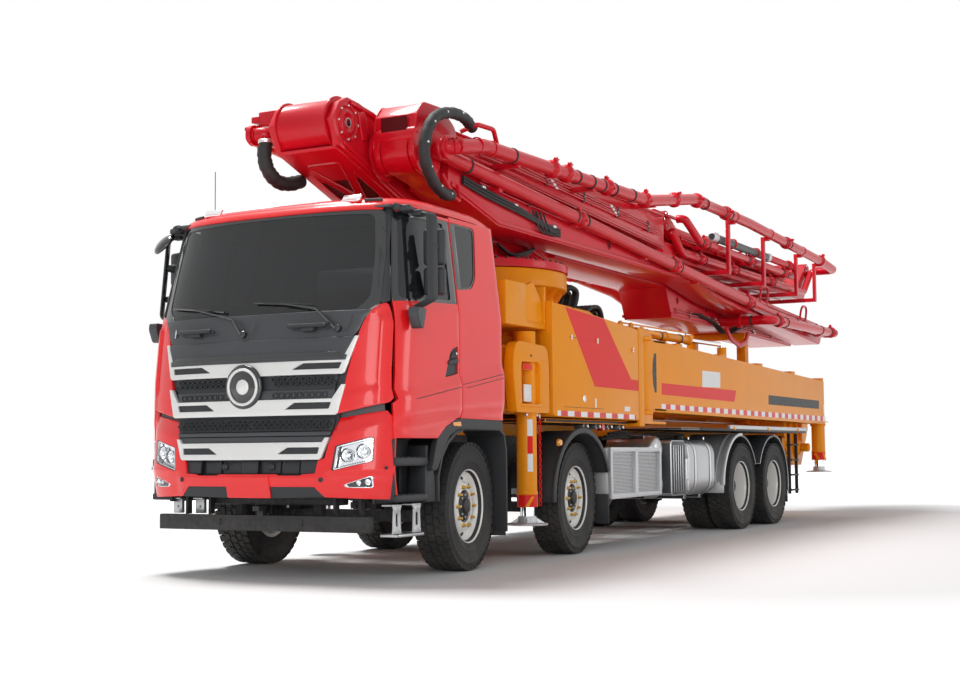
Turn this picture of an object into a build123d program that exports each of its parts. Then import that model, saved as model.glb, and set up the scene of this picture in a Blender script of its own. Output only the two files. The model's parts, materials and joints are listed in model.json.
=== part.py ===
"""Four-axle truck with a folding five-section concrete boom, in millimetres.

+X is the way the truck drives, +Y is its left side, +Z is up.
The origin is on the ground, under the middle of the whole truck's box.
"""

from build123d import *
import math
import os

os.makedirs("parts", exist_ok=True)

# ------------------------------------------------------------------ driving sizes
FRONT_END, REAR_END = 6975, -6975
AXLE_X = (5445, 3295, -1495, -2855)
TYRE_R, TYRE_W, RIM_R = 540, 300, 300
SINGLE_Y, DUAL_Y, DUAL_GAP = 1010, 930, 340
KINGPIN_Y = 900
STEER_REST = (6.3, 4.65)  # degrees to the left, axle 1 and axle 2
FRAME_TOP, FRAME_LOW, FRAME_Y = 1150, 880, 430

CAB_BACK, CAB_Y, CAB_WALL = 4995, 1240, 55
CAB_SILL_Z, CAB_TOP_Y = 2130, 1130
CAB_NOSE, CAB_ROUND, CAB_POWER = 6880, 500, 3  # front of the plan, depth and power of its round corners

SLEW_X = 3045
LIFT_PIN = (6040, 3780)
J12, J23 = (-6800, 2840), (5545, 3585)
J34, J45 = (-6800, 3860), (-560, 3840)
LANE_L = (400, 800)
SMALL_LANE = (400, 640)
PIPE_R = 66
PIPE_B_Y, PIPE_A_Y, SWIVEL_Y = 880, 1075, 977
RISER_Y, RIGHT_PIPE_Y, RIGHT_SWIVEL_Y = -520, -700, -610
BARREL_BASE, ROD_EYE = (5200, 3360), (2845, 3350)

FRONT_LEG, REAR_LEG = (4295, 1120), (-5455, 1130)
FRONT_ARM_ANGLE = 55  # degrees from straight ahead
REAR_HINGE = (1600, 1120)
SWING_BASE, SWING_EYE, SWING_Z = (1500, 800), (-1500, 1000), 2330

SIDES = (("left", 1), ("right", -1))
FIT = 0.5  # running clearance round a pin


# ------------------------------------------------------------------ helpers
def side_plate(outline, y_from, y_to, mode=Mode.ADD):
    """A prism across the truck: outline is (x, z) points, from y_from to y_to."""
    low, high = min(y_from, y_to), max(y_from, y_to)
    with BuildSketch(Plane.XZ.offset(-high)) as face:
        with BuildLine():
            Polyline(*outline, close=True)
        make_face()
    extrude(face.sketch, amount=high - low, mode=mode)


def flat_plate(outline, z_from, z_to, mode=Mode.ADD):
    """An upright prism: outline is (x, y) points, from z_from to z_to."""
    with BuildSketch(Plane.XY.offset(z_from)) as face:
        with BuildLine():
            Polyline(*outline, close=True)
        make_face()
    extrude(face.sketch, amount=z_to - z_from, mode=mode)


def block(x, y, z, mode=Mode.ADD):
    """A box given by its low and high x, y and z."""
    with Locations(((x[0] + x[1]) / 2, (y[0] + y[1]) / 2, (z[0] + z[1]) / 2)):
        Box(abs(x[1] - x[0]), abs(y[1] - y[0]), abs(z[1] - z[0]), mode=mode)


def cross_bar(x, z, radius, y_from, y_to, mode=Mode.ADD):
    """A round bar across the truck."""
    with Locations(Location((x, (y_from + y_to) / 2, z), (90, 0, 0))):
        Cylinder(radius, abs(y_to - y_from), mode=mode)


def long_bar(y, z, radius, x_from, x_to, mode=Mode.ADD):
    """A round bar along the truck."""
    with Locations(Location(((x_from + x_to) / 2, y, z), (0, 90, 0))):
        Cylinder(radius, abs(x_to - x_from), mode=mode)


def post(x, y, radius, z_from, z_to, mode=Mode.ADD):
    """An upright round bar."""
    with Locations((x, y, (z_from + z_to) / 2)):
        Cylinder(radius, abs(z_to - z_from), mode=mode)


def pipe_run(points, radius, bends):
    """A round pipe along straight runs joined by tangent arcs."""
    with BuildLine() as route:
        FilletPolyline(*points, radius=bends)
    start = route.line @ 0
    with BuildSketch(Plane(origin=start, z_dir=route.line % 0)) as ring:
        Circle(radius)
    sweep(ring.sketch, path=route.line)


def finish(maker, name):
    """Labels a finished piece and writes it to its own file."""
    maker.part.label = name
    export_step(maker.part, f"parts/{name}.step")


# ------------------------------------------------------------------ chassis
with BuildPart() as chassis_frame:
    for side in (1, -1):
        rail = [(-4600, FRAME_LOW), (-4600, FRAME_TOP), (6500, FRAME_TOP), (6500, FRAME_LOW)]
        side_plate(rail, side * (FRAME_Y - 80), side * FRAME_Y)
        side_plate(
            [(-4560, FRAME_LOW + 10), (-4560, FRAME_TOP - 10), (6460, FRAME_TOP - 10), (6460, FRAME_LOW + 10)],
            side * (FRAME_Y - 81), side * (FRAME_Y - 10), mode=Mode.SUBTRACT)
    member_y = FRAME_Y - 10 - FIT  # the bolted cross members end just short of the rails' webs
    for x in (-4515, -3500, -2175, -1000, 200, 1300, 2300, 4300, 6400):
        block((x - 40, x + 40), (-member_y, member_y), (FRAME_LOW + 40, FRAME_TOP - 40))
    for x in AXLE_X[2:]:
        block((x - 60, x + 60), (-member_y, member_y), (FRAME_TOP - 80, FRAME_TOP - 20))
finish(chassis_frame, "chassis_frame")

with BuildPart() as axles:
    for x in AXLE_X[:2]:
        block((x - 50, x + 50), (-KINGPIN_Y + 75, KINGPIN_Y - 75), (400, 500))
        for side in (1, -1):
            block((x - 45, x + 45), (side * 760, side * (KINGPIN_Y - 75)), (500, 560))
            post(x, side * KINGPIN_Y, 26, 415, 665)
            for low, high in ((415, 445), (635, 665)):
                block((x - 45, x + 45), (side * (KINGPIN_Y - 90), side * (KINGPIN_Y + 30)), (low, high))
            block((x - 45, x + 45), (side * (KINGPIN_Y - 90), side * (KINGPIN_Y - 55)), (415, 665))
            block((x - 40, x + 40), (side * 340, side * 420), (500, FRAME_LOW))
    for x in AXLE_X[2:]:
        cross_bar(x, TYRE_R, 90, -700, 700)
        cross_bar(x, TYRE_R, 50, -1095, 1095)
        with Locations((x, 0, TYRE_R)):
            Sphere(230)
        for side in (1, -1):
            block((x - 50, x + 50), (side * 340, side * 420), (540, FRAME_LOW))
finish(axles, "axles")

with BuildPart() as engine:
    block((5000, 6040), (-330, 330), (700, 1260))
finish(engine, "engine")

# ------------------------------------------------------------------ steering and wheels
for side_name, side in SIDES:
    for number, x, turn in ((1, AXLE_X[0], STEER_REST[0]), (2, AXLE_X[1], STEER_REST[1])):
        kingpin = Location((x, side * KINGPIN_Y, 0), (0, 0, turn))
        with BuildPart() as knuckle:
            post(0, 0, 44, 450, 630)
            post(0, 0, 26 + FIT, 440, 640, mode=Mode.SUBTRACT)
            block((-40, 40), (side * 36, side * 60), (470, 610))
            cross_bar(0, TYRE_R, 44, side * 50, side * 190)
            block((-260, -30), (side * 38, side * 60), (480, 520))
        knuckle.part = knuckle.part.moved(kingpin)
        finish(knuckle, f"knuckle_{number}_{side_name}")

        wheel_mid = side * (SINGLE_Y - KINGPIN_Y)
        with BuildPart() as wheel:
            cross_bar(0, TYRE_R, TYRE_R, wheel_mid - TYRE_W / 2, wheel_mid + TYRE_W / 2)
            outer_edges = wheel.edges().filter_by(GeomType.CIRCLE).sort_by(SortBy.RADIUS)[-2:]
            fillet(outer_edges, radius=45)
            cross_bar(0, TYRE_R, RIM_R - 15, wheel_mid - TYRE_W / 2 - 1, wheel_mid + TYRE_W / 2 + 1,
                      mode=Mode.SUBTRACT)
            cross_bar(0, TYRE_R, RIM_R - 14, wheel_mid + side * 20, wheel_mid + side * 90)
            cross_bar(0, TYRE_R, 130, wheel_mid + side * 20, wheel_mid + side * 150)
            cross_bar(0, TYRE_R, 45, wheel_mid - side * 50, wheel_mid + side * 90, mode=Mode.SUBTRACT)
        wheel.part = wheel.part.moved(kingpin)
        finish(wheel, f"wheel_{number}_{side_name}")

    for number, x in ((3, AXLE_X[2]), (4, AXLE_X[3])):
        with BuildPart() as wheel:
            for y in (DUAL_Y - DUAL_GAP / 2, DUAL_Y + DUAL_GAP / 2):
                cross_bar(x, TYRE_R, TYRE_R, side * (y - TYRE_W / 2), side * (y + TYRE_W / 2))
            outer_edges = wheel.edges().filter_by(GeomType.CIRCLE).sort_by(SortBy.RADIUS)[-4:]
            fillet(outer_edges, radius=45)
            cross_bar(x, TYRE_R, RIM_R - 15, side * 600, side * 1300, mode=Mode.SUBTRACT)
            cross_bar(x, TYRE_R, RIM_R - 14, side * 880, side * 990)
            cross_bar(x, TYRE_R, RIM_R + 30, side * 905, side * 955)
            cross_bar(x, TYRE_R, 150, side * 880, side * 1200)
            cross_bar(x, TYRE_R, 50 + FIT, side * 860, side * 1110, mode=Mode.SUBTRACT)
        finish(wheel, f"wheel_{number}_{side_name}")

# ------------------------------------------------------------------ cab
CAB_OUTLINE = [(CAB_BACK, 1275), (5790, 1275), (5985, 1200), (6120, 1110), (6700, 1110), (6700, 1200), (6860, 1200),
               (6870, 1600), (6850, 2050), (6660, 2930), (6560, 3020), (5300, 3050), (CAB_BACK, 2960)]
CAB_INSIDE = [(CAB_BACK + 55, 1345), (6060, 1345), (6130, 1270), (6760, 1270), (6790, 1500), (6775, 2040),
              (6600, 2890), (6530, 2965), (5310, 2995), (CAB_BACK + 55, 2910)]
LEAN = CAB_Y - CAB_TOP_Y


def round_plan(nose, half, depth):
    """Half of the cab's plan, from the nose to the side, as points on a curve of power CAB_POWER."""
    steps = 8
    points = []
    for step in range(steps + 1):
        turn = math.pi / 2 * step / steps
        across = half * math.sin(turn) ** (2 / CAB_POWER)
        along = nose - depth + depth * math.cos(turn) ** (2 / CAB_POWER)
        points.append((along, across))
    return points


def cab_body(outline, inset, mode=Mode.ADD):
    """The cab's outline across its width, with a round nose and sides that lean in above the sills."""
    half = CAB_Y - inset
    quarter = round_plan(CAB_NOSE - inset, half, CAB_ROUND)
    plan = [(x, -y) for x, y in quarter[:0:-1]] + quarter + [(4500, half), (4500, -half)]
    with BuildPart(mode=Mode.PRIVATE) as nose:
        flat_plate(plan, 1000, 3200)
    with BuildPart(mode=Mode.PRIVATE) as body:
        side_plate(outline, -half, half)
        for side in (1, -1):
            wedge = [(side * half, CAB_SILL_Z), (side * (half + 300), CAB_SILL_Z),
                     (side * (half + 300), 3300), (side * (half - LEAN * 1170 / 920), 3300)]
            with BuildSketch(Plane.YZ.offset(4500)) as face:
                with BuildLine():
                    Polyline(*wedge, close=True)
                make_face()
            extrude(face.sketch, amount=3000, mode=Mode.SUBTRACT)
    add(body.part & nose.part, mode=mode)


DOOR_OUTLINE = [(5750, 1290), (5795, 1285), (5992, 1210), (6125, 1120), (6690, 1120), (6692, 1480), (6640, 2010),
                (6640, 2170), (6480, 2930), (5750, 2930)]
DOOR_GAP = [(5742, 1265), (5790, 1265), (5985, 1190), (6110, 1100), (6698, 1100), (6700, 1482), (6648, 2012),
            (6648, 2172), (6486, 2938), (5742, 2938)]
DOOR_WINDOW = [(5830, 2300), (6560, 2200), (6440, 2870), (5830, 2880)]
QUARTER_WINDOW = [(5390, 2470), (5470, 2365), (5660, 2330), (5660, 2880), (5320, 2880)]
SCREEN_LOW, SCREEN_HIGH, SCREEN_Y = 2150, 2900, 900

with BuildPart() as cab_shell:
    cab_body(CAB_OUTLINE, 0)
    cab_body(CAB_INSIDE, CAB_WALL, mode=Mode.SUBTRACT)
    flat_plate([(5755, -1185), (6560, -1185), (6760, -950), (6760, 950), (6560, 1185), (5755, 1185)],
               1100, 1275, mode=Mode.SUBTRACT)
    side_plate(DOOR_GAP, 900, 1300, mode=Mode.SUBTRACT)
    side_plate(DOOR_GAP, -900, -1300, mode=Mode.SUBTRACT)
    side_plate(QUARTER_WINDOW, -1300, 1300, mode=Mode.SUBTRACT)
    block((6600, 6900), (-SCREEN_Y, SCREEN_Y), (SCREEN_LOW, SCREEN_HIGH), mode=Mode.SUBTRACT)
    block((4900, 5100), (-700, 700), (2250, 2700), mode=Mode.SUBTRACT)
    block((5100, 6000), (-250, 250), (1270, 1500), mode=Mode.SUBTRACT)
finish(cab_shell, "cab_shell")

with BuildPart() as cab_glazing:
    side_plate([(6787, SCREEN_LOW + 3), (6631, SCREEN_HIGH - 3), (6625, SCREEN_HIGH - 3), (6781, SCREEN_LOW + 3)],
               -SCREEN_Y + 3, SCREEN_Y - 3)
    for side in (1, -1):
        with BuildPart(mode=Mode.PRIVATE) as pane:
            cab_body(CAB_OUTLINE, 20)
            cab_body(CAB_OUTLINE, 26, mode=Mode.SUBTRACT)
        with BuildPart(mode=Mode.PRIVATE) as hole:
            side_plate([(5394, 2472), (5473, 2369), (5656, 2335), (5656, 2876), (5324, 2876)], side * 900, side * 1300)
        add(pane.part & hole.part)
    block((CAB_BACK + 20, CAB_BACK + 26), (-697, 697), (2253, 2697))
finish(cab_glazing, "cab_glazing")

DOORS = {}
for side_name, side in SIDES:
    with BuildPart(mode=Mode.PRIVATE) as skin:
        cab_body(CAB_OUTLINE, 0)
        cab_body([(4500, 1000), (7500, 1000), (7500, 3300), (4500, 3300)], CAB_WALL, mode=Mode.SUBTRACT)
    with BuildPart(mode=Mode.PRIVATE) as door_cut:
        side_plate(DOOR_OUTLINE, side * 900, side * 1300)
    with BuildPart() as door:
        add(skin.part & door_cut.part)
        side_plate(DOOR_WINDOW, side * 900, side * 1300, mode=Mode.SUBTRACT)
    DOORS[side_name] = door.part
    finish(door, f"{side_name}_door")

with BuildPart() as front_mask:
    with BuildPart(mode=Mode.PRIVATE) as plan:
        quarter = round_plan(FRONT_END - 45, CAB_Y - 5, CAB_ROUND)
        flat_plate([(x, -y) for x, y in quarter[-3:0:-1]] + quarter[:-2], 1000, 2200)
    with BuildPart(mode=Mode.PRIVATE) as mask:
        side_plate([(6500, 1215), (6945, 1215), (6935, 1600), (6890, 2090), (6500, 2090)], -1100, 1100)
        cab_body(CAB_OUTLINE, -3, mode=Mode.SUBTRACT)
    add(mask.part & plan.part)
finish(front_mask, "front_mask")

with BuildPart() as front_bumper:
    for nose, half, mode in ((FRONT_END, CAB_Y, Mode.ADD), (FRONT_END - 125, CAB_Y - 60, Mode.SUBTRACT)):
        quarter = round_plan(nose, half, CAB_ROUND)
        flat_plate([(x, -y) for x, y in quarter[:0:-1]] + quarter, 640, 1190, mode=mode)
    block((6000, 6705), (-1300, 1300), (600, 1200), mode=Mode.SUBTRACT)
    for side in (1, -1):
        block((6740, FRONT_END), (side * 700, side * 1080), (840, 1080), mode=Mode.SUBTRACT)
finish(front_bumper, "front_bumper")

with BuildPart() as headlamps:
    for side in (1, -1):
        flat_plate([(6745, side * 705), (6925, side * 705), (6870, side * 930), (6790, side * 1075),
                    (6745, side * 1075)], 845, 1075)
finish(headlamps, "headlamps")

with BuildPart() as underrun_bar:
    block((6730, 6790), (-1033, 1033), (381, 504))
    for side in (1, -1):
        block((6560, 6735), (side * 380, side * 430), (430, 500))
        block((6502, 6562), (side * 360, side * 430), (430, 1100))
    with Locations((6820, 0, 560)):
        Box(60, 60, 40)
        Cylinder(22, 60, mode=Mode.SUBTRACT)
    block((6740, 6795), (-30, 30), (500, 580))
finish(underrun_bar, "underrun_bar")

with BuildPart() as step_fenders:
    for side in (1, -1):
        block((6060, 6600), (side * 1010, side * 1225), (640, 720))
        block((6060, 6600), (side * 1010, side * 1225), (900, 980))
        block((6100, 6560), (side * 1000, side * 1030), (420, 1190))
        block((6060, 6600), (side * 1010, side * 1225), (420, 450))
        for x, reach in ((AXLE_X[0], 640), (AXLE_X[1], 610)):
            with BuildPart(mode=Mode.PRIVATE) as arch:
                cross_bar(x, TYRE_R, reach + 30, side * 830, side * 1240)
                cross_bar(x, TYRE_R, reach, side * 700, side * 1300, mode=Mode.SUBTRACT)
                block((x - 900, x + 900), (-1400, 1400), (-200, 900), mode=Mode.SUBTRACT)
            add(arch.part)
finish(step_fenders, "step_fenders")

with BuildPart() as seats:
    for side in (1, -1):
        block((5450, 5950), (side * 380, side * 880), (1500, 1720))
        block((5350, 5480), (side * 380, side * 880), (1700, 2400))
finish(seats, "seats")

with BuildPart() as dashboard:
    flat_plate([(6350, -1080), (6540, -1080), (6690, -900), (6740, -600), (6740, 600), (6690, 900), (6540, 1080),
                (6350, 1080)], 1650, 2060)
    with Locations(Location((6210, 600, 2000), (0, -60, 0))):
        Torus(220, 18)
        Cylinder(35, 60)
        Box(30, 420, 20)
    with Locations(Location((6290, 600, 1955), (0, -60, 0))):
        Cylinder(28, 190)
finish(dashboard, "dashboard")

KERB_MIRROR = Plane(origin=(6490, -1275, 2815), z_dir=(0.62, -0.33, 0.61))  # the round one, on the right side only
for side_name, side in SIDES:
    with BuildPart() as mirror:
        block((6330, 6430), (side * 1350, side * 1400), (2180, 2880))
        block((6210, 6290), (side * 1225, side * 1400), (2240, 2740))
        block((6285, 6335), (side * 1355, side * 1385), (2460, 2500))
        block((6380, 6430), (side * 1160, side * 1355), (2840, 2880))
        block((6380, 6430), (side * 1246, side * 1355), (2180, 2220))
        block((6390, 6430), (side * 1340, side * 1360), (2100, 2190))
        block((6420, 6600), (side * 1255, side * 1360), (1960, 2110))
        if side_name == "right":
            with Locations(KERB_MIRROR.location):
                Cylinder(110, 40)
            block((6420, 6490), (-1360, -1300), (2800, 2840))
        add(DOORS[side_name], mode=Mode.SUBTRACT)
    finish(mirror, f"mirror_{side_name}")

# ------------------------------------------------------------------ boxes and tanks
with BuildPart() as guard_box:
    for side in (1, -1):
        block((1285, 2660), (side * 1150, side * 1250), (490, 1030))
        block((1400, 2500), (side * 430, side * 1150), (560, 1000))
finish(guard_box, "guard_box")

with BuildPart() as tanks:
    for side in (1, -1):
        long_bar(side * 900, 800, 330, -505, 1075)
        block((-505, 1075), (side * 440, side * 900), (500, 1110))
        for z in (720, 1000):
            long_bar(side * 1050, z, 125, 1100, 1260)
            block((1120, 1240), (side * 430, side * 1050), (z - 40, z + 40))
finish(tanks, "tanks")

with BuildPart() as rear_fenders:
    for side in (1, -1):
        for x in AXLE_X[2:]:
            with BuildPart(mode=Mode.PRIVATE) as arch:
                cross_bar(x, TYRE_R, 640, side * 620, side * 1245)
                cross_bar(x, TYRE_R, 620, side * 500, side * 1300, mode=Mode.SUBTRACT)
                block((x - 900, x + 900), (-1400, 1400), (-200, 760), mode=Mode.SUBTRACT)
                inner = 680 if x == AXLE_X[2] else -680
                block((x, x - 900 if inner > 0 else x + 900), (-1400, 1400), (0, 1200), mode=Mode.SUBTRACT)
            add(arch.part)
        block((AXLE_X[3] - 1, AXLE_X[2] + 1), (side * 620, side * 1245), (1160, 1180))
finish(rear_fenders, "rear_fenders")

# ------------------------------------------------------------------ pump body
ARM_DX, ARM_DY = math.cos(math.radians(FRONT_ARM_ANGLE)), math.sin(math.radians(FRONT_ARM_ANGLE))
ARM_Z = {"left": (1430, 1700), "right": (1790, 2060)}
ARM_HALF, ARM_STORED = 130, 2080


def arm_outline(side, half, back, front):
    """Plan of a straight arm along its slide direction, measured from its leg."""
    x, y = FRONT_LEG[0], side * FRONT_LEG[1]
    dx, dy = ARM_DX, side * ARM_DY
    nx, ny = -dy, dx
    return [(x + a * dx + h * nx, y + a * dy + h * ny)
            for a, h in ((-back, -half), (front, -half), (front, half), (-back, half))]


with BuildPart() as pump_frame:
    for side in (1, -1):
        block((-4600, 4500), (side * 330, side * 450), (1155, 1350))
        block((2000, 4100), (side * 640, side * 700), (1400, 2100))
        block((4420, 4780), (side * 300, side * 900), (1400, 2130))
    for x in (-4300, -3000, -1500, 0, 1200):
        block((x - 60, x + 60), (-450, 450), (1200, 1340))
    block((2000, 4780), (-900, 900), (1350, 1400))
    block((3980, 4800), (-1180, 1180), (2130, 2180))
    block((4400, 4800), (-1180, 1180), (2180, 2520))
    for side_name, side in SIDES:
        low, high = ARM_Z[side_name]
        flat_plate(arm_outline(side, ARM_HALF + 40, ARM_STORED, -140), low - 40, high + 40)
        block((1745, 1885), (side * 640, side * 1245), (1250, 2290))
        for low, high in ((1280, 1400), (2215, 2255)):
            flat_plate([(1885, side * 600), (1885, side * 1240), (1500, side * 1240), (1280, side * 900),
                        (1280, side * 600)], low, high)
        block((1280, 1900), (side * 400, side * 640), (1280, 2255))
        post(REAR_HINGE[0], side * REAR_HINGE[1], 45, 1390, 2230)
        post(SWING_BASE[0], side * SWING_BASE[1], 60, 2250, SWING_Z - 60)
        post(SWING_BASE[0], side * SWING_BASE[1], 28, 2250, SWING_Z + 34)
    for side_name, side in SIDES:
        low, high = ARM_Z[side_name]
        flat_plate(arm_outline(side, ARM_HALF + 8, ARM_STORED + 50, 0), low - 8, high + 8, mode=Mode.SUBTRACT)
finish(pump_frame, "pump_frame")

with BuildPart() as lockers:
    for side in (1, -1):
        flat_plate([(1895, side * 705), (3750, side * 705), (3955, side * 1000), (3955, side * 1250),
                    (1895, side * 1250)], 1405, 2385)
finish(lockers, "lockers")

with BuildPart() as slewing_pedestal:
    block((SLEW_X - 700, SLEW_X + 700), (-630, 630), (2105, 2450))
    post(SLEW_X, 0, 820, 2450, 2650)
    post(SLEW_X, 0, 870, 2650, 2800)
finish(slewing_pedestal, "slewing_pedestal")

# ------------------------------------------------------------------ outriggers
LEG_BORE, LEG_ROD = 70, 65
for side_name, side in SIDES:
    low, high = ARM_Z[side_name]
    x, y = FRONT_LEG[0], side * FRONT_LEG[1]
    with BuildPart() as arm:
        flat_plate(arm_outline(side, ARM_HALF, ARM_STORED - 20, 40), low, high)
        post(x, y, 90, 490, 2090)
        post(x, y, LEG_BORE, 400, 2060, mode=Mode.SUBTRACT)
    finish(arm, f"front_outrigger_{side_name}")
    with BuildPart() as leg:
        post(x, y, LEG_ROD, 340, 1950)
        post(x, y, 190, 325, 350)
        post(x, y, 85, 350, 400)
    finish(leg, f"front_leg_{side_name}")

    hx, hy = REAR_HINGE[0], side * REAR_HINGE[1]
    x, y = REAR_LEG[0], side * REAR_LEG[1]
    with BuildPart() as arm:
        post(hx, hy, 125, 1415, 2200)
        side_plate([(hx, 1415), (hx, 2200), (x + 40, 2010), (x + 40, 1370)], hy - 125, hy + 125)
        post(hx, hy, 45 + FIT, 1400, 2300, mode=Mode.SUBTRACT)
        post(SWING_EYE[0], side * SWING_EYE[1], 60, 2100, SWING_Z - 34)
        post(x, y, 95, 930, 2060)
        post(x, y, LEG_BORE, 900, 2030, mode=Mode.SUBTRACT)
    finish(arm, f"rear_outrigger_{side_name}")
    with BuildPart() as leg:
        post(x, y, LEG_ROD, 670, 2000)
        post(x, y, 190, 650, 675)
        post(x, y, 85, 675, 725)
    finish(leg, f"rear_leg_{side_name}")

    bx, by = SWING_BASE[0], side * SWING_BASE[1]
    ex, ey = SWING_EYE[0], side * SWING_EYE[1]
    length = math.hypot(ex - bx, ey - by)
    heading = math.degrees(math.atan2(ey - by, ex - bx))
    with BuildPart() as barrel:
        post(0, 0, 55, -30, 30)
        long_bar(0, 0, 50, 40, 2000)
        post(0, 0, 28 + FIT, -40, 40, mode=Mode.SUBTRACT)
        long_bar(0, 0, 30, 120, 2010, mode=Mode.SUBTRACT)
    barrel.part = barrel.part.moved(Location((bx, by, SWING_Z), (0, 0, heading)))
    finish(barrel, f"swing_barrel_{side_name}")
    with BuildPart() as rod:
        long_bar(0, 0, 28, 250, length - 40)
        post(length, 0, 50, -32, 32)
        post(length, 0, 26, -40, 40, mode=Mode.SUBTRACT)
    rod.part = rod.part.moved(Location((bx, by, SWING_Z), (0, 0, heading)))
    finish(rod, f"swing_rod_{side_name}")

# ------------------------------------------------------------------ rear body
with BuildPart() as hopper:
    side_plate([(-4640, 1620), (-5900, 1620), (-5900, 1300), (-5500, 760), (-4900, 760), (-4640, 1000)], -850, 850)
    side_plate([(-4720, 1700), (-5840, 1700), (-5840, 1310), (-5470, 820), (-4930, 820), (-4720, 1020)],
               -790, 790, mode=Mode.SUBTRACT)
    block((-4645, -4602), (-450, 450), (1160, 1560))
finish(hopper, "hopper")

with BuildPart() as hopper_grate:
    block((-4760, -5780), (-770, 770), (1626, 1650))
    for row in range(6):
        for column in range(5):
            block((-4840 - row * 155, -4960 - row * 155), (-700 + column * 290, -460 + column * 290),
                  (1600, 1700), mode=Mode.SUBTRACT)
finish(hopper_grate, "hopper_grate")

with BuildPart() as pumping_unit:
    for y in (-160, 160):
        long_bar(y, 1500, 125, -4580, 300)
        long_bar(y, 1500, 75, 299, 1800)
    block((200, 480), (-310, 310), (1350, 1660))
    block((-4580, -4480), (-310, 310), (1350, 1650))
finish(pumping_unit, "pumping_unit")

with BuildPart() as rear_platform:
    for side in (1, -1):
        block((-4385, 45), (side * 455, side * 1250), (1225, 1255))
        block((-5800, -5740), (side * 300, side * 340), (560, 1084))
    block((-5800, -5740), (-550, 550), (480, 600))
finish(rear_platform, "rear_platform")

with BuildPart() as boom_rest:
    for side in (1, -1):
        block((-4290, -4130), (side * 320, side * 450), (1355, 2600))
    block((-4310, -4110), (-450, 450), (2600, 2690))
finish(boom_rest, "boom_rest")

# ------------------------------------------------------------------ turret and lift cylinder
with BuildPart() as turret:
    post(SLEW_X, 0, 880, 2805, 2880)
    cheek = [(6040, 4000), (5850, 3985), (3500, 3330), (2250, 3080), (2250, 2870), (3900, 2870), (4700, 3085),
             (6160, 3570), (6260, 3780), (6160, 3940)]
    for side in (1, -1):
        side_plate(cheek, side * 270, side * 330)
    side_plate([(3900, 2870), (4700, 3085), (6160, 3570), (6150, 3545), (4710, 3085), (4710, 3055), (3910, 2840)],
               -290, 290)
    cross_bar(*LIFT_PIN, 70, -330, 330)
    cross_bar(*BARREL_BASE, 40, -280, 280)
    pipe_run([(3450, RISER_Y, 2878), (3450, RISER_Y, 3190), (LIFT_PIN[0], RISER_Y, LIFT_PIN[1]),
              (LIFT_PIN[0], RIGHT_SWIVEL_Y + 5, LIFT_PIN[1])], PIPE_R, [140, 70])
    for x, z in ((4100, 3280), (5400, 3560)):
        block((x - 30, x + 30), (RISER_Y, -320), (z - 40, z + 20))
finish(turret, "turret")

bx, bz = BARREL_BASE
ex, ez = ROD_EYE
length = math.hypot(ex - bx, ez - bz)
pitch = math.degrees(math.atan2(ez - bz, bx - ex))
lift_place = Location((bx, 0, bz), (0, 180 + pitch, 0))
with BuildPart() as lift_barrel:
    cross_bar(0, 0, 80, -90, 90)
    long_bar(0, 0, 92, 60, 1750)
    cross_bar(0, 0, 40 + FIT, -100, 100, mode=Mode.SUBTRACT)
    long_bar(0, 0, 62, 150, 1800, mode=Mode.SUBTRACT)
lift_barrel.part = lift_barrel.part.moved(lift_place)
finish(lift_barrel, "lift_barrel")
with BuildPart() as lift_rod:
    long_bar(0, 0, 60, 200, length - 50)
    cross_bar(length, 0, 60, -60, 60)
    cross_bar(length, 0, 35, -70, 70, mode=Mode.SUBTRACT)
lift_rod.part = lift_rod.part.moved(lift_place)
finish(lift_rod, "lift_rod")

# ------------------------------------------------------------------ boom
with BuildPart() as boom_1:
    side_plate([(6040, 3990), (5300, 3960), (3600, 3790), (1900, 3640), (1900, 3100), (2300, 3100), (2650, 3440),
                (5300, 3500), (6040, 3570)], -250, 250)
    side_plate([(2000, 3640), (500, 3550), (-1250, 3540), (-1550, 3260), (-6800, 3015), (-6800, 2665),
                (-4500, 2700), (-1500, 2720), (-1300, 3100), (2000, 3100)], -330, 330)
    cross_bar(*LIFT_PIN, 215, -255, 255)
    cross_bar(*J12, 175, -330, 330)
    cross_bar(*J12, 60, 300, 770)
    for side in (1, -1):
        side_plate([(2650, 3440), (2960, 3450), (2900, 3290), (2790, 3290)], side * 75, side * 110)
        cross_bar(*LIFT_PIN, 235, side * 246, side * 256)
    cross_bar(*LIFT_PIN, 70 + FIT, -300, 300, mode=Mode.SUBTRACT)
    pipe_run([(LIFT_PIN[0], RIGHT_SWIVEL_Y - 5, LIFT_PIN[1]), (LIFT_PIN[0], RIGHT_PIPE_Y, LIFT_PIN[1]),
              (2300, RIGHT_PIPE_Y, 3450), (-2000, RIGHT_PIPE_Y, 3150), (-3300, RIGHT_PIPE_Y, 2880),
              (-3300, -320, 2880)], PIPE_R, [72, 1500, 1500, 140])
    pipe_run([(-3400, 320, 2800), (-3400, PIPE_A_Y, 2800), (J12[0], PIPE_A_Y, J12[1]),
              (J12[0], SWIVEL_Y + 5, J12[1])], PIPE_R, [140, 80])
    block((5370, 5430), (RIGHT_PIPE_Y - 20, -240), (3880, 3930))
    block((5370, 5430), (RIGHT_PIPE_Y - 20, RIGHT_PIPE_Y + 20), (3700, 3900))
    for x, z in ((2300, 3430), (-1000, 3210)):
        block((x - 30, x + 30), (RIGHT_PIPE_Y, -240), (z - 40, z + 20))
finish(boom_1, "boom_1")

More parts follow.
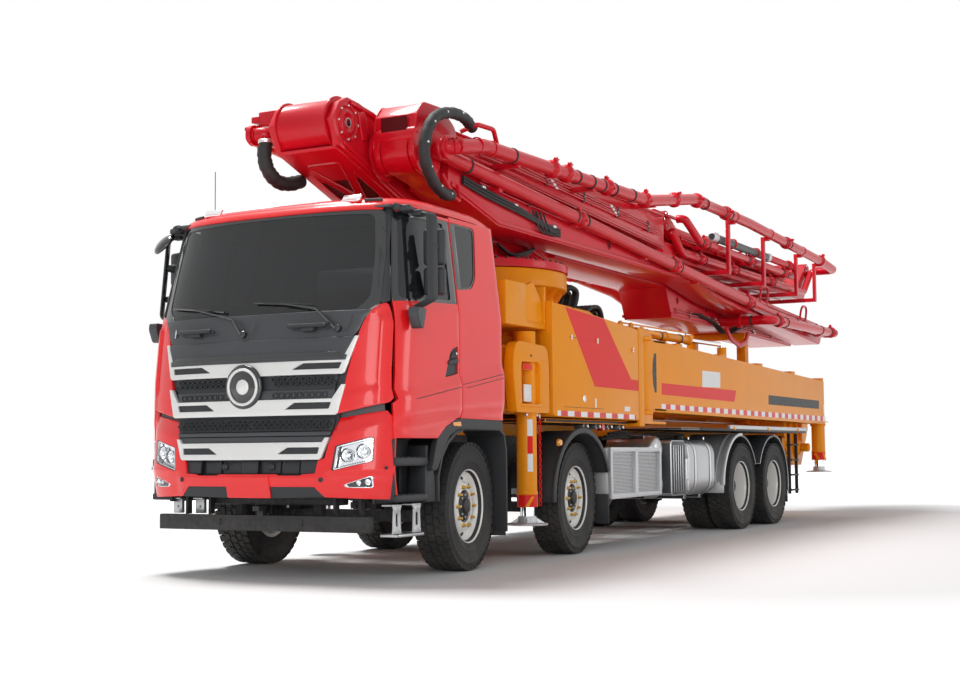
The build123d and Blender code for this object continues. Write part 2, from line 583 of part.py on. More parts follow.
with BuildPart() as boom_2:
    tongue, lane = (470, 730), LANE_L
    side_plate([(-6800, 3005), (-1300, 3235), (-200, 3340), (4165, 3575), (5150, 3590), (5150, 3330),
                (4200, 3110), (-1100, 3110), (-2200, 2960), (-6800, 2675)], *lane)
    side_plate([(5140, 3590), (5400, 3610), (5545, 3700), (5545, 3400), (5140, 3330)], *tongue)
    cross_bar(*J23, 190, *tongue)
    cross_bar(*J12, 165, *lane)
    cross_bar(*J12, 60 + FIT, 380, 780, mode=Mode.SUBTRACT)
    cross_bar(*J23, 60 + FIT, 380, 830, mode=Mode.SUBTRACT)
    pipe_run([(J23[0], SWIVEL_Y - 5, J23[1]), (J23[0], PIPE_B_Y, J23[1]), (2600, PIPE_B_Y, 3400),
              (-700, PIPE_B_Y, 3180), (-3900, PIPE_B_Y, 2960), (J12[0], PIPE_B_Y, J12[1]),
              (J12[0], SWIVEL_Y - 5, J12[1])], PIPE_R, [85, 1500, 1500, 1500, 85])
    for x, z in ((4300, 3495), (2600, 3400), (700, 3275), (-1000, 3160), (-3900, 2965), (-5600, 2895)):
        block((x - 30, x + 30), (780, PIPE_B_Y), (z - 90, z - 40))
finish(boom_2, "boom_2")

with BuildPart() as boom_3:
    side_plate([(5330, 3640), (4165, 3620), (-50, 3405), (-50, 3820), (5100, 3850), (5330, 3800)], *LANE_L)
    for low, high in ((400, 455), (745, 800)):
        cross_bar(*J23, 190, low, high)
        side_plate([(5545, 3775), (5200, 3800), (5200, 3640), (5400, 3620), (5545, 3500)], low, high)
    cross_bar(*J23, 60, 400, 800)
    side_plate([(-50, 3580), (-50, 3820), (500, 3820), (500, 3580)], -250, 800)
    side_plate([(-50, 3580), (-1300, 3580), (-1600, 3380), (-6450, 3380), (-6800, 3720), (-6800, 3990),
                (-6450, 3860), (-50, 3820)], -250, 300)
    cross_bar(*J34, 140, -250, 300)
    cross_bar(*J34, 45, 290, 660)
    pipe_run([(J23[0], SWIVEL_Y + 5, J23[1]), (J23[0], PIPE_A_Y, J23[1]), (5000, PIPE_A_Y, 3690),
              (1150, PIPE_A_Y, 3785), (-350, PIPE_A_Y, 4030), (-2500, PIPE_A_Y, 4030), (-6150, PIPE_A_Y, 3915),
              (J34[0], PIPE_A_Y, J34[1]), (J34[0], 800, J34[1])], PIPE_R, [85, 300, 500, 500, 1500, 500, 85])
    for x in (-460, -1550):
        with Locations(Location((x, PIPE_A_Y, 4030), (0, 90, 0))):
            Cylinder(90, 56)
    for x, z in ((4300, 3700), (2600, 3750), (900, 3830)):
        block((x - 30, x + 30), (780, PIPE_A_Y), (z - 80, z - 30))
    for x, top in ((-1900, 3990), (-3400, 3960), (-5000, 3910), (-6000, 3880)):
        block((x - 40, x + 40), (100, 1000), (3285, 3340))
        block((x - 40, x + 40), (100, 250), (3330, 3400))
        block((x - 40, x + 40), (960, 1000), (3285, top))
        block((x - 40, x + 40), (960, PIPE_A_Y), (top - 50, top))
finish(boom_3, "boom_3")

with BuildPart() as boom_4:
    side_plate([(-6925, 3800), (-6600, 3400), (-6300, 3370), (-440, 3370), (-440, 3565), (-6200, 3565),
                (-6700, 3945)], *SMALL_LANE)
    side_plate([(-440, 3500), (-440, 3840), (-680, 3840), (-700, 3500)], 470, 570)
    cross_bar(*J34, 130, *SMALL_LANE)
    cross_bar(*J45, 120, 470, 570)
    cross_bar(*J34, 45 + FIT, 380, 700, mode=Mode.SUBTRACT)
    cross_bar(*J45, 35 + FIT, 380, 700, mode=Mode.SUBTRACT)
    pipe_run([(J34[0], 790, J34[1]), (J34[0], 706, J34[1]), (-6350, 706, 3480), (-900, 706, 3460),
              (-560, 706, 3700)], 50, [80, 200, 300])
    for x in (-5900, -4000, -2000):
        block((x - 30, x + 30), (630, 700), (3440, 3490))
finish(boom_4, "boom_4")

with BuildPart() as boom_5:
    side_plate([(-720, 3610), (-720, 3790), (-5420, 3735), (-5420, 3610)], *SMALL_LANE)
    for low, high in ((400, 455), (585, 640)):
        cross_bar(*J45, 120, low, high)
        side_plate([(-560, 3955), (-900, 3785), (-900, 3610), (-700, 3610), (-560, 3725)], low, high)
    cross_bar(*J45, 35, 400, 660)
    pipe_run([(J45[0], 780, J45[1]), (J45[0], 880, J45[1]), (-1100, 880, 3620), (-5280, 880, 3600),
              (-5330, 880, 3745), (-3900, 880, 3745)], 50, [60, 200, 62, 62])
    for x in (-1500, -3300, -5000):
        block((x - 30, x + 30), (630, 880), (3575, 3625))
finish(boom_5, "boom_5")

with BuildPart() as end_hose:
    long_bar(880, 3745, 56, -3900, -1700)
    long_bar(880, 3745, 70, -1700, -1550)
finish(end_hose, "end_hose")
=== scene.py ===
"""A four-axle concrete pump truck in metres: finish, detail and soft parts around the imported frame.

+X is the way the truck drives, +Y its left side, +Z up. A name that ends in _y or _z holds a place
on that axis, and (x, z), (y, z) or (x, y) pairs are outlines in that plane.
"""
import json
import math

import bmesh
import bpy
from mathutils import Matrix, Vector
from mathutils.geometry import intersect_point_tri_2d, tessellate_polygon


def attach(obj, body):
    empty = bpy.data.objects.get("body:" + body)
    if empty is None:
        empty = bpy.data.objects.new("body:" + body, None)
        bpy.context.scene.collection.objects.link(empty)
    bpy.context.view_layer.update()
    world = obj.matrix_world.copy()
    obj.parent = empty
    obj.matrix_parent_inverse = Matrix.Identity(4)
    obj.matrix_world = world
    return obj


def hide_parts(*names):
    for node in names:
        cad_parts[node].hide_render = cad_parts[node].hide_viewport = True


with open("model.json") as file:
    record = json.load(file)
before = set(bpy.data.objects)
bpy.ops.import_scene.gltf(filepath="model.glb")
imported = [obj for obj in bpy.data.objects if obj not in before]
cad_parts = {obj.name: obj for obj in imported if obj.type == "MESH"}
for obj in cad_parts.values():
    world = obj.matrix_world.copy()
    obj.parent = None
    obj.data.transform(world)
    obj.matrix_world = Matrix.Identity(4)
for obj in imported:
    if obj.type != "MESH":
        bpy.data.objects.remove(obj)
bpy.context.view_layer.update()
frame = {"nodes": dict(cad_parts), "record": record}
NODES = frame["nodes"]
SIDES = (("left", 1), ("right", -1))
SHARP = math.radians(28)  # edges that turn more than this are bevelled


# ------------------------------------------------------------------ node groups shared by materials
def new_group(name, inputs, outputs):
    """A shader node group with named sockets, each (name, type, default)."""
    tree = bpy.data.node_groups.new(name, "ShaderNodeTree")
    for label, kind, default in inputs:
        socket = tree.interface.new_socket(name=label, in_out="INPUT", socket_type=kind)
        socket.default_value = default
    for label, kind in outputs:
        tree.interface.new_socket(name=label, in_out="OUTPUT", socket_type=kind)
    return tree, tree.nodes.new("NodeGroupInput"), tree.nodes.new("NodeGroupOutput")


def noise(tree, scale, detail=3.0):
    """Noise on the piece's own coordinates; scale is a number or a socket."""
    place = tree.nodes.new("ShaderNodeTexCoord")
    node = tree.nodes.new("ShaderNodeTexNoise")
    node.inputs["Detail"].default_value = detail
    tree.links.new(place.outputs["Object"], node.inputs["Vector"])
    if isinstance(scale, (int, float)):
        node.inputs["Scale"].default_value = scale
    else:
        tree.links.new(scale, node.inputs["Scale"])
    return node.outputs["Fac"]


def mapped(tree, value, low_in, high_in, low, high):
    """Value moved from one range to another; low and high are numbers or sockets."""
    node = tree.nodes.new("ShaderNodeMapRange")
    tree.links.new(value, node.inputs["Value"])
    for label, entry in (("From Min", low_in), ("From Max", high_in), ("To Min", low), ("To Max", high)):
        if isinstance(entry, (int, float)):
            node.inputs[label].default_value = entry
        else:
            tree.links.new(entry, node.inputs[label])
    return node.outputs["Result"]


def mixed(tree, factor, first, second):
    """Colour mix; each entry is a socket or a plain value."""
    node = tree.nodes.new("ShaderNodeMix")
    node.data_type = "RGBA"
    for index, entry in ((0, factor), (6, first), (7, second)):
        if isinstance(entry, bpy.types.NodeSocket):
            tree.links.new(entry, node.inputs[index])
        else:
            node.inputs[index].default_value = entry
    return node.outputs[2]


def make_grain_group():
    """Fine relief over a surface: gives a normal and the grain's own value."""
    tree, given, result = new_group(
        "surface_grain",
        [("Scale", "NodeSocketFloat", 200.0), ("Depth", "NodeSocketFloat", 0.0002)],
        [("Normal", "NodeSocketVector"), ("Grain", "NodeSocketFloat")])
    grain = noise(tree, given.outputs["Scale"])
    bump = tree.nodes.new("ShaderNodeBump")
    tree.links.new(grain, bump.inputs["Height"])
    tree.links.new(given.outputs["Depth"], bump.inputs["Distance"])
    tree.links.new(bump.outputs["Normal"], result.inputs["Normal"])
    tree.links.new(grain, result.inputs["Grain"])
    return tree


def make_tone_group():
    """Slow change of colour over a panel, and road film that thins out with height."""
    tree, given, result = new_group(
        "tone_and_film",
        [("Colour", "NodeSocketColor", (0.5, 0.5, 0.5, 1)), ("Vary", "NodeSocketFloat", 0.08),
         ("Film", "NodeSocketFloat", 0.3), ("Film Top", "NodeSocketFloat", 1.1)],
        [("Colour", "NodeSocketColor"), ("Mask", "NodeSocketFloat")])
    place = tree.nodes.new("ShaderNodeTexCoord")
    split = tree.nodes.new("ShaderNodeSeparateXYZ")
    tree.links.new(place.outputs["Object"], split.inputs["Vector"])
    height = mapped(tree, split.outputs["Z"], 0.1, given.outputs["Film Top"], given.outputs["Film"], 0.0)
    film = tree.nodes.new("ShaderNodeMath")
    film.operation = "MULTIPLY"
    tree.links.new(height, film.inputs[0])
    tree.links.new(mapped(tree, noise(tree, 5.0, 5.0), 0.35, 0.7, 0.1, 1.0), film.inputs[1])
    shade = tree.nodes.new("ShaderNodeHueSaturation")
    spread = mapped(tree, noise(tree, 1.6), 0.3, 0.7, 0.0, 1.0)
    dark = tree.nodes.new("ShaderNodeMath")
    dark.operation = "MULTIPLY_ADD"
    tree.links.new(spread, dark.inputs[0])
    tree.links.new(given.outputs["Vary"], dark.inputs[1])
    dark.inputs[2].default_value = 0.97
    tree.links.new(dark.outputs[0], shade.inputs["Value"])
    tree.links.new(given.outputs["Colour"], shade.inputs["Color"])
    colour = mixed(tree, film.outputs[0], shade.outputs["Color"], (0.30, 0.27, 0.23, 1))
    tree.links.new(colour, result.inputs["Colour"])
    tree.links.new(film.outputs[0], result.inputs["Mask"])
    return tree


def make_wear_and_highlight_group():
    """Mask of convex edges, broken up by noise, where a finish is rubbed and where a painted highlight lightens the
    edge.
    """
    tree, given, result = new_group(
        "edge_wear_and_highlight",
        [("Low", "NodeSocketFloat", 0.53), ("High", "NodeSocketFloat", 0.60),
         ("Amount", "NodeSocketFloat", 0.5)],
        [("Mask", "NodeSocketFloat")])
    geometry = tree.nodes.new("ShaderNodeNewGeometry")
    edge = mapped(tree, geometry.outputs["Pointiness"], given.outputs["Low"], given.outputs["High"], 0.0,
                  given.outputs["Amount"])
    broken = tree.nodes.new("ShaderNodeMath")
    broken.operation = "MULTIPLY"
    tree.links.new(edge, broken.inputs[0])
    tree.links.new(mapped(tree, noise(tree, 25.0), 0.35, 0.65, 0.0, 1.0), broken.inputs[1])
    tree.links.new(broken.outputs[0], result.inputs["Mask"])
    return tree


GRAIN, TONE, WEAR_AND_HIGHLIGHT = make_grain_group(), make_tone_group(), make_wear_and_highlight_group()


def placed(tree, group, **values):
    """A node group placed in a material with its own values."""
    node = tree.nodes.new("ShaderNodeGroup")
    node.node_tree = group
    for label, value in values.items():
        node.inputs[label.replace("_", " ")].default_value = value
    return node


# ------------------------------------------------------------------ materials
def finish(name, colour, rough, metal=0.0, coat=0.0, grain=(200.0, 0.0), vary=0.08, film=0.0, film_top=1.1,
           edge=None, edge_amount=0.0, spread=0.05, specular=0.5):
    """A surface finish: tone, film, and edge wear with a painted edge highlight feed the colour, and the grain feeds
    roughness and relief.
    """
    material = bpy.data.materials.new(name)
    material.use_nodes = True
    tree = material.node_tree
    shader = tree.nodes["Principled BSDF"]
    tone = placed(tree, TONE, Colour=(*colour, 1), Vary=vary, Film=film, Film_Top=film_top)
    relief = placed(tree, GRAIN, Scale=grain[0], Depth=grain[1])
    base = tone.outputs["Colour"]
    # lighter colour on convex edges: partly wear, partly a painted highlight
    if edge:
        worn_and_lit = placed(tree, WEAR_AND_HIGHLIGHT, Amount=edge_amount)
        base = mixed(tree, worn_and_lit.outputs["Mask"], base, (*edge, 1))
    tree.links.new(base, shader.inputs["Base Color"])
    tree.links.new(mapped(tree, relief.outputs["Grain"], 0.3, 0.7, max(rough - spread, 0.02), rough + spread),
                   shader.inputs["Roughness"])
    if grain[1]:
        tree.links.new(relief.outputs["Normal"], shader.inputs["Normal"])
    shader.inputs["Metallic"].default_value = metal
    shader.inputs["Coat Weight"].default_value = coat
    shader.inputs["Coat Roughness"].default_value = 0.06
    shader.inputs["Specular IOR Level"].default_value = specular
    return material


def glass(name, colour, rough, weight):
    """Tinted glass that lets the weight given through."""
    material = bpy.data.materials.new(name)
    material.use_nodes = True
    tree = material.node_tree
    shader = tree.nodes["Principled BSDF"]
    shader.inputs["Base Color"].default_value = (*colour, 1)
    shader.inputs["Transmission Weight"].default_value = weight
    shader.inputs["IOR"].default_value = 1.45
    dust = noise(tree, 0.8)
    tree.links.new(mapped(tree, dust, 0.3, 0.7, rough, rough + 0.004), shader.inputs["Roughness"])
    return material


def banded(name, first, second, pitch, rough, slope=0.0):
    """Stripes of two colours along X, each half a pitch wide, leaning by the slope."""
    material = bpy.data.materials.new(name)
    material.use_nodes = True
    tree = material.node_tree
    shader = tree.nodes["Principled BSDF"]
    place = tree.nodes.new("ShaderNodeTexCoord")
    split = tree.nodes.new("ShaderNodeSeparateXYZ")
    tree.links.new(place.outputs["Object"], split.inputs["Vector"])
    lean = tree.nodes.new("ShaderNodeMath")
    lean.operation = "MULTIPLY_ADD"
    tree.links.new(split.outputs["Z"], lean.inputs[0])
    lean.inputs[1].default_value = slope
    tree.links.new(split.outputs["X"], lean.inputs[2])
    turn = tree.nodes.new("ShaderNodeMath")
    turn.operation = "PINGPONG"
    tree.links.new(lean.outputs[0], turn.inputs[0])
    turn.inputs[1].default_value = pitch / 2
    step = tree.nodes.new("ShaderNodeMath")
    step.operation = "GREATER_THAN"
    tree.links.new(turn.outputs[0], step.inputs[0])
    step.inputs[1].default_value = pitch / 4
    base = mixed(tree, step.outputs[0], (*first, 1), (*second, 1))
    tree.links.new(base, shader.inputs["Base Color"])
    tree.links.new(mapped(tree, noise(tree, 300.0), 0.3, 0.7, rough, rough + 0.1), shader.inputs["Roughness"])
    return material


# the edge colours below are lighter tones on convex edges: partly wear, partly a painted highlight
FINISH = {
    "cab_red": finish("cab_red", (0.90, 0.010, 0.013), 0.34, coat=0.5, specular=0.35, grain=(700.0, 0.00004),
                      vary=0.05),
    "boom_red": finish("boom_red", (0.62, 0.004, 0.016), 0.36, coat=0.22, specular=0.2,
                       grain=(420.0, 0.00008), vary=0.09,
                       edge=(0.72, 0.03, 0.05), edge_amount=0.2),
    # very dark red: painted shade laid in pockets, holes and openings
    "pocket_shade_red": finish("pocket_shade_red", (0.09, 0.001, 0.003), 0.60, vary=0.1, specular=0.2),
    "body_orange": finish("body_orange", (0.89, 0.30, 0.003), 0.42, coat=0.08, specular=0.14,
                          grain=(450.0, 0.00006), vary=0.07,
                          edge=(0.9, 0.42, 0.05), edge_amount=0.2),
    "band_red": finish("band_red", (0.80, 0.014, 0.012), 0.40, coat=0.1, specular=0.15, vary=0.04),
    "frame_black": finish("frame_black", (0.014, 0.014, 0.015), 0.52, specular=0.35, grain=(260.0, 0.00015),
                          film=0.10, vary=0.15,
                          edge=(0.09, 0.09, 0.09), edge_amount=0.5),
    "trim_black": finish("trim_black", (0.030, 0.032, 0.035), 0.52, specular=0.35, grain=(900.0, 0.00012),
                         vary=0.10),
    "panel_grey": finish("panel_grey", (0.045, 0.049, 0.055), 0.42, grain=(1100.0, 0.00008), vary=0.08),
    "gloss_black": finish("gloss_black", (0.012, 0.013, 0.015), 0.16, coat=0.6, vary=0.05),
    "trim_silver": finish("trim_silver", (0.80, 0.80, 0.79), 0.42, metal=0.25, coat=0.4,
                          grain=(900.0, 0.00003),
                          vary=0.03),
    "tyre_rubber": finish("tyre_rubber", (0.020, 0.020, 0.021), 0.72, grain=(180.0, 0.0004), film=0.16,
                          film_top=0.9, vary=0.2, spread=0.1, specular=0.35),
    "rim_white": finish("rim_white", (0.86, 0.86, 0.84), 0.32, coat=0.4, grain=(300.0, 0.00005), film=0.04,
                        film_top=0.8, vary=0.03),
    "brass": finish("brass", (0.62, 0.40, 0.12), 0.33, metal=1.0, grain=(500.0, 0.0001), vary=0.15),
    "steel": finish("steel", (0.60, 0.61, 0.62), 0.36, metal=0.9, grain=(400.0, 0.0001), vary=0.15),
    "rod_chrome": finish("rod_chrome", (0.82, 0.83, 0.84), 0.12, metal=1.0, vary=0.05),
    "tank_alloy": finish("tank_alloy", (0.46, 0.47, 0.48), 0.34, metal=0.8, grain=(160.0, 0.0001), vary=0.08,
                         film=0.05),
    "guard_alloy": finish("guard_alloy", (0.56, 0.57, 0.585), 0.42, metal=0.5, grain=(350.0, 0.00006),
                          vary=0.06),
    "hose_black": finish("hose_black", (0.014, 0.014, 0.015), 0.66, grain=(520.0, 0.0008), vary=0.2,
                         spread=0.12),
    "hose_rubber": finish("hose_rubber", (0.10, 0.11, 0.11), 0.55, grain=(300.0, 0.0003), vary=0.15),
    "seat_cloth": finish("seat_cloth", (0.030, 0.031, 0.034), 0.85, grain=(1400.0, 0.0006), vary=0.15,
                         spread=0.1),
    "cabin_grey": finish("cabin_grey", (0.10, 0.105, 0.11), 0.65, grain=(800.0, 0.0002), vary=0.1),
    "lamp_silver": finish("lamp_silver", (0.86, 0.87, 0.88), 0.12, metal=1.0, vary=0.02),
    "lamp_amber": finish("lamp_amber", (0.95, 0.36, 0.02), 0.25, coat=0.8, vary=0.05),
    "lamp_red": finish("lamp_red", (0.70, 0.01, 0.01), 0.25, coat=0.8, vary=0.05),
    "mirror_glass": finish("mirror_glass", (0.85, 0.87, 0.88), 0.03, metal=1.0, vary=0.0, spread=0.0),
    "plate_white": finish("plate_white", (0.82, 0.83, 0.84), 0.45, grain=(500.0, 0.00004), vary=0.03),
    "window_glass": glass("window_glass", (0.085, 0.095, 0.102), 0.0, 0.90),
    "side_glass": glass("side_glass", (0.030, 0.034, 0.037), 0.02, 0.45),
    "lamp_clear": glass("lamp_clear", (0.97, 0.98, 1.0), 0.0, 1.0),
    "reflector": banded("reflector", (0.86, 0.86, 0.85), (0.72, 0.02, 0.02), 0.30, 0.35),
}


# ------------------------------------------------------------------ repeats by geometry nodes
def repeat_tree(name, extra, points):
    """A tree that puts copies of Item on the points made by the builder, realised and given Material."""
    tree = bpy.data.node_groups.new(name, "GeometryNodeTree")
    for label, kind in [("Item", "NodeSocketObject"), ("Material", "NodeSocketMaterial")] + extra:
        tree.interface.new_socket(name=label, in_out="INPUT", socket_type=kind)
    tree.interface.new_socket(name="Geometry", in_out="OUTPUT", socket_type="NodeSocketGeometry")
    given, result = tree.nodes.new("NodeGroupInput"), tree.nodes.new("NodeGroupOutput")
    geometry, rotation = points(tree, given)
    info = tree.nodes.new("GeometryNodeObjectInfo")
    put = tree.nodes.new("GeometryNodeInstanceOnPoints")
    real = tree.nodes.new("GeometryNodeRealizeInstances")
    dress = tree.nodes.new("GeometryNodeSetMaterial")
    tree.links.new(given.outputs["Item"], info.inputs["Object"])
    tree.links.new(geometry, put.inputs["Points"])
    tree.links.new(info.outputs["Geometry"], put.inputs["Instance"])
    if rotation:
        tree.links.new(rotation, put.inputs["Rotation"])
    tree.links.new(put.outputs["Instances"], real.inputs["Geometry"])
    tree.links.new(real.outputs["Geometry"], dress.inputs["Geometry"])
    tree.links.new(given.outputs["Material"], dress.inputs["Material"])
    tree.links.new(dress.outputs["Geometry"], result.inputs["Geometry"])
    return tree


def ring_points(tree, given):
    """Points on a circle about Z, each turned to face outwards."""
    circle = tree.nodes.new("GeometryNodeMeshCircle")
    tree.links.new(given.outputs["Count"], circle.inputs["Vertices"])
    tree.links.new(given.outputs["Radius"], circle.inputs["Radius"])
    index = tree.nodes.new("GeometryNodeInputIndex")
    share = tree.nodes.new("ShaderNodeMath")
    share.operation = "DIVIDE"
    tree.links.new(index.outputs[0], share.inputs[0])
    tree.links.new(given.outputs["Count"], share.inputs[1])
    turn = tree.nodes.new("ShaderNodeMath")
    turn.operation = "MULTIPLY"
    tree.links.new(share.outputs[0], turn.inputs[0])
    turn.inputs[1].default_value = 2 * math.pi
    spin = tree.nodes.new("ShaderNodeCombineXYZ")
    tree.links.new(turn.outputs[0], spin.inputs["Z"])
    return circle.outputs["Mesh"], spin.outputs["Vector"]


def grid_points(tree, given):
    """Points on a flat grid in X and Y, centred on the origin."""
    grid = tree.nodes.new("GeometryNodeMeshGrid")
    for label in ("Size X", "Size Y", "Vertices X", "Vertices Y"):
        tree.links.new(given.outputs[label], grid.inputs[label])
    return grid.outputs["Mesh"], None


TREES = {
    "ring": repeat_tree("ring_of_items", [("Count", "NodeSocketInt"), ("Radius", "NodeSocketFloat")],
                        ring_points),
    "grid": repeat_tree("grid_of_items",
                        [("Size X", "NodeSocketFloat"), ("Size Y", "NodeSocketFloat"),
                         ("Vertices X", "NodeSocketInt"),
                         ("Vertices Y", "NodeSocketInt")], grid_points),
}


def repeated(kind, item, place, material, **inputs):
    """A mesh of copies of the item shape, laid out by a repeat tree and moved by the place matrix."""
    mesh = bpy.data.meshes.new("item")
    item.bm.to_mesh(mesh)
    item.bm.free()
    source = bpy.data.objects.new("item", mesh)
    holder = bpy.data.objects.new("holder", bpy.data.meshes.new("holder"))
    for obj in (source, holder):
        bpy.context.scene.collection.objects.link(obj)
    modifier = holder.modifiers.new("repeat", "NODES")
    modifier.node_group = TREES[kind]
    values = {"Item": source, "Material": FINISH[material]}
    values.update({label.replace("_", " "): value for label, value in inputs.items()})
    for socket in TREES[kind].interface.items_tree:
        if socket.in_out == "INPUT":
            modifier[socket.identifier] = values[socket.name]
    holder.update_tag()
    graph = bpy.context.evaluated_depsgraph_get()
    made = bpy.data.meshes.new_from_object(holder.evaluated_get(graph))
    for obj in (source, holder):
        bpy.data.objects.remove(obj)
    made.transform(place)
    return made


# ------------------------------------------------------------------ mesh tools
def facing(origin, along, up=(0, 0, 1)):
    """A matrix whose Z runs along the direction given, at the origin given."""
    z = Vector(along).normalized()
    x = Vector(up).cross(z)
    if x.length < 1e-4:
        x = Vector((1, 0, 0)).cross(z)
        if x.length < 1e-4:
            x = Vector((0, 1, 0)).cross(z)
    x.normalize()
    y = z.cross(x)
    turn = Matrix((x, y, z)).transposed().to_4x4()
    return Matrix.Translation(Vector(origin)) @ turn


def rounded(points, radius, steps=4):
    """The outline with each corner rounded; radius is one number or a list."""
    out = []
    count = len(points)
    for i, corner in enumerate(points):
        size = radius[i] if isinstance(radius, (list, tuple)) else radius
        here = Vector(corner)
        back, on = Vector(points[i - 1]) - here, Vector(points[(i + 1) % count]) - here
        reach = min(size, back.length * 0.49, on.length * 0.49)
        if reach < 1e-5:
            out.append(tuple(here))
            continue
        a, b = here + back.normalized() * reach, here + on.normalized() * reach
        for k in range(steps + 1):
            t = k / steps
            out.append(tuple(a * (1 - t) ** 2 + here * 2 * t * (1 - t) + b * t ** 2))
    return out


def bent(points, radius, steps=6):
    """A route of straight runs with round bends; radius is one number or one for each inner point."""
    points = [Vector(p) for p in points]
    out = [points[0]]
    for i in range(1, len(points) - 1):
        size = radius[i - 1] if isinstance(radius, (list, tuple)) else radius
        here = points[i]
        back, on = points[i - 1] - here, points[i + 1] - here
        half = back.angle(on) / 2
        reach = min(size / max(math.tan(half), 1e-3), back.length * 0.49, on.length * 0.49)
        a, b = here + back.normalized() * reach, here + on.normalized() * reach
        for k in range(steps + 1):
            t = k / steps
            out.append(a * (1 - t) ** 2 + here * 2 * t * (1 - t) + b * t ** 2)
    return out + [points[-1]]


def flowing(points, steps=8):
    """A smooth line through the points."""
    p = [Vector(q) for q in points]
    p = [p[0] * 2 - p[1]] + p + [p[-1] * 2 - p[-2]]
    out = []
    for i in range(1, len(p) - 2):
        for k in range(steps):
            t = k / steps
            out.append(0.5 * (2 * p[i] + (p[i + 1] - p[i - 1]) * t
                              + (2 * p[i - 1] - 5 * p[i] + 4 * p[i + 1] - p[i + 2]) * t ** 2
                              + (3 * p[i] - p[i - 1] - 3 * p[i + 1] + p[i + 2]) * t ** 3))
    return out + [p[-2]]


TO_SPACE = {"x": lambda u, v, t: (t, u, v), "y": lambda u, v, t: (u, t, v), "z": lambda u, v, t: (u, v, t)}


def once(items):
    """The items in their own order, each only once, so that every run makes the same mesh."""
    return list(dict.fromkeys(items))


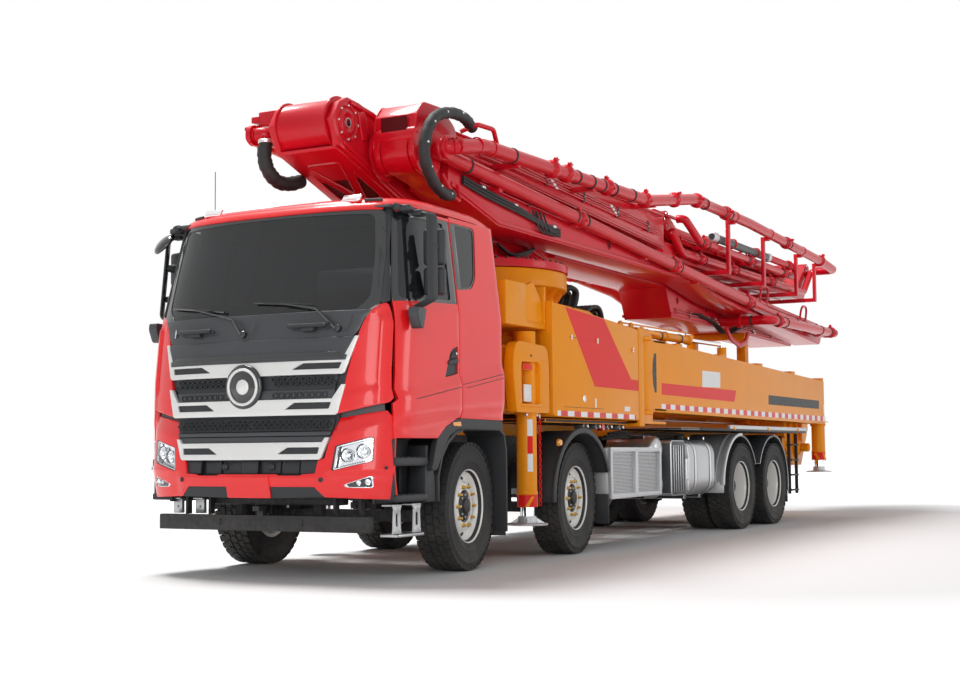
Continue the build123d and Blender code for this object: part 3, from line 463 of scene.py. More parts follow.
class Shape:
    """Mesh parts gathered for one piece. The finish given last dresses the parts added after it."""

    def __init__(self, material="frame_black"):
        self.bm = bmesh.new()
        self.names = [material]
        self.paint = 0

    def use(self, material):
        """Dresses what comes next in this finish."""
        if material not in self.names:
            self.names.append(material)
        self.paint = self.names.index(material)
        return self

    def solid(self, points, faces, bevel=0.0, segments=2, place=None):
        """A closed solid from points and faces."""
        verts = [self.bm.verts.new(place @ Vector(p) if place else p) for p in points]
        made = [self.bm.faces.new([verts[i] for i in face]) for face in faces]
        for face in made:
            face.material_index = self.paint
        bmesh.ops.recalc_face_normals(self.bm, faces=made)
        self.soften(made, bevel, segments)
        return self

    def soften(self, faces, bevel, segments=2):
        """Bevels the sharp edges of the faces."""
        if not bevel:
            return
        edges = once(edge for face in faces for edge in face.edges
                     if len(edge.link_faces) == 2 and edge.calc_face_angle(0) > SHARP)
        bmesh.ops.bevel(self.bm, geom=edges, offset=bevel, segments=segments, profile=0.5,
                        affect="EDGES",
                        clamp_overlap=True)

    def box(self, low, high, bevel=0.0, segments=2, place=None):
        """A box from its low to its high corner."""
        (a, b, c), (d, e, f) = low, high
        points = [(a, b, c), (d, b, c), (d, e, c), (a, e, c), (a, b, f), (d, b, f), (d, e, f), (a, e, f)]
        faces = [(0, 1, 2, 3), (4, 5, 6, 7), (0, 1, 5, 4), (1, 2, 6, 5), (2, 3, 7, 6), (3, 0, 4, 7)]
        return self.solid(points, faces, bevel, segments, place)

    def prism(self, outline, low, high, axis="y", bevel=0.0, segments=2, holes=(), place=None):
        """An outline drawn across an axis, from low to high along it, with holes through it."""
        put = TO_SPACE[axis]
        loops = [list(outline)] + [list(hole) for hole in holes]
        flat = [p for loop in loops for p in loop]
        count = len(flat)
        points = [put(u, v, low) for u, v in flat] + [put(u, v, high) for u, v in flat]
        faces, start = [], 0
        for loop in loops:
            size = len(loop)
            for i in range(size):
                a, b = start + i, start + (i + 1) % size
                faces.append((a, b, b + count, a + count))
            start += size
        if holes:
            caps = tessellate_polygon([[Vector((u, v, 0)) for u, v in loop] for loop in loops])
            faces += [tuple(t) for t in caps] + [tuple(i + count for i in t) for t in caps]
            first = len(self.bm.faces)
            self.solid(points, faces, 0, segments, place)
            self.bm.faces.ensure_lookup_table()
            made = [self.bm.faces[i] for i in range(first, len(self.bm.faces))]
            edges = once(edge for face in made for edge in face.edges)
            bmesh.ops.dissolve_limit(self.bm, angle_limit=0.002, edges=edges,
                                     verts=once(v for face in made for v in face.verts))
            self.bm.faces.ensure_lookup_table()
            made = [self.bm.faces[i] for i in range(first, len(self.bm.faces))]
            self.soften(made, bevel, segments)
            return self
        faces += [tuple(range(count)), tuple(range(count, 2 * count))]
        return self.solid(points, faces, bevel, segments, place)

    def lathe(self, profile, place, sides=24, closed=False, bevel=0.0):
        """A profile of (radius, height) pairs turned about the place's Z."""
        points, rows = [], []
        for radius, height in profile:
            if radius < 1e-6:
                rows.append([len(points)])
                points.append((0, 0, height))
            else:
                rows.append(list(range(len(points), len(points) + sides)))
                points += [(radius * math.cos(2 * math.pi * k / sides),
                            radius * math.sin(2 * math.pi * k / sides),
                            height) for k in range(sides)]
        pairs = list(zip(rows, rows[1:])) + ([(rows[-1], rows[0])] if closed else [])
        faces = []
        for low, high in pairs:
            for k in range(sides):
                n = (k + 1) % sides
                if len(low) > 1 and len(high) > 1:
                    faces.append((low[k], low[n], high[n], high[k]))
                elif len(high) > 1:
                    faces.append((low[0], high[n], high[k]))
                elif len(low) > 1:
                    faces.append((low[k], low[n], high[0]))
        return self.solid(points, faces, bevel, 2, place)

    def bar(self, start, end, radius, sides=20, bevel=0.0, end_radius=None):
        """A round bar, or a cone if the end radius differs."""
        start, end = Vector(start), Vector(end)
        length = (end - start).length
        last = radius if end_radius is None else end_radius
        profile = [(0, 0), (radius, 0), (last, length), (0, length)]
        if bevel:
            profile = [(0, 0), (radius - bevel, 0), (radius - bevel * 0.3, bevel * 0.3), (radius, bevel),
                       (last, length - bevel), (last - bevel * 0.3, length - bevel * 0.3),
                       (last - bevel, length),
                       (0, length)]
        return self.lathe(profile, facing(start, end - start), sides)

    def ring(self, centre, along, outer, inner, width, sides=28, bevel=0.003):
        """A flat ring centred on a point of its axis."""
        h, b = width / 2, bevel
        profile = [(inner, -h), (outer - b, -h), (outer, -h + b), (outer, h - b), (outer - b, h), (inner, h)]
        return self.lathe(profile, facing(centre, along), sides, closed=True)

    def tube(self, route, radius, sides=14, caps=True):
        """A tube along a route; radius is a number or one for each point."""
        route = [Vector(p) for p in route]
        route = [p for i, p in enumerate(route) if i == 0 or (p - route[i - 1]).length > 1e-5]
        count = len(route)
        sizes = radius if isinstance(radius, (list, tuple)) else [radius] * count
        points, side = [], None
        for i, here in enumerate(route):
            along = (route[min(i + 1, count - 1)] - route[max(i - 1, 0)]).normalized()
            if side is None:
                side = along.orthogonal().normalized()
            else:
                side = (side - along * side.dot(along)).normalized()
            other = along.cross(side)
            for k in range(sides):
                turn = 2 * math.pi * k / sides
                points.append(here + (side * math.cos(turn) + other * math.sin(turn)) * sizes[i])
        faces = []
        for i in range(count - 1):
            for k in range(sides):
                n = (k + 1) % sides
                faces.append((i * sides + k, i * sides + n, (i + 1) * sides + n, (i + 1) * sides + k))
        if caps:
            faces += [tuple(range(sides)), tuple(range((count - 1) * sides, count * sides))]
        return self.solid(points, faces)

    def bolt(self, centre, along, size, height, sides=6):
        """A bolt head with a washer under it."""
        place = facing(centre, along)
        self.lathe([(0, 0), (size * 1.25, 0), (size * 1.25, height * 0.2), (0, height * 0.2)], place, 12)
        return self.lathe([(0, height * 0.15), (size, height * 0.15), (size, height * 0.85),
                           (size * 0.8, height),
                           (0, height)], place, sides)

    def take(self, mesh):
        """Adds a ready mesh in the finish in use."""
        first = len(self.bm.faces)
        self.bm.from_mesh(mesh)
        self.bm.faces.ensure_lookup_table()
        for i in range(first, len(self.bm.faces)):
            self.bm.faces[i].material_index = self.paint
        bpy.data.meshes.remove(mesh)
        return self

    def cad(self, node, bevel=0.005, segments=2, keep=None):
        """Adds a merged, bevelled copy of a CAD node; keep, if given, tells which vertices stay, by their place."""
        part = bmesh.new()
        part.from_mesh(NODES[node].data)
        bmesh.ops.remove_doubles(part, verts=part.verts, dist=0.0001)
        bmesh.ops.dissolve_limit(part, angle_limit=math.radians(0.6), verts=part.verts, edges=part.edges)
        edges = [e for e in part.edges if len(e.link_faces) == 2 and e.calc_face_angle(0) > SHARP]
        if bevel:
            bmesh.ops.bevel(part, geom=edges, offset=bevel, segments=segments, profile=0.5, affect="EDGES",
                            clamp_overlap=True)
        if keep:
            drop = [v for v in part.verts if not keep(v.co)]
            bmesh.ops.delete(part, geom=drop, context="VERTS")
        mesh = bpy.data.meshes.new("copy")
        part.to_mesh(mesh)
        part.free()
        mesh.materials.clear()
        return self.take(mesh)

    def piece(self, name, body, replaces=(), smooth=35, weld=False):
        """Makes the object, lays it on its body and hides the CAD nodes it stands for."""
        if weld:
            bmesh.ops.remove_doubles(self.bm, verts=self.bm.verts, dist=0.0002)
        mesh = bpy.data.meshes.new(name)
        self.bm.to_mesh(mesh)
        self.bm.free()
        for label in self.names:
            mesh.materials.append(FINISH[label])
        mesh.shade_smooth()
        mesh.set_sharp_from_angle(angle=math.radians(smooth))
        obj = bpy.data.objects.new(name, mesh)
        bpy.context.scene.collection.objects.link(obj)
        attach(obj, body)
        if replaces:
            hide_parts(*replaces)
        return obj


def on_side(outline, side):
    """The outline with its first coordinate mirrored for the right side."""
    return [(side * u, v) for u, v in outline]


# ------------------------------------------------------------------ the cab's skin
NOSE_Z = ((0.50, 6.90), (0.64, 6.93), (0.80, 6.965), (0.94, 6.951), (1.28, 6.922), (1.60, 6.913),
          (1.90, 6.878),
          (2.10, 6.85), (2.93, 6.66), (3.05, 6.56))  # (height, how far forward the skin's middle stands)
CAB_REAR = 5.0
ROUND = 0.5  # depth of the round front corners
SILL_Z, WAIST_Y, ROOF_Z, ROOF_Y = 2.13, 1.24, 3.05, 1.13


def nose_x(z):
    """The skin's foremost line at a height."""
    for (z0, x0), (z1, x1) in zip(NOSE_Z, NOSE_Z[1:]):
        if z <= z1:
            return x0 + (x1 - x0) * (z - z0) / (z1 - z0)
    return NOSE_Z[-1][1]


def half_y(z):
    """The cab's half width at a height: the sides lean in above the sill."""
    return WAIST_Y - max(0.0, z - SILL_Z) * (WAIST_Y - ROOF_Y) / (ROOF_Z - SILL_Z)


def front_x(y, z):
    """Where the round front stands at y, z."""
    share = min(1.0, abs(y) / half_y(z))
    return nose_x(z) - ROUND * (1 - (1 - share ** 3) ** (1 / 3))


def side_y(x, z):
    """Where the side stands at x, z."""
    share = min(1.0, max(0.0, (x - nose_x(z) + ROUND) / ROUND))
    return half_y(z) * (1 - share ** 3) ** (1 / 3)


def on_front(y, z, lift=0.0):
    """A point on the front, lifted along x."""
    return Vector((front_x(y, z) + lift, y, z))


def on_flank(side):
    """The map from (x, z) to one side of the cab."""
    return lambda x, z, lift=0.0: Vector((x, side * (side_y(x, z) + lift), z))


def drape(shape, where, outline, holes=(), wall=0.02, grid=0.05, lift=None, edge=0.004, creases=()):
    """A panel cut to the outline, laid on the skin and given its wall inwards.

    where maps (u, v, lift) to space, lift(u, v) raises the panel, and creases are lines it folds on.
    """
    flat = bmesh.new()
    flat.faces.new([flat.verts.new((u, v, 0)) for u, v in outline])

    def cut(origin, across, faces=None):
        picked = faces if faces is not None else list(flat.faces)
        geom = once(e for f in picked for e in f.edges) + picked + once(v for f in picked for v in f.verts)
        bmesh.ops.bisect_plane(flat, geom=geom, plane_co=origin, plane_no=across, dist=1e-5)

    for axis in (0, 1):
        low, high = min(p[axis] for p in outline), max(p[axis] for p in outline)
        for step in range(math.floor(low / grid) + 1, math.ceil(high / grid)):
            origin, across = [0, 0, 0], [0, 0, 0]
            origin[axis], across[axis] = step * grid, 1
            cut(origin, across)
    for (u0, v0), (u1, v1) in creases:
        cut((u0, v0, 0), (v1 - v0, u0 - u1, 0))
    for hole in holes:
        low = [min(p[a] for p in hole) - 1e-4 for a in (0, 1)]
        high = [max(p[a] for p in hole) + 1e-4 for a in (0, 1)]

        def near(face):
            return (max(v.co.x for v in face.verts) > low[0] and min(v.co.x for v in face.verts) < high[0]
                    and max(v.co.y for v in face.verts) > low[1] and min(v.co.y for v in face.verts) < high[1])

        for (u0, v0), (u1, v1) in zip(hole, list(hole[1:]) + [hole[0]]):
            cut((u0, v0, 0), (v1 - v0, u0 - u1, 0), [f for f in flat.faces if near(f)])
        triangles = tessellate_polygon([[Vector((u, v, 0)) for u, v in hole]])
        corners = [Vector(p) for p in hole]
        inside = [f for f in flat.faces if near(f) and any(
            intersect_point_tri_2d(f.calc_center_median().xy, *(corners[i] for i in t)) for t in triangles)]
        bmesh.ops.delete(flat, geom=inside, context="FACES")
    bmesh.ops.remove_doubles(flat, verts=flat.verts, dist=1e-4)
    normals, step = {}, 0.004
    for vert in flat.verts:
        u, v = vert.co.x, vert.co.y
        raised = lift(u, v) if lift else 0.0
        here = where(u, v, raised)
        across = (where(u + step, v) - where(u - step, v)).cross(where(u, v + step) - where(u, v - step))
        normals[vert] = (here, across.normalized())
    outward = 1 if sum(n.x + 0.001 * abs(n.y) * (1 if h.y * n.y > 0 else -1) + (n.y * h.y)
                       for h, n in normals.values()) > 0 else -1
    for vert, (here, normal) in normals.items():
        vert.co = here
    tops = list(flat.faces)
    made = bmesh.ops.extrude_face_region(flat, geom=tops, use_keep_orig=True)
    under = [g for g in made["geom"] if isinstance(g, bmesh.types.BMVert)]
    at = {}
    for vert, (here, normal) in normals.items():
        at[tuple(round(c, 6) for c in here)] = normal * outward
    for vert in under:
        vert.co -= at[tuple(round(c, 6) for c in vert.co)] * wall
    bmesh.ops.recalc_face_normals(flat, faces=flat.faces)
    if edge:
        rim = [e for e in flat.edges if len(e.link_faces) == 2 and e.calc_face_angle(0) > math.radians(55)]
        bmesh.ops.bevel(flat, geom=rim, offset=edge, segments=2, profile=0.5, affect="EDGES",
                        clamp_overlap=True)
    mesh = bpy.data.meshes.new("panel")
    flat.to_mesh(mesh)
    flat.free()
    return shape.take(mesh)


def plan_ring(z, inset, rear, steps=14):
    """The cab's plan at a height, moved in by an inset, as a closed ring from rear right round the nose."""
    nose, half = nose_x(z) - inset, half_y(z) - inset
    quarter = []
    for k in range(steps + 1):
        turn = math.pi / 2 * k / steps
        quarter.append((nose - ROUND + ROUND * math.cos(turn) ** (2 / 3), half * math.sin(turn) ** (2 / 3)))
    sides = [(rear + inset + (nose - ROUND - rear - inset) * t, half) for t in (0.75, 0.5, 0.25, 0.08, 0.0)]
    left = quarter + sides + [(rear + inset, half * 0.9), (rear + inset, half * 0.45)]
    return [(x, -y) for x, y in reversed(left[1:])] + left


def roof_height(x, edge):
    """The roof's crown: it falls towards the windscreen and a little to the rear."""
    return edge - 0.055 * max(0.0, (5.35 - x) / 0.35) ** 1.5 - 0.02 * max(0.0, (x - 6.0) / 0.6)


def make_roof():
    """The red roof pressing, its lip over the windscreen, marker lamps, corner strips and aerial."""
    shape = Shape("cab_red")
    rings = []
    for inset, z in ((0.0, 2.955), (0.002, 2.985), (0.014, 3.01), (0.04, 3.03), (0.09, 3.045), (0.20, 3.055),
                     (0.45, 3.062)):
        rings.append([(x, y, roof_height(x, z)) for x, y in plan_ring(min(z, 2.99), inset, CAB_REAR)])
    size = len(rings[0])
    points = [p for ring in rings for p in ring]
    faces = [tuple(range(size)), tuple(range(len(points) - size, len(points)))]
    for row in range(len(rings) - 1):
        for k in range(size):
            n = (k + 1) % size
            faces.append((row * size + k, row * size + n, (row + 1) * size + n, (row + 1) * size + k))
    shape.solid(points, faces)
    shape.box((5.25, -0.62, 3.04), (6.02, 0.62, 3.078), 0.018, 3)
    for y in (-0.34, 0.0, 0.34):
        shape.box((5.3, y - 0.05, 3.07), (5.98, y + 0.05, 3.092), 0.012)
    drape(shape, on_front, [(-1.0, 2.915), (1.0, 2.915), (0.99, 2.972), (-0.99, 2.972)], wall=0.03,
          lift=lambda y, z: 0.014, edge=0.008)
    shape.use("gloss_black")
    shape.box((5.42, -0.40, 3.076), (5.86, -0.08, 3.098), 0.01)
    shape.piece("cab_roof", "root", smooth=50)
    lamps = Shape("lamp_silver")
    for side in (1, -1):
        x = front_x(0.7, 2.98) - 0.05
        place = Matrix.Translation((x + 0.005, side * 0.70,
                                    3.018)) @ Matrix.Rotation(math.radians(52), 4, "Y")
        lamps.use("plate_white").box((-0.045, -0.085, -0.012), (0.03, 0.085, 0.012), 0.008, 3, place)
        lamps.use("lamp_silver").box((-0.03, -0.07, 0.006), (0.018, 0.07, 0.017), 0.004, 2, place)
        lamps.use("trim_black")
        edge = [p for p in plan_ring(2.99, 0.022, CAB_REAR, 28) if p[0] > 6.30 and 0.80 < side * p[1] < 0.955]
        lamps.tube([(x, y, roof_height(x, 3.018)) for x, y in edge], 0.015, 10)
    lamps.use("frame_black").bar((6.2, -0.95, 3.04), (6.2, -0.95, 3.10), 0.02)
    lamps.bar((6.2, -0.95, 3.09), (6.2, -0.95, 3.46), 0.0035, 8)
    lamps.piece("roof_lamps_and_strips", "root")


def body_fold(x, z):
    """Relief of the cab's flank: a ridge that rises to the rear and a softer one under it."""
    ridge = 1.479 + (6.69 - x) * 0.163
    low = 1.385 + (6.69 - x) * 0.165
    lift = 0.0
    if z < ridge:
        lift += 0.026 * min(1.0, (ridge - z) / max(ridge - low, 0.01))
    soft = 1.20 + 0.10 * max(0.0, 6.69 - x) ** 0.8
    lift -= 0.020 * min(1.0, max(0.0, (soft + 0.06 - z) / 0.09))
    return min(lift, 0.006 + 0.02 * (z < 2.0)) * min(1.0, max(0.0, (6.72 - x) / 0.10 + 0.4))


def ridge_lines():
    """The folds of the flank, as lines to crease on."""
    return [((6.69, 1.479), (5.0, 1.754)), ((6.69, 1.385), (5.0, 1.664))]


DOOR_EDGE = [(5.754, 1.275), (5.80, 1.268), (5.984, 1.20), (6.117, 1.105), (6.686, 1.105), (6.692, 1.37),
             (6.655, 1.41), (6.668, 1.48), (6.632, 2.013), (6.631, 2.16), (6.5525, 2.545), (6.472, 2.928),
             (5.754, 2.928)]
DOOR_GLASS = [(5.86, 2.235), (6.585, 2.19), (6.452, 2.862), (5.86, 2.872)]
DOOR_BLACK = [(5.7545, 2.21), (6.6305, 2.168), (6.618, 2.24), (6.4785, 2.902), (5.7545, 2.905)]
QUARTER_EDGE = [(5.385, 2.47), (5.475, 2.362), (5.742, 2.332), (5.742, 2.905), (5.31, 2.905)]
QUARTER_PANE = [(5.405, 2.475), (5.485, 2.382), (5.655, 2.352), (5.655, 2.885), (5.333, 2.885)]
REAR_PANEL = [(5.0, 1.262), (5.744, 1.270), (5.744, 2.945), (5.0, 2.945)]
HANDLE = [(5.772, 1.862), (5.86, 1.835), (5.90, 1.80), (5.985, 1.595), (5.772, 1.635)]


def make_flank(side_name, side):
    """One side of the cab: the rear panel with its quarter window, and the door with its window and handle."""
    where = on_flank(side)
    quarter = rounded(QUARTER_EDGE, [0.05, 0.05, 0.01, 0.01, 0.06])
    shape = Shape("cab_red")
    drape(shape, where, REAR_PANEL, [quarter], 0.045, lift=body_fold, creases=ridge_lines())
    shape.use("gloss_black")
    pane = rounded(QUARTER_PANE, [0.05, 0.05, 0.01, 0.01, 0.06])
    drape(shape, where, [(u, v) for u, v in rounded(QUARTER_EDGE, [0.045, 0.045, 0.01, 0.01, 0.055])], [pane],
          0.02, lift=lambda x, z: -0.006, edge=0.002)
    shape.use("frame_black")
    groove = [((5.735, 1.545), (5.01, 1.664)), ((5.68, 1.520), (5.01, 1.630))]
    for (x0, z0), (x1, z1) in groove:
        shape.tube([where(x, z0 + (z1 - z0) * (x0 - x) / (x0 - x1), body_fold(x, z0) - 0.001)
                    for x in (x0, (x0 + x1) / 2, x1)], 0.0032, 6)
    shape.piece(f"cab_side_{side_name}", "root", smooth=50)
    glass_shape = Shape("side_glass")
    drape(glass_shape, where, pane, wall=0.005, lift=lambda x, z: -0.012, edge=0)
    glass_shape.piece(f"quarter_glass_{side_name}", "root")

    body = f"{side_name}_door"
    door = Shape("cab_red")
    hole = rounded(DOOR_BLACK, [0.02, 0.02, 0.02, 0.03, 0.03])
    handle = rounded(HANDLE, [0.01, 0.03, 0.03, 0.03, 0.015])
    drape(door, where, DOOR_EDGE, [hole, handle], 0.05, lift=body_fold, creases=ridge_lines())
    door.use("frame_black")
    x0, z0, x1, z1 = 6.69, 1.372, 5.76, 1.526
    door.tube([where(x0 + (x1 - x0) * t, z0 + (z1 - z0) * t,
                     body_fold(x0 + (x1 - x0) * t, z0 + (z1 - z0) * t))
               for t in (0.0, 0.25, 0.5, 0.75, 1.0)], 0.0035, 6)
    door.piece(f"door_skin_{side_name}", body, replaces=(f"{side_name}_door",), smooth=50)

    trim = Shape("gloss_black")
    inner = rounded(DOOR_GLASS, [0.03, 0.05, 0.04, 0.03])
    drape(trim, where, rounded(DOOR_BLACK, [0.02, 0.02, 0.02, 0.03, 0.03]), [inner], 0.03,
          lift=lambda x, z: -0.003, edge=0.002)
    drape(trim, where, [(6.631, 2.165), (6.5525, 2.545), (6.473, 2.924), (6.455, 2.90), (6.535, 2.53),
                        (6.608, 2.168)],
          wall=0.008, lift=lambda x, z: 0.003, edge=0.002)
    trim.use("trim_black")
    drape(trim, where, handle, wall=0.04, lift=lambda x, z: body_fold(x, z) - 0.012, edge=0.002)
    drape(trim, where, rounded([(5.782, 1.72), (5.782, 1.76), (5.93, 1.735), (5.94, 1.705)], 0.012),
          wall=0.012,
          lift=lambda x, z: body_fold(x, z) + 0.012, edge=0.003)
    drape(trim, where, rounded([(5.782, 1.765), (5.782, 1.83), (5.85, 1.805), (5.89, 1.755)], 0.02),
          wall=0.004,
          lift=lambda x, z: body_fold(x, z) - 0.004, edge=0.001)
    trim.use("steel")
    trim.bolt(where(5.80, 1.80, 0.003), (0, side, 0), 0.009, 0.006, 12)
    trim.use("cabin_grey")
    drape(trim, where, [(5.80, 1.35), (6.10, 1.18), (6.62, 1.18), (6.60, 2.12), (5.80, 2.18)], wall=0.012,
          lift=lambda x, z: -0.052, edge=0.004)
    drape(trim, where, rounded([(5.86, 1.62), (6.50, 1.58), (6.50, 1.72), (5.86, 1.76)], 0.03), wall=0.05,
          lift=lambda x, z: -0.062, edge=0.01)
    trim.piece(f"door_trim_{side_name}", body)
    pane = Shape("side_glass")
    drape(pane, where, inner, wall=0.005, lift=lambda x, z: -0.014, edge=0)
    pane.piece(f"door_glass_{side_name}", body)


def make_arch_trim(side_name, side):
    """Black trim round the front wheel opening, with an amber side lamp."""
    where = on_flank(side)
    shape = Shape("trim_black")
    outer = [(6.117, 1.098), (5.984, 1.193), (5.80, 1.262), (5.70, 1.268), (5.0, 1.258), (5.0, 1.175),
             (5.70, 1.185),
             (5.80, 1.175), (5.93, 1.12), (6.03, 1.0), (6.125, 0.85), (6.21, 0.85)]
    drape(shape, where, rounded(outer, 0.03), wall=0.05, lift=lambda x, z: 0.004, edge=0.006)
    shape.use("lamp_amber")
    drape(shape, where, rounded([(5.735, 1.205), (5.86, 1.205), (5.875, 1.235), (5.75, 1.243)], 0.01),
          wall=0.02,
          lift=lambda x, z: 0.012, edge=0.004)
    shape.piece(f"arch_trim_{side_name}", "root", smooth=50)


CORNER_EDGE = [(1.122, 2.158), (1.174, 2.010), (1.180, 1.485), (1.192, 1.413), (1.172, 1.377), (0.785, 1.292),
               (0.825, 1.40), (0.888, 1.688), (0.945, 1.945), (0.985, 2.045), (1.05, 2.132)]


def corner_fold(y, z):
    """Relief of the corner panel: a raised rear band, a long dip, and a lip along the bottom."""
    y = abs(y)
    lip = 1.292 + (y - 0.785) * 0.222
    lift = 0.026 if y > 1.105 else 0.026 * max(0.0, (y - 1.085) / 0.02)
    if z > 2.03:
        lift *= max(0.0, 1 - (z - 2.03) / 0.05)
    return max(lift, 0.016 * min(1.0, max(0.0, (lip + 0.16 - z) / 0.04)))


def make_corner(side_name, side):
    """The red corner panel between the grille and the door, with a raised band along its outer edge."""
    shape = Shape("cab_red")
    drape(shape, on_front, on_side(rounded(CORNER_EDGE, [0.03, 0.04, 0.01, 0.01, 0.02, 0.02, 0, 0, 0.05, 0.05,
                                                         0.04]),
                                   side), wall=0.03, lift=corner_fold, grid=0.035,
          creases=[((side * 1.105, 1.3), (side * 1.105, 2.1)), ((side * 1.085, 1.3), (side * 1.085, 2.1))])
    shape.piece(f"corner_panel_{side_name}", "root", smooth=50)


def make_windscreen():
    """Windscreen with its black band and pillars."""
    glass_edge = rounded([(-1.0, 2.20), (-0.90, 2.09), (0.0, 2.05), (0.90, 2.09), (1.0, 2.20), (0.985, 2.58),
                          (0.94, 2.875), (0.0, 2.892), (-0.94, 2.875), (-0.985, 2.58)],
                         [0.06, 0.12, 0.5, 0.12, 0.06, 0.1, 0.05, 0.4, 0.05, 0.1])
    frame_edge = [(-1.075, 2.12), (-1.03, 2.11), (-0.985, 2.04), (0.985, 2.04), (1.03, 2.11), (1.075, 2.12),
                  (1.055, 2.55), (1.008, 2.925), (-1.008, 2.925), (-1.055, 2.55)]
    frame_shape = Shape("gloss_black")
    drape(frame_shape, on_front, frame_edge, [glass_edge], 0.03, edge=0.003)
    frame_shape.use("trim_black")
    for side in (1, -1):
        pillar = [(side * 1.02, 2.95), (side * 1.068, 2.55), (side * 1.085, 2.145), (side * 1.125, 2.165),
                  (side * 1.112, 2.20), (side * 1.08, 2.56), (side * 1.052, 2.95)]
        drape(frame_shape, on_front, pillar, wall=0.03, lift=lambda y, z: 0.010, edge=0.006)
        where = on_flank(side)
        post = [(6.482, 2.935), (6.640, 2.168), (6.70, 2.16), (6.61, 2.55), (6.54, 2.935)]
        drape(frame_shape, where, post, wall=0.03, lift=lambda x, z: 0.0, edge=0.004)
    frame_shape.piece("windscreen_frame", "root")
    pane = Shape("window_glass")
    drape(pane, on_front, glass_edge, wall=0.006, lift=lambda y, z: -0.006, edge=0, grid=0.08)
    pane.piece("windscreen", "root", replaces=("cab_glazing",))


def make_front_panels():
    """The dark panel under the windscreen, the sloped panel below it and the grille's dark back."""
    shape = Shape("panel_grey")
    drape(shape, on_front, [(-1.025, 2.10), (-0.98, 2.035), (-0.94, 1.94), (-0.84, 1.815), (0.84, 1.815),
                            (0.94, 1.94),
                            (0.98, 2.035), (1.025, 2.10)], wall=0.03, lift=lambda y, z: 0.004, edge=0.006)
    drape(shape, on_front, [(-0.92, 1.892), (-0.865, 1.71), (0.865, 1.71), (0.92, 1.892)], wall=0.05,
          lift=lambda y, z: 0.018 if z > 1.78 else 0.018 + 0.012 * (1.78 - z) / 0.07, edge=0.010,
          creases=[((-1, 1.78), (1, 1.78))])
    shape.use("gloss_black")
    drape(shape, on_front, rounded([(-0.80, 1.775), (-0.84, 1.725), (0.84, 1.725), (0.80, 1.775)], 0.012),
          wall=0.01,
          lift=lambda y, z: 0.032, edge=0.003)
    shape.use("trim_black")
    drape(shape, on_front, [(-0.885, 1.715), (-0.80, 1.275), (0.80, 1.275), (0.885, 1.715)], wall=0.02,
          lift=lambda y, z: -0.022, edge=0)
    drape(shape, on_front, rounded([(-0.80, 1.60), (-0.75, 1.405), (0.75, 1.405), (0.80, 1.60)], 0.02),
          wall=0.02,
          lift=lambda y, z: -0.006, edge=0.006)
    shape.use("panel_grey")
    drape(shape, on_front, rounded([(-0.78, 1.487), (-0.755, 1.412), (0.755, 1.412), (0.78, 1.487)], 0.012),
          wall=0.02, lift=lambda y, z: 0.006, edge=0.005)
    shape.piece("front_panels", "root", replaces=("front_mask",), smooth=50)


def chevron(levels, tips, windows):
    """Outline and two windows of a silver grille bar: (top, shoulder, bottom) heights, tips' and windows' y."""
    tip_z, top_z, low_z = levels
    tip_out, tip_in, end_out, end_in = tips
    outline = [(-tip_out, tip_z), (-end_out, low_z + 0.015), (-end_out + 0.02, low_z),
               (end_out - 0.02, low_z),
               (end_out, low_z + 0.015), (tip_out, tip_z), (tip_in, tip_z), (end_in, top_z), (-end_in, top_z),
               (-tip_in, tip_z)]
    inner_top, inner_low, outer_top, outer_low, z_top, z_low = windows
    holes = [rounded([(s * inner_top, z_top), (s * inner_low, z_low), (s * outer_low, z_low),
                      (s * outer_top, z_top)],
                     0.008, 2) for s in (1, -1)]
    return outline, holes


CHEVRONS = (  # (tip z, top z, low z), (tip out, tip in, end out, end in), windows: inner, outer y and z
    ((1.895, 1.713, 1.602), (0.952, 0.925, 0.862, 0.835), (0.50, 0.40, 0.835, 0.815, 1.692, 1.642)),
    ((1.520, 1.412, 1.288), (0.868, 0.838, 0.812, 0.762), (0.43, 0.345, 0.758, 0.738, 1.386, 1.334)),
    ((1.113, 1.078, 0.945), (0.748, 0.715, 0.690, 0.690), (0.385, 0.295, 0.672, 0.660, 1.040, 0.988)),
)


def make_grille():
    """Three silver bars, honeycomb inserts and the plain round plate in the middle."""
    bars = Shape("trim_silver")
    backs = Shape("trim_black")
    for levels, tips, windows in CHEVRONS:
        outline, holes = chevron(levels, tips, windows)
        drape(bars, on_front, outline, holes, 0.028, lift=lambda y, z: 0.023, edge=0.004, grid=0.06)
        for hole in holes:
            drape(backs, on_front, hole, wall=0.004, lift=lambda y, z: 0.010, edge=0)
    bars.piece("grille_bars", "root", smooth=40)
    honeycomb(backs, 0.20, 0.765, 1.515, 1.590, 2)
    honeycomb(backs, 0.20, 0.74, 1.420, 1.470, 1)
    backs.piece("grille_mesh", "root")
    disc = Shape("gloss_black")
    place = facing((front_x(0.0, 1.52) + 0.008, -0.05, 1.52), (1, 0, -0.03))
    disc.lathe([(0, 0), (0.178, 0), (0.178, 0.022), (0.165, 0.034), (0.0, 0.036)], place, 56)
    disc.use("trim_silver")
    disc.lathe([(0.150, 0.030), (0.150, 0.040), (0.145, 0.045), (0.132, 0.045), (0.127, 0.040),
                (0.127, 0.030)],
               place, 56, closed=True)
    disc.lathe([(0, 0.03), (0.06, 0.03), (0.06, 0.038), (0.052, 0.044), (0, 0.046)], place, 40)
    disc.piece("grille_round_plate", "root", smooth=50)


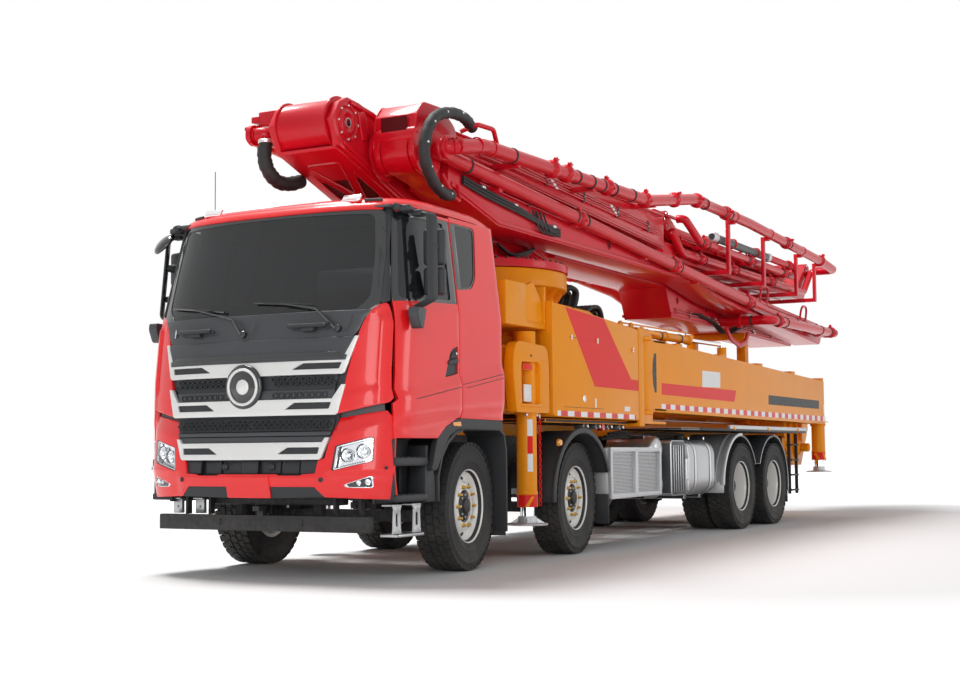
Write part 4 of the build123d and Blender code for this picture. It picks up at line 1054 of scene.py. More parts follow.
def honeycomb(shape, inner, outer, low, high, rows):
    """Hexagonal cells in rows on the front, as rims over a dark back, made from one cell by a grid repeat."""
    pitch = 0.056
    cell_y, cell_z = 0.0262, (high - low) / (rows * 2)
    columns = int((outer - inner) / pitch)
    middle = (inner + outer) / 2
    for row in range(rows):
        z = high - (row + 0.5) * (high - low) / rows
        shift = pitch / 2 if row % 2 else 0.0
        for side in (1, -1):
            item = Shape("panel_grey")
            hexagon = [(cell_y * math.cos(a) * 1.12, cell_z * math.sin(a) * 1.1)
                       for a in (math.pi / 3 * k for k in range(6))]
            small = [(u * 0.72, v * 0.70) for u, v in hexagon]
            item.prism(hexagon, 0.0, 0.012, axis="z", holes=[small])
            mesh = repeated("grid", item, Matrix(), "panel_grey", Size_X=pitch * (columns - 1), Size_Y=0.0,
                            Vertices_X=columns, Vertices_Y=1)
            for vert in mesh.vertices:
                u, v, t = vert.co
                y = side * (middle + u + shift)
                vert.co = on_front(y, z + v, 0.002 + t)
            if side > 0:
                mesh.flip_normals()
            shape.take(mesh)


def make_front_details():
    """Grab handles, wipers with their arms and the round blank by the screen."""
    shape = Shape("trim_black")
    for y0, y1 in ((-0.775, -0.405), (0.36, 0.71)):
        route = [on_front(y, 1.985, 0.062) for y in (y0, y0 + 0.06, (y0 + y1) / 2, y1 - 0.06, y1)]
        shape.tube(flowing(route, 4), [0.012] + [0.017] * 15 + [0.012], 10)
        middle = (y0 + y1) / 2
        shape.box((front_x(middle, 1.97) - 0.01, middle - 0.06, 1.94),
                  (front_x(middle, 1.97) + 0.055, middle + 0.06, 1.985), 0.012)
        drape(shape, on_front, rounded([(y0, 1.955), (y1, 1.955), (y1, 1.995), (y0, 1.995)], 0.018),
              wall=0.012,
              lift=lambda y, z: 0.012, edge=0.004)
    shape.use("gloss_black")
    wipers = (((-0.10, 1.94), (-0.19, 2.07), (-0.93, 2.205), (-0.31, 2.135)),
              ((0.778, 1.953), (0.60, 2.12), (-0.02, 2.195), (0.55, 2.15)))
    for foot, knee, tip, heel in wipers:
        base = on_front(*foot, 0.0)
        shape.lathe([(0, 0), (0.030, 0), (0.030, 0.03), (0.018, 0.045), (0, 0.048)],
                    facing(base, (1, 0, 0.2)), 18)
        middle = ((tip[0] + heel[0]) / 2, (tip[1] + heel[1]) / 2)
        arm = [on_front(*foot, 0.04), on_front(*knee, 0.055), on_front(*middle, 0.045)]
        shape.tube(arm[:2], [0.014, 0.011], 8)
        shape.tube(arm[1:], [0.009, 0.006], 8)
        blade = [on_front(tip[0] + (heel[0] - tip[0]) * t, tip[1] + (heel[1] - tip[1]) * t, 0.022)
                 for t in (0, 0.2, 0.4, 0.6, 0.8, 1.0)]
        shape.tube(blade, 0.008, 8)
        shape.tube([p + Vector((0.014, 0, 0.004)) for p in blade[1:-1]], 0.006, 6)
        spring = [on_front(foot[0] + 0.05 + 0.04 * t, foot[1] - 0.02 + 0.05 * t * t,
                           0.03) for t in (0, 0.5, 1, 1.6)]
        shape.tube(flowing(spring, 3), 0.004, 6)
    shape.use("plate_white")
    shape.lathe([(0, 0.0), (0.036, 0.0), (0.036, 0.004), (0, 0.006)],
                facing(on_front(-0.865, 1.985, 0.002), on_front(-0.865, 1.985) - Vector((6.3, -0.4, 1.9))),
                24)
    shape.piece("wipers_and_handles", "root")


def make_liner():
    """The dark inside of the cab: walls set in from the skin, floor, roof lining and rear wall with its window."""
    shape = Shape("cabin_grey")
    for side in (1, -1):
        where = on_flank(side)
        hole = [(5.32, 2.36), (5.735, 2.33), (5.735, 2.90), (5.30, 2.90)]
        drape(shape, where, [(5.02, 1.30), (5.74, 1.30), (5.74, 2.95), (5.02, 2.95)], [hole], 0.02,
              lift=lambda x, z: -0.05, edge=0)
    drape(shape, on_front, [(-1.12, 1.24), (1.12, 1.24), (1.05, 2.06), (-1.05, 2.06)], wall=0.02,
          lift=lambda y, z: -0.06, edge=0)
    shape.prism([(5.03, 1.285), (5.80, 1.285), (6.05, 1.20), (6.15, 1.12), (6.62, 1.12), (6.62, 1.15),
                 (6.17, 1.15),
                 (6.07, 1.24), (5.82, 1.315), (5.03, 1.315)], -1.17, 1.17)
    shape.prism([(-1.06, 1.30), (1.06, 1.30), (1.06, 2.93), (-1.06, 2.93)], 5.02, 5.04, axis="x",
                holes=[rounded([(-0.69, 2.26), (0.69, 2.26), (0.69, 2.69), (-0.69, 2.69)], 0.05)])
    shape.prism([(5.03, 2.93), (6.55, 2.93), (6.55, 2.945), (5.03, 2.945)], -1.08, 1.08)
    shape.box((5.05, -0.25, 1.31), (6.0, 0.25, 1.50), 0.04, 3)
    shape.use("panel_grey")
    shape.box((5.35, -0.21, 1.50), (5.85, 0.21, 1.62), 0.03, 3)
    shape.box((6.42, -0.9, 2.80), (6.46, -0.25, 2.93), 0.012)
    shape.box((6.42, 0.25, 2.80), (6.46, 0.9, 2.93), 0.012)
    shape.piece("cab_lining", "root", replaces=("cab_shell",))
    back = Shape("cab_red")
    back.prism([(-1.20, 1.27), (1.20, 1.27), (1.20, 2.2), (1.10, 2.955), (-1.10, 2.955), (-1.20, 2.2)], 4.995,
               5.02,
               axis="x", holes=[rounded([(-0.70, 2.25), (0.70, 2.25), (0.70, 2.70), (-0.70, 2.70)], 0.06)],
               bevel=0.006)
    for y in (-0.95, -0.6, -0.2, 0.2, 0.6, 0.95):
        back.box((4.993, y - 0.03, 1.40), (4.998, y + 0.03, 2.18), 0.002)
    back.use("trim_black").box((4.996, -1.2, 1.24), (5.03, 1.2, 1.275), 0.008)
    back.piece("cab_rear_wall", "root")
    pane = Shape("window_glass")
    pane.prism([(-0.70, 2.25), (0.70, 2.25), (0.70, 2.70), (-0.70, 2.70)], 5.006, 5.011, axis="x")
    pane.piece("rear_window", "root")


def make_cab_inside():
    """Dashboard, instrument hood and steering wheel."""
    shape = Shape("cabin_grey")
    plan = [(6.37, -1.07), (6.54, -1.07), (6.68, -0.89), (6.73, -0.6), (6.73, 0.6), (6.68, 0.89),
            (6.54, 1.07),
            (6.37, 1.07)]
    shape.prism(plan, 1.68, 2.04, axis="z", bevel=0.03, segments=3)
    shape.box((6.33, 0.28, 1.95), (6.52, 0.92, 2.12), 0.03, 3)
    shape.use("gloss_black").box((6.325, 0.33, 1.97), (6.335, 0.87, 2.09), 0.01)
    shape.box((6.345, -0.2, 1.78), (6.36, 0.18, 2.0), 0.01)
    shape.use("panel_grey")
    wheel = facing((6.21, 0.60, 2.0), (-math.sin(math.radians(60)), 0, math.cos(math.radians(60))))
    rim = [(0.22 + 0.017 * math.cos(a), 0.017 * math.sin(a)) for a in (math.pi / 4 * k for k in range(8))]
    shape.lathe(rim, wheel, 40, closed=True)
    shape.lathe([(0, -0.02), (0.07, -0.02), (0.06, 0.02), (0, 0.03)], wheel, 24)
    for turn in (0.2, math.pi - 0.2, -math.pi / 2):
        spoke = wheel @ Matrix.Rotation(turn, 4, "Z")
        shape.box((0.04, -0.018, -0.012), (0.215, 0.018, 0.010), 0.006, 2, spoke)
    shape.bar((6.21, 0.6, 2.0), (6.40, 0.6, 1.86), 0.03)
    shape.piece("dashboard_and_wheel", "root", replaces=("dashboard",))


def make_seats():
    """Two sprung seats with puffed cushions and head rests."""
    cushions = Shape("seat_cloth")
    base = Shape("cabin_grey")
    for side in (1, -1):
        y = side * 0.63
        puffed(cushions, (5.49, y - 0.23, 1.60), (5.94, y + 0.23, 1.72))
        puffed(cushions, (5.36, y - 0.23, 1.72), (5.48, y + 0.23, 2.20))
        puffed(cushions, (5.37, y - 0.13, 2.22), (5.46, y + 0.13, 2.39))
        base.box((5.52, y - 0.2, 1.505), (5.90, y + 0.2, 1.60), 0.02)
        base.box((5.60, y - 0.14, 1.32), (5.84, y + 0.14, 1.51), 0.02)
    pads = cushions.piece("seat_cushions", "root", replaces=("seats",), smooth=180)
    base.piece("seat_bases", "root")


def puffed(shape, low, high, steps=8):
    """A crowned closed pad: its faces swell and its sides pull in between the corners."""
    low, high = Vector(low), Vector(high)
    middle, half = (low + high) / 2, (high - low) / 2
    pad = bmesh.new()
    bmesh.ops.create_cube(pad, size=2.0)
    bmesh.ops.subdivide_edges(pad, edges=pad.edges, cuts=steps, use_grid_fill=True)
    power = 5
    for vert in pad.verts:
        a, b, c = (abs(t) for t in vert.co)
        size = (a ** power + b ** power + c ** power) ** (1 / power)
        unit = vert.co / size
        channel = 0.04 if abs(abs(vert.co.y) - 0.55) < 0.12 else 0.0
        vert.co = middle + Vector((unit.x * half.x, unit.y * half.y, unit.z * half.z)) * (1 - channel)
    mesh = bpy.data.meshes.new("pad")
    pad.to_mesh(mesh)
    pad.free()
    shape.take(mesh)


def make_mirror(side_name, side):
    """The flat loop arm, two mirror housings behind it, the wedge below, and the round front mirror on the right."""
    body = f"{side_name}_door"
    shape = Shape("trim_black")

    def at(x, y, z):
        return Vector((x, side * y, z))

    def flat_bar(points, wide=0.048, thin=0.011):
        """A flat bar that follows the points, its broad side turned a little inwards."""
        across = at(0.894, -0.447, 0) - Vector((0, 0, 0))
        rows = []
        for i, p in enumerate(points):
            run = (points[min(i + 1, len(points) - 1)] - points[max(i - 1, 0)]).normalized()
            normal = run.cross(across).normalized() * thin
            rows.append([p + across * wide * a + normal * b for a,
                         b in ((-1, -0.4), (-0.8, -1), (0.8, -1), (1, -0.4),
                                                                        (1, 0.4), (0.8, 1), (-0.8, 1),
                               (-1, 0.4))])
        verts = [v for row in rows for v in row]
        faces = [tuple(range(8)), tuple(range(len(verts) - 8, len(verts)))]
        for i in range(len(rows) - 1):
            faces += [(i * 8 + k, i * 8 + (k + 1) % 8, i * 8 + 8 + (k + 1) % 8,
                       i * 8 + 8 + k) for k in range(8)]
        shape.solid(verts, faces)

    flat_bar(bent([at(6.35, 1.20, 2.885), at(6.352, 1.340, 2.878), at(6.40, 1.372, 2.19),
                   at(6.44, 1.27, 2.135)],
                  0.055))
    lump = Matrix.Translation(at(6.42, 1.150, 2.915)) @ Matrix.Rotation(side * 0.25, 4, "Z")
    shape.box((-0.075, -0.05, -0.028), (0.085, 0.05, 0.028), 0.020, 3, lump)
    shape.bar(at(6.50, 1.105, 2.90), at(6.50, 1.125, 2.95), 0.036, 20, 0.006)
    shape.box((-0.045, -0.05, -0.026), (0.045, 0.045, 0.026), 0.014, 3,
              Matrix.Translation(at(6.355, 1.225, 2.885)))
    for low, high in ((2.475, 2.765), (2.235, 2.455)):
        middle = (low + high) / 2
        place = Matrix.Translation(at(6.245, 1.305, middle)) @ Matrix.Rotation(side * 0.30, 4, "Z")
        half = (high - low) / 2
        shape.use("trim_black").box((-0.038, -0.088, -half), (0.048, 0.088, half), 0.026, 4, place)
        shape.use("mirror_glass").box((-0.0405, -0.074, -half + 0.016), (-0.037, 0.074, half - 0.016), 0.001,
                                      1, place)
        shape.use("trim_black").bar(at(6.28, 1.31, middle), at(6.365, 1.362, middle), 0.045, 24, 0.008, 0.026)
    shape.use("panel_grey")
    foot = [(6.455, 2.112), (6.585, 2.118), (6.592, 2.06), (6.545, 1.955), (6.50, 1.95)]
    low, high = min(side * 1.262, side * 1.352), max(side * 1.262, side * 1.352)
    shape.prism(rounded(foot, 0.02), low, high, bevel=0.014, segments=3)
    shape.use("trim_black").bar(at(6.50, 1.245, 2.07), at(6.50, 1.27, 2.07), 0.022, 16)
    if side < 0:
        place = facing((6.49, -1.275, 2.815), (0.62, -0.33, 0.61))
        shape.use("gloss_black")
        shape.lathe([(0, 0.040), (0.05, 0.036), (0.09, 0.022), (0.113, 0.002), (0.115, -0.010),
                     (0.110, -0.020),
                     (0, -0.020)], place, 44)
        shape.use("mirror_glass").lathe([(0, -0.026), (0.06, -0.0245), (0.105, -0.020), (0, -0.020)], place,
                                        44)
        shape.use("trim_black").tube(bent([at(6.37, 1.26, 2.885), at(6.40, 1.30, 2.885),
                                           (6.475, -1.285, 2.83)], 0.02),
                                     0.017, 12)
    shape.piece(f"mirror_set_{side_name}", body, replaces=(f"mirror_{side_name}",), smooth=45)


def make_cab():
    make_roof()
    for side_name, side in SIDES:
        make_flank(side_name, side)
        make_arch_trim(side_name, side)
        make_corner(side_name, side)
        make_mirror(side_name, side)
    make_windscreen()
    make_front_panels()
    make_grille()
    make_front_details()
    make_liner()
    make_cab_inside()
    make_seats()


# ------------------------------------------------------------------ bumper, lamps and steps
def bumper_lift(y, z):
    """Relief of the bumper: its top band leans back, the face stands proud, and the foot tucks under."""
    y = abs(y)
    fold = 1.115 + (y - 0.76) * 0.27
    lift = -0.002
    if z > fold:
        lift -= 0.050 * min(1.0, (z - fold) / 0.15)
    if y > 1.10:
        lift -= 0.012 * (y - 1.10) / 0.09
    if z < 0.86:
        lift -= 0.016 * min(1.0, (0.86 - z) / 0.05) * min(1.0, max(0.0, (y - 0.70) / 0.06))
    return lift


HEADLAMP = [(0.765, 0.868), (0.788, 1.043), (0.80, 1.052), (1.060, 1.116), (1.078, 1.108), (1.074, 0.935),
            (1.060, 0.925), (0.775, 0.858)]
FOG_LAMP = [(0.850, 0.752), (1.058, 0.818), (1.072, 0.812), (1.072, 0.735), (1.060, 0.726), (0.870, 0.728)]


def make_bumper():
    """The red bumper shell, its blank plate, black lip, the lower grille and the intake."""
    edge = [(0.0, 0.735), (0.615, 0.735), (0.70, 0.655), (1.17, 0.637), (1.195, 0.66), (1.195, 1.235),
            (1.135, 1.316), (0.925, 1.281), (0.795, 1.262), (0.775, 1.200), (0.742, 1.105), (0.705, 0.955),
            (0.650, 0.935), (0.630, 0.838), (0.52, 0.832), (0.50, 0.822), (0.30, 0.822), (0.28, 0.832),
            (0.0, 0.832)]
    outline = edge[:-1] + [(0.0, 0.832)]
    shape = Shape("cab_red")
    folds = [((0.70, 1.099), (1.20, 1.234)), ((-0.70, 1.099), (-1.20, 1.234)), ((-1.2, 0.86), (1.2, 0.86)),
             ((-1.2, 0.81), (1.2, 0.81))]
    for side in (1, -1):
        holes = [rounded(on_side([(u, v) for u, v in hole], side), 0.010, 2) for hole in (HEADLAMP, FOG_LAMP)]
        drape(shape, on_front, on_side(outline, side), holes, 0.035, lift=bumper_lift, grid=0.04, edge=0.005,
              creases=folds)
    drape(shape, on_front, rounded([(-0.212, 0.645), (0.212, 0.645), (0.212, 0.824), (-0.212, 0.824)], 0.012),
          wall=0.04, lift=lambda y, z: 0.006, edge=0.004)
    shape.piece("bumper_shell", "root", replaces=("front_bumper",), smooth=40)
    trim = Shape("trim_black")
    for side in (1, -1):
        drape(trim, on_front, on_side(rounded([(0.20, 0.738), (0.605, 0.738), (0.705, 0.655), (0.20, 0.645)],
                                              [0, 0.03, 0.03, 0]), side), wall=0.06,
              lift=lambda y, z: -0.006 + 0.02 * (0.738 - z), edge=0.006)
        trim.lathe([(0, 0), (0.019, 0), (0.019, 0.006), (0.012, 0.010), (0, 0.010)],
                   facing(on_front(side * 0.682, 0.79, -0.002), (1, side * 0.3, 0)), 20)
        trim.lathe([(0, 0), (0.014, 0), (0.014, 0.005), (0, 0.006)],
                   facing((6.745, side * 1.158, 0.878), (0.6, side * 0.8, 0)), 16)
    drape(trim, on_front, [(-0.80, 1.275), (-0.70, 0.94), (0.70, 0.94), (0.80, 1.275)], wall=0.03,
          lift=lambda y, z: -0.030, edge=0)
    drape(trim, on_front, rounded([(-0.775, 1.262), (-0.755, 1.165), (0.755, 1.165), (0.775, 1.262)], 0.01),
          wall=0.02, lift=lambda y, z: -0.008, edge=0.005)
    trim.use("panel_grey")
    for z_top, z_low, lift in ((1.160, 1.130, 0.004), (1.122, 1.082, 0.0)):
        drape(trim, on_front, rounded([(-0.755, z_top), (-0.745, z_low), (0.745, z_low), (0.755, z_top)],
                                      0.008),
              wall=0.03, lift=lambda y, z, rise=lift: rise, edge=0.008)
    trim.use("trim_black")
    honeycomb(trim, 0.0, 0.73, 1.174, 1.257, 3)
    drape(trim, on_front, [(-0.67, 0.945), (-0.63, 0.80), (0.63, 0.80), (0.67, 0.945)], wall=0.02,
          lift=lambda y, z: -0.075, edge=0)
    for y0, y1, back in ((-0.65, -0.49, 0.02), (-0.46, -0.30, 0.05), (-0.28, -0.10, 0.055),
                         (-0.08, 0.08, 0.03),
                         (0.10, 0.28, 0.055), (0.30, 0.46, 0.05), (0.49, 0.65, 0.02)):
        drape(trim, on_front, rounded([(y0, 0.835), (y1, 0.835), (y1, 0.940), (y0, 0.940)], 0.012), wall=0.02,
              lift=lambda y, z, sunk=back: -sunk, edge=0.004)
    for y in (-0.26, 0.20):
        trim.lathe([(0, 0), (0.030, 0), (0.030, 0.02), (0.020, 0.026), (0, 0.02)],
                   facing(on_front(y, 0.89, -0.06), (1, 0, 0)), 18)
    trim.piece("bumper_trim", "root", smooth=40)


def dashed(shape, points, count, size, where=on_front, lift=0.0):
    """Small square dots set along a line on the front."""
    total = len(points) - 1
    for k in range(count):
        t = (k + 0.5) / count * total
        a, b = points[int(t)], points[min(int(t) + 1, total)]
        u = [a[i] + (b[i] - a[i]) * (t - int(t)) for i in (0, 1)]
        shape.box((-0.002, -size, -size * 0.5), (0.002, size, size * 0.5), 0, 1,
                  facing(where(u[0], u[1], lift), (0, 0, 1), (0, 1, 0)))


def make_headlamps():
    """Headlamps and fog lamps: a silver dish with round modules, a row of small lights and a clear lens."""
    dish = Shape("lamp_silver")
    lens = Shape("lamp_clear")
    for side in (1, -1):
        big = rounded(on_side(HEADLAMP, side), 0.010, 2)
        middle = Vector((sum(p[0] for p in big) / len(big), sum(p[1] for p in big) / len(big)))
        ring = [tuple(middle + (Vector(p) - middle) * 0.86) for p in big]
        dish.use("trim_black")
        drape(dish, on_front, [tuple(middle + (Vector(p) - middle) * 1.02) for p in big], wall=0.01,
              lift=lambda y, z: bumper_lift(y, z) - 0.075, edge=0)
        drape(dish, on_front, [tuple(middle + (Vector(p) - middle) * 1.01) for p in big],
              [[tuple(middle + (Vector(p) - middle) * 0.955) for p in big]], 0.05,
              lift=lambda y, z: bumper_lift(y, z) - 0.004, edge=0.002, grid=0.08)
        dish.use("lamp_silver")
        drape(dish, on_front, [tuple(middle + (Vector(p) - middle) * 0.955) for p in big], [ring], 0.035,
              lift=lambda y, z: bumper_lift(y, z) - 0.012, edge=0.002, grid=0.08)
        drape(dish, on_front, ring, wall=0.01, lift=lambda y, z: bumper_lift(y, z) - 0.062, edge=0)
        for y, z, size in ((0.865, 0.975, 0.052), (0.985, 1.005, 0.055)):
            place = facing(on_front(side * y, z, -0.064), (1, side * 0.12, 0.02))
            dish.use("lamp_silver")
            dish.lathe([(size, 0.040), (size * 1.04, 0.036), (size * 0.98, 0.012), (size * 0.6, 0.002),
                        (0, 0.0),
                        (0, 0.004), (size * 0.55, 0.006), (size * 0.92, 0.016)], place, 28, closed=False)
            dish.use("mirror_glass").lathe([(0, 0.006), (0.024, 0.010), (0.026, 0.018), (0.018, 0.030),
                                            (0, 0.034)],
                                           place, 20)
            dish.use("lamp_silver")
            for turn in range(6):
                bar = place @ Matrix.Rotation(turn * math.pi / 3 + 0.3, 4, "Z")
                dish.box((size * 0.55, -0.003, 0.006), (size * 0.98, 0.003, 0.03), 0.001, 1, bar)
        dish.use("trim_black")
        low_edge = [(side * 0.785, 0.878), (side * 1.058, 0.940)]
        outer_edge = [(side * 1.062, 0.945), (side * 1.064, 1.095)]
        dashed(dish, low_edge, 16, 0.0065, lift=-0.010)
        dashed(dish, outer_edge, 9, 0.0062, lift=-0.010)
        drape(lens, on_front, [tuple(middle + (Vector(p) - middle) * 0.97) for p in big], wall=0.004,
              lift=lambda y, z: bumper_lift(y, z) - 0.001, edge=0)
        small = rounded(on_side(FOG_LAMP, side), 0.008, 2)
        middle = Vector((side * 0.99, 0.77))
        dish.use("trim_black")
        drape(dish, on_front, [tuple(middle + (Vector(p) - middle) * 1.02) for p in small], wall=0.01,
              lift=lambda y, z: bumper_lift(y, z) - 0.055, edge=0)
        dish.use("lamp_silver")
        drape(dish, on_front, [tuple(middle + (Vector(p) - middle) * 0.99) for p in small],
              [[tuple(middle + (Vector(p) - middle) * 0.84) for p in small]], 0.04,
              lift=lambda y, z: bumper_lift(y, z) - 0.008, edge=0.002, grid=0.08)
        for y, z, size in ((1.03, 0.772, 0.026), (0.965, 0.765, 0.020)):
            dish.lathe([(size, 0.030), (size, 0.022), (size * 0.7, 0.004), (0, 0.0), (0, 0.004),
                        (size * 0.62, 0.008),
                        (size * 0.9, 0.024)], facing(on_front(side * y, z, -0.050), (1, side * 0.15, 0)), 20)
        drape(lens, on_front, [tuple(middle + (Vector(p) - middle) * 0.99) for p in small], wall=0.004,
              lift=lambda y, z: bumper_lift(y, z) - 0.004, edge=0)
    dish.piece("headlamp_modules", "root", replaces=("headlamps",), smooth=40)
    lens.piece("headlamp_lenses", "root")


def make_underrun():
    """The black bar under the bumper with its hangers, and the plain hanging plate work behind it."""
    shape = Shape("frame_black").cad("underrun_bar", 0.006)
    for side in (1, -1):
        shape.box((6.74, side * 1.036 - 0.004, 0.388), (6.786, side * 1.036 + 0.004, 0.497), 0.003)
        for z in (0.43, 0.465):
            shape.bolt((6.792, side * 0.405, z), (1, 0, 0), 0.010, 0.008)
        for y in (0.62, 0.86):
            shape.box((6.60, side * y - 0.012, 0.50), (6.66, side * y + 0.012, 0.70), 0.004)
    shape.use("frame_black")
    shape.box((6.45, -0.62, 0.58), (6.60, 0.62, 0.66), 0.01)
    shape.bar((6.62, -0.9, 0.66), (6.62, 0.9, 0.66), 0.018)
    shape.box((6.30, -0.36, 0.86), (6.62, 0.36, 1.18), 0.012)
    for k in range(14):
        shape.box((6.622, -0.34 + k * 0.05, 0.88), (6.630, -0.32 + k * 0.05, 1.16), 0.002)
    shape.use("tank_alloy")
    for y in (-0.978, -0.743):
        shape.box((6.60, y - 0.048, 0.505), (6.63, y + 0.048, 0.64), 0.004)
        shape.box((6.60, y - 0.052, 0.62), (6.66, y + 0.052, 0.636), 0.003)
        shape.bolt((6.632, y, 0.56), (1, 0, 0), 0.010, 0.008)
    shape.piece("underrun_assembly", "root", replaces=("underrun_bar",))


def make_hanging_step(shape, side):
    """The silver step that hangs under the left entry."""
    shape.use("tank_alloy")
    low, high = 1.06, 1.225
    shape.box((6.30, low, 0.345), (6.685, high, 0.372), 0.004)
    near = side * 1.205
    for x in (6.60, 6.31):
        slot = rounded([(x + 0.055, 0.43), (x + 0.095, 0.43), (x + 0.095, 0.53), (x + 0.055, 0.53)], 0.02)
        web = [(x + 0.01, 0.375), (x + 0.14, 0.375), (x + 0.13, 0.40), (x + 0.12, 0.56), (x + 0.14, 0.585),
               (x + 0.01, 0.585), (x + 0.03, 0.56), (x + 0.02, 0.40)]
        shape.prism(web, near - 0.006, near + 0.006, holes=[slot], bevel=0.002)
        shape.box((x, min(near, near - side * 0.09), 0.583), (x + 0.15, max(near, near - side * 0.09), 0.598),
                  0.003)
        for dx, z in ((0.035, 0.40), (0.115, 0.40), (0.04, 0.56), (0.11, 0.56)):
            shape.use("steel").bolt((x + dx, near + side * 0.006, z), (0, side, 0), 0.008, 0.006)
        shape.use("tank_alloy")


def make_steps(side_name, side):
    """The black entry steps behind the bumper, the silver hanging step and the wheel arches."""
    shape = Shape("trim_black")

    def y_span(a, b):
        return min(side * a, side * b), max(side * a, side * b)

    low, high = y_span(1.02, 1.215)
    for z0, z1 in ((0.888, 0.956), (0.612, 0.668)):
        shape.box((6.215, low, z0), (6.685, high, z1), 0.014, 3)
        tops = 5
        for k in range(tops):
            shape.box((6.26 + k * 0.085, low + 0.03, z1 - 0.002), (6.30 + k * 0.085, high - 0.03, z1 + 0.004),
                      0.002)
    low, high = y_span(0.99, 1.02)
    shape.box((6.20, low, 0.60), (6.69, high, 1.10), 0.006)
    low, high = y_span(1.02, 1.19)
    shape.box((6.17, low, 0.62), (6.205, high, 1.05), 0.008)
    shape.box((6.655, low, 0.62), (6.69, high, 1.10), 0.008)
    for x in (6.36, 6.50):
        shape.box((x, side * 1.03 - 0.008, 0.67), (x + 0.01, side * 1.03 + 0.014, 0.885), 0.003)
    arch = [(6.06, 0.60), (6.06, 0.80), (6.00, 0.98), (5.90, 1.09), (5.77, 1.165), (5.60, 1.205),
            (5.0, 1.205),
            (4.90, 1.15), (4.86, 1.0), (4.86, 0.30), (4.885, 0.30), (4.885, 0.99), (4.92, 1.13), (5.0, 1.175),
            (5.60, 1.175), (5.76, 1.135), (5.88, 1.06), (5.975, 0.96), (6.035, 0.80), (6.035, 0.60)]
    low, high = y_span(0.84, 1.215)
    shape.prism(arch, low, high, bevel=0.006)
    edge = [(6.07, 0.60), (6.085, 0.80), (6.13, 0.93), (6.23, 0.93), (6.24, 0.60)]
    low, high = y_span(1.05, 1.20)
    shape.prism(edge, low, high, bevel=0.01)
    shape.use("frame_black")
    low, high = y_span(0.86, 1.20)
    shape.box((4.87, low, 0.265), (4.884, high, 0.60), 0.003)
    outer = 0.625
    turns = [math.radians(a) for a in range(-2, 165, 8)]
    ring = [(3.295 + (outer + 0.03) * math.cos(a), 0.54 + (outer + 0.03) * math.sin(a)) for a in turns]
    inner = [(3.295 + outer * math.cos(a), 0.54 + outer * math.sin(a)) for a in turns]
    shape.use("trim_black")
    low, high = y_span(0.84, 1.235)
    shape.prism(ring + inner[::-1], low, high, bevel=0.006)
    lip = [(3.295 + (outer + 0.055) * math.cos(a), 0.54 + (outer + 0.055) * math.sin(a)) for a in turns]
    low, high = y_span(1.205, 1.24)
    shape.prism(lip + inner[::-1], low, high, bevel=0.010)
    shape.box((2.665, *y_span(0.86, 1.22)[:1], 0.265), (2.68, y_span(0.86, 1.22)[1], 0.56), 0.004)
    shape.use("lamp_amber")
    place = facing((3.83, side * 1.215, 1.075), (0, side, 0))
    shape.lathe([(0, 0), (0.034, 0), (0.034, 0.022), (0.026, 0.034), (0, 0.036)], place, 24)
    if side > 0:
        make_hanging_step(shape, side)
    shape.piece(f"steps_and_arches_{side_name}", "root", smooth=40,
                replaces=("step_fenders",) if side > 0 else ())


def make_front():
    make_bumper()
    make_headlamps()
    make_underrun()
    for side_name, side in SIDES:
        make_steps(side_name, side)


# ------------------------------------------------------------------ wheels
TYRE_R = 0.54
TREAD_COUNT = 42


def tyre(shape, place):
    """One tyre: a carcass with ribbed sidewalls and five rows of repeated tread blocks."""
    shape.use("tyre_rubber")
    side = [(0.296, 0.118), (0.315, 0.128), (0.345, 0.138), (0.372, 0.144), (0.376, 0.1475), (0.384, 0.1475),
            (0.388, 0.145), (0.43, 0.149), (0.465, 0.148), (0.469, 0.150), (0.476, 0.150), (0.480, 0.146),
            (0.505, 0.139), (0.522, 0.128), (0.526, 0.112)]
    profile = [(r, -h) for r, h in side] + [(0.527, -0.05), (0.527, 0.05)] + side[::-1]
    profile += [(0.285, 0.10), (0.285, -0.10)]
    shape.lathe(profile, place, 72, closed=True)
    pitch = 2 * math.pi * TYRE_R / TREAD_COUNT
    rows = ((-0.116, 0.030, 0.30), (-0.062, 0.022, -0.35), (0.0, 0.026, 0.40), (0.062, 0.022, -0.35),
            (0.116, 0.030, 0.30))
    for number, (centre, half, slant) in enumerate(rows):
        item = Shape("tyre_rubber")
        reach = pitch * 0.42
        outline = [(-reach, centre - half), (-reach * 0.2, centre - half - 0.004),
                   (reach, centre - half + 0.004),
                   (reach + slant * half, centre), (reach, centre + half),
                   (reach * 0.1, centre + half + 0.004),
                   (-reach, centre + half), (-reach + slant * half, centre)]
        top = TYRE_R - 0.0025 - (0.004 if abs(centre) > 0.1 else 0.0)
        points = [(0.520, u, v) for u, v in outline] + [(top, u * 0.94, centre + (v - centre) * 0.95) for u,
                                                        v in outline]
        size = len(outline)
        faces = [tuple(range(size)), tuple(range(size, 2 * size))]
        faces += [(k, (k + 1) % size, (k + 1) % size + size, k + size) for k in range(size)]
        item.solid(points, faces)
        turn = Matrix.Rotation(number * 0.5 * 2 * math.pi / TREAD_COUNT, 4, "Z")
        shape.take(repeated("ring", item, place @ turn, "tyre_rubber", Count=TREAD_COUNT, Radius=0.0))
    for out in (1, -1):
        item = Shape("tyre_rubber")
        reach = pitch * 0.30
        item.box((0.496, -reach, out * 0.128 - 0.012), (0.528, reach, out * 0.128 + 0.012), 0)
        shape.take(repeated("ring", item, place, "tyre_rubber", Count=TREAD_COUNT, Radius=0.0))


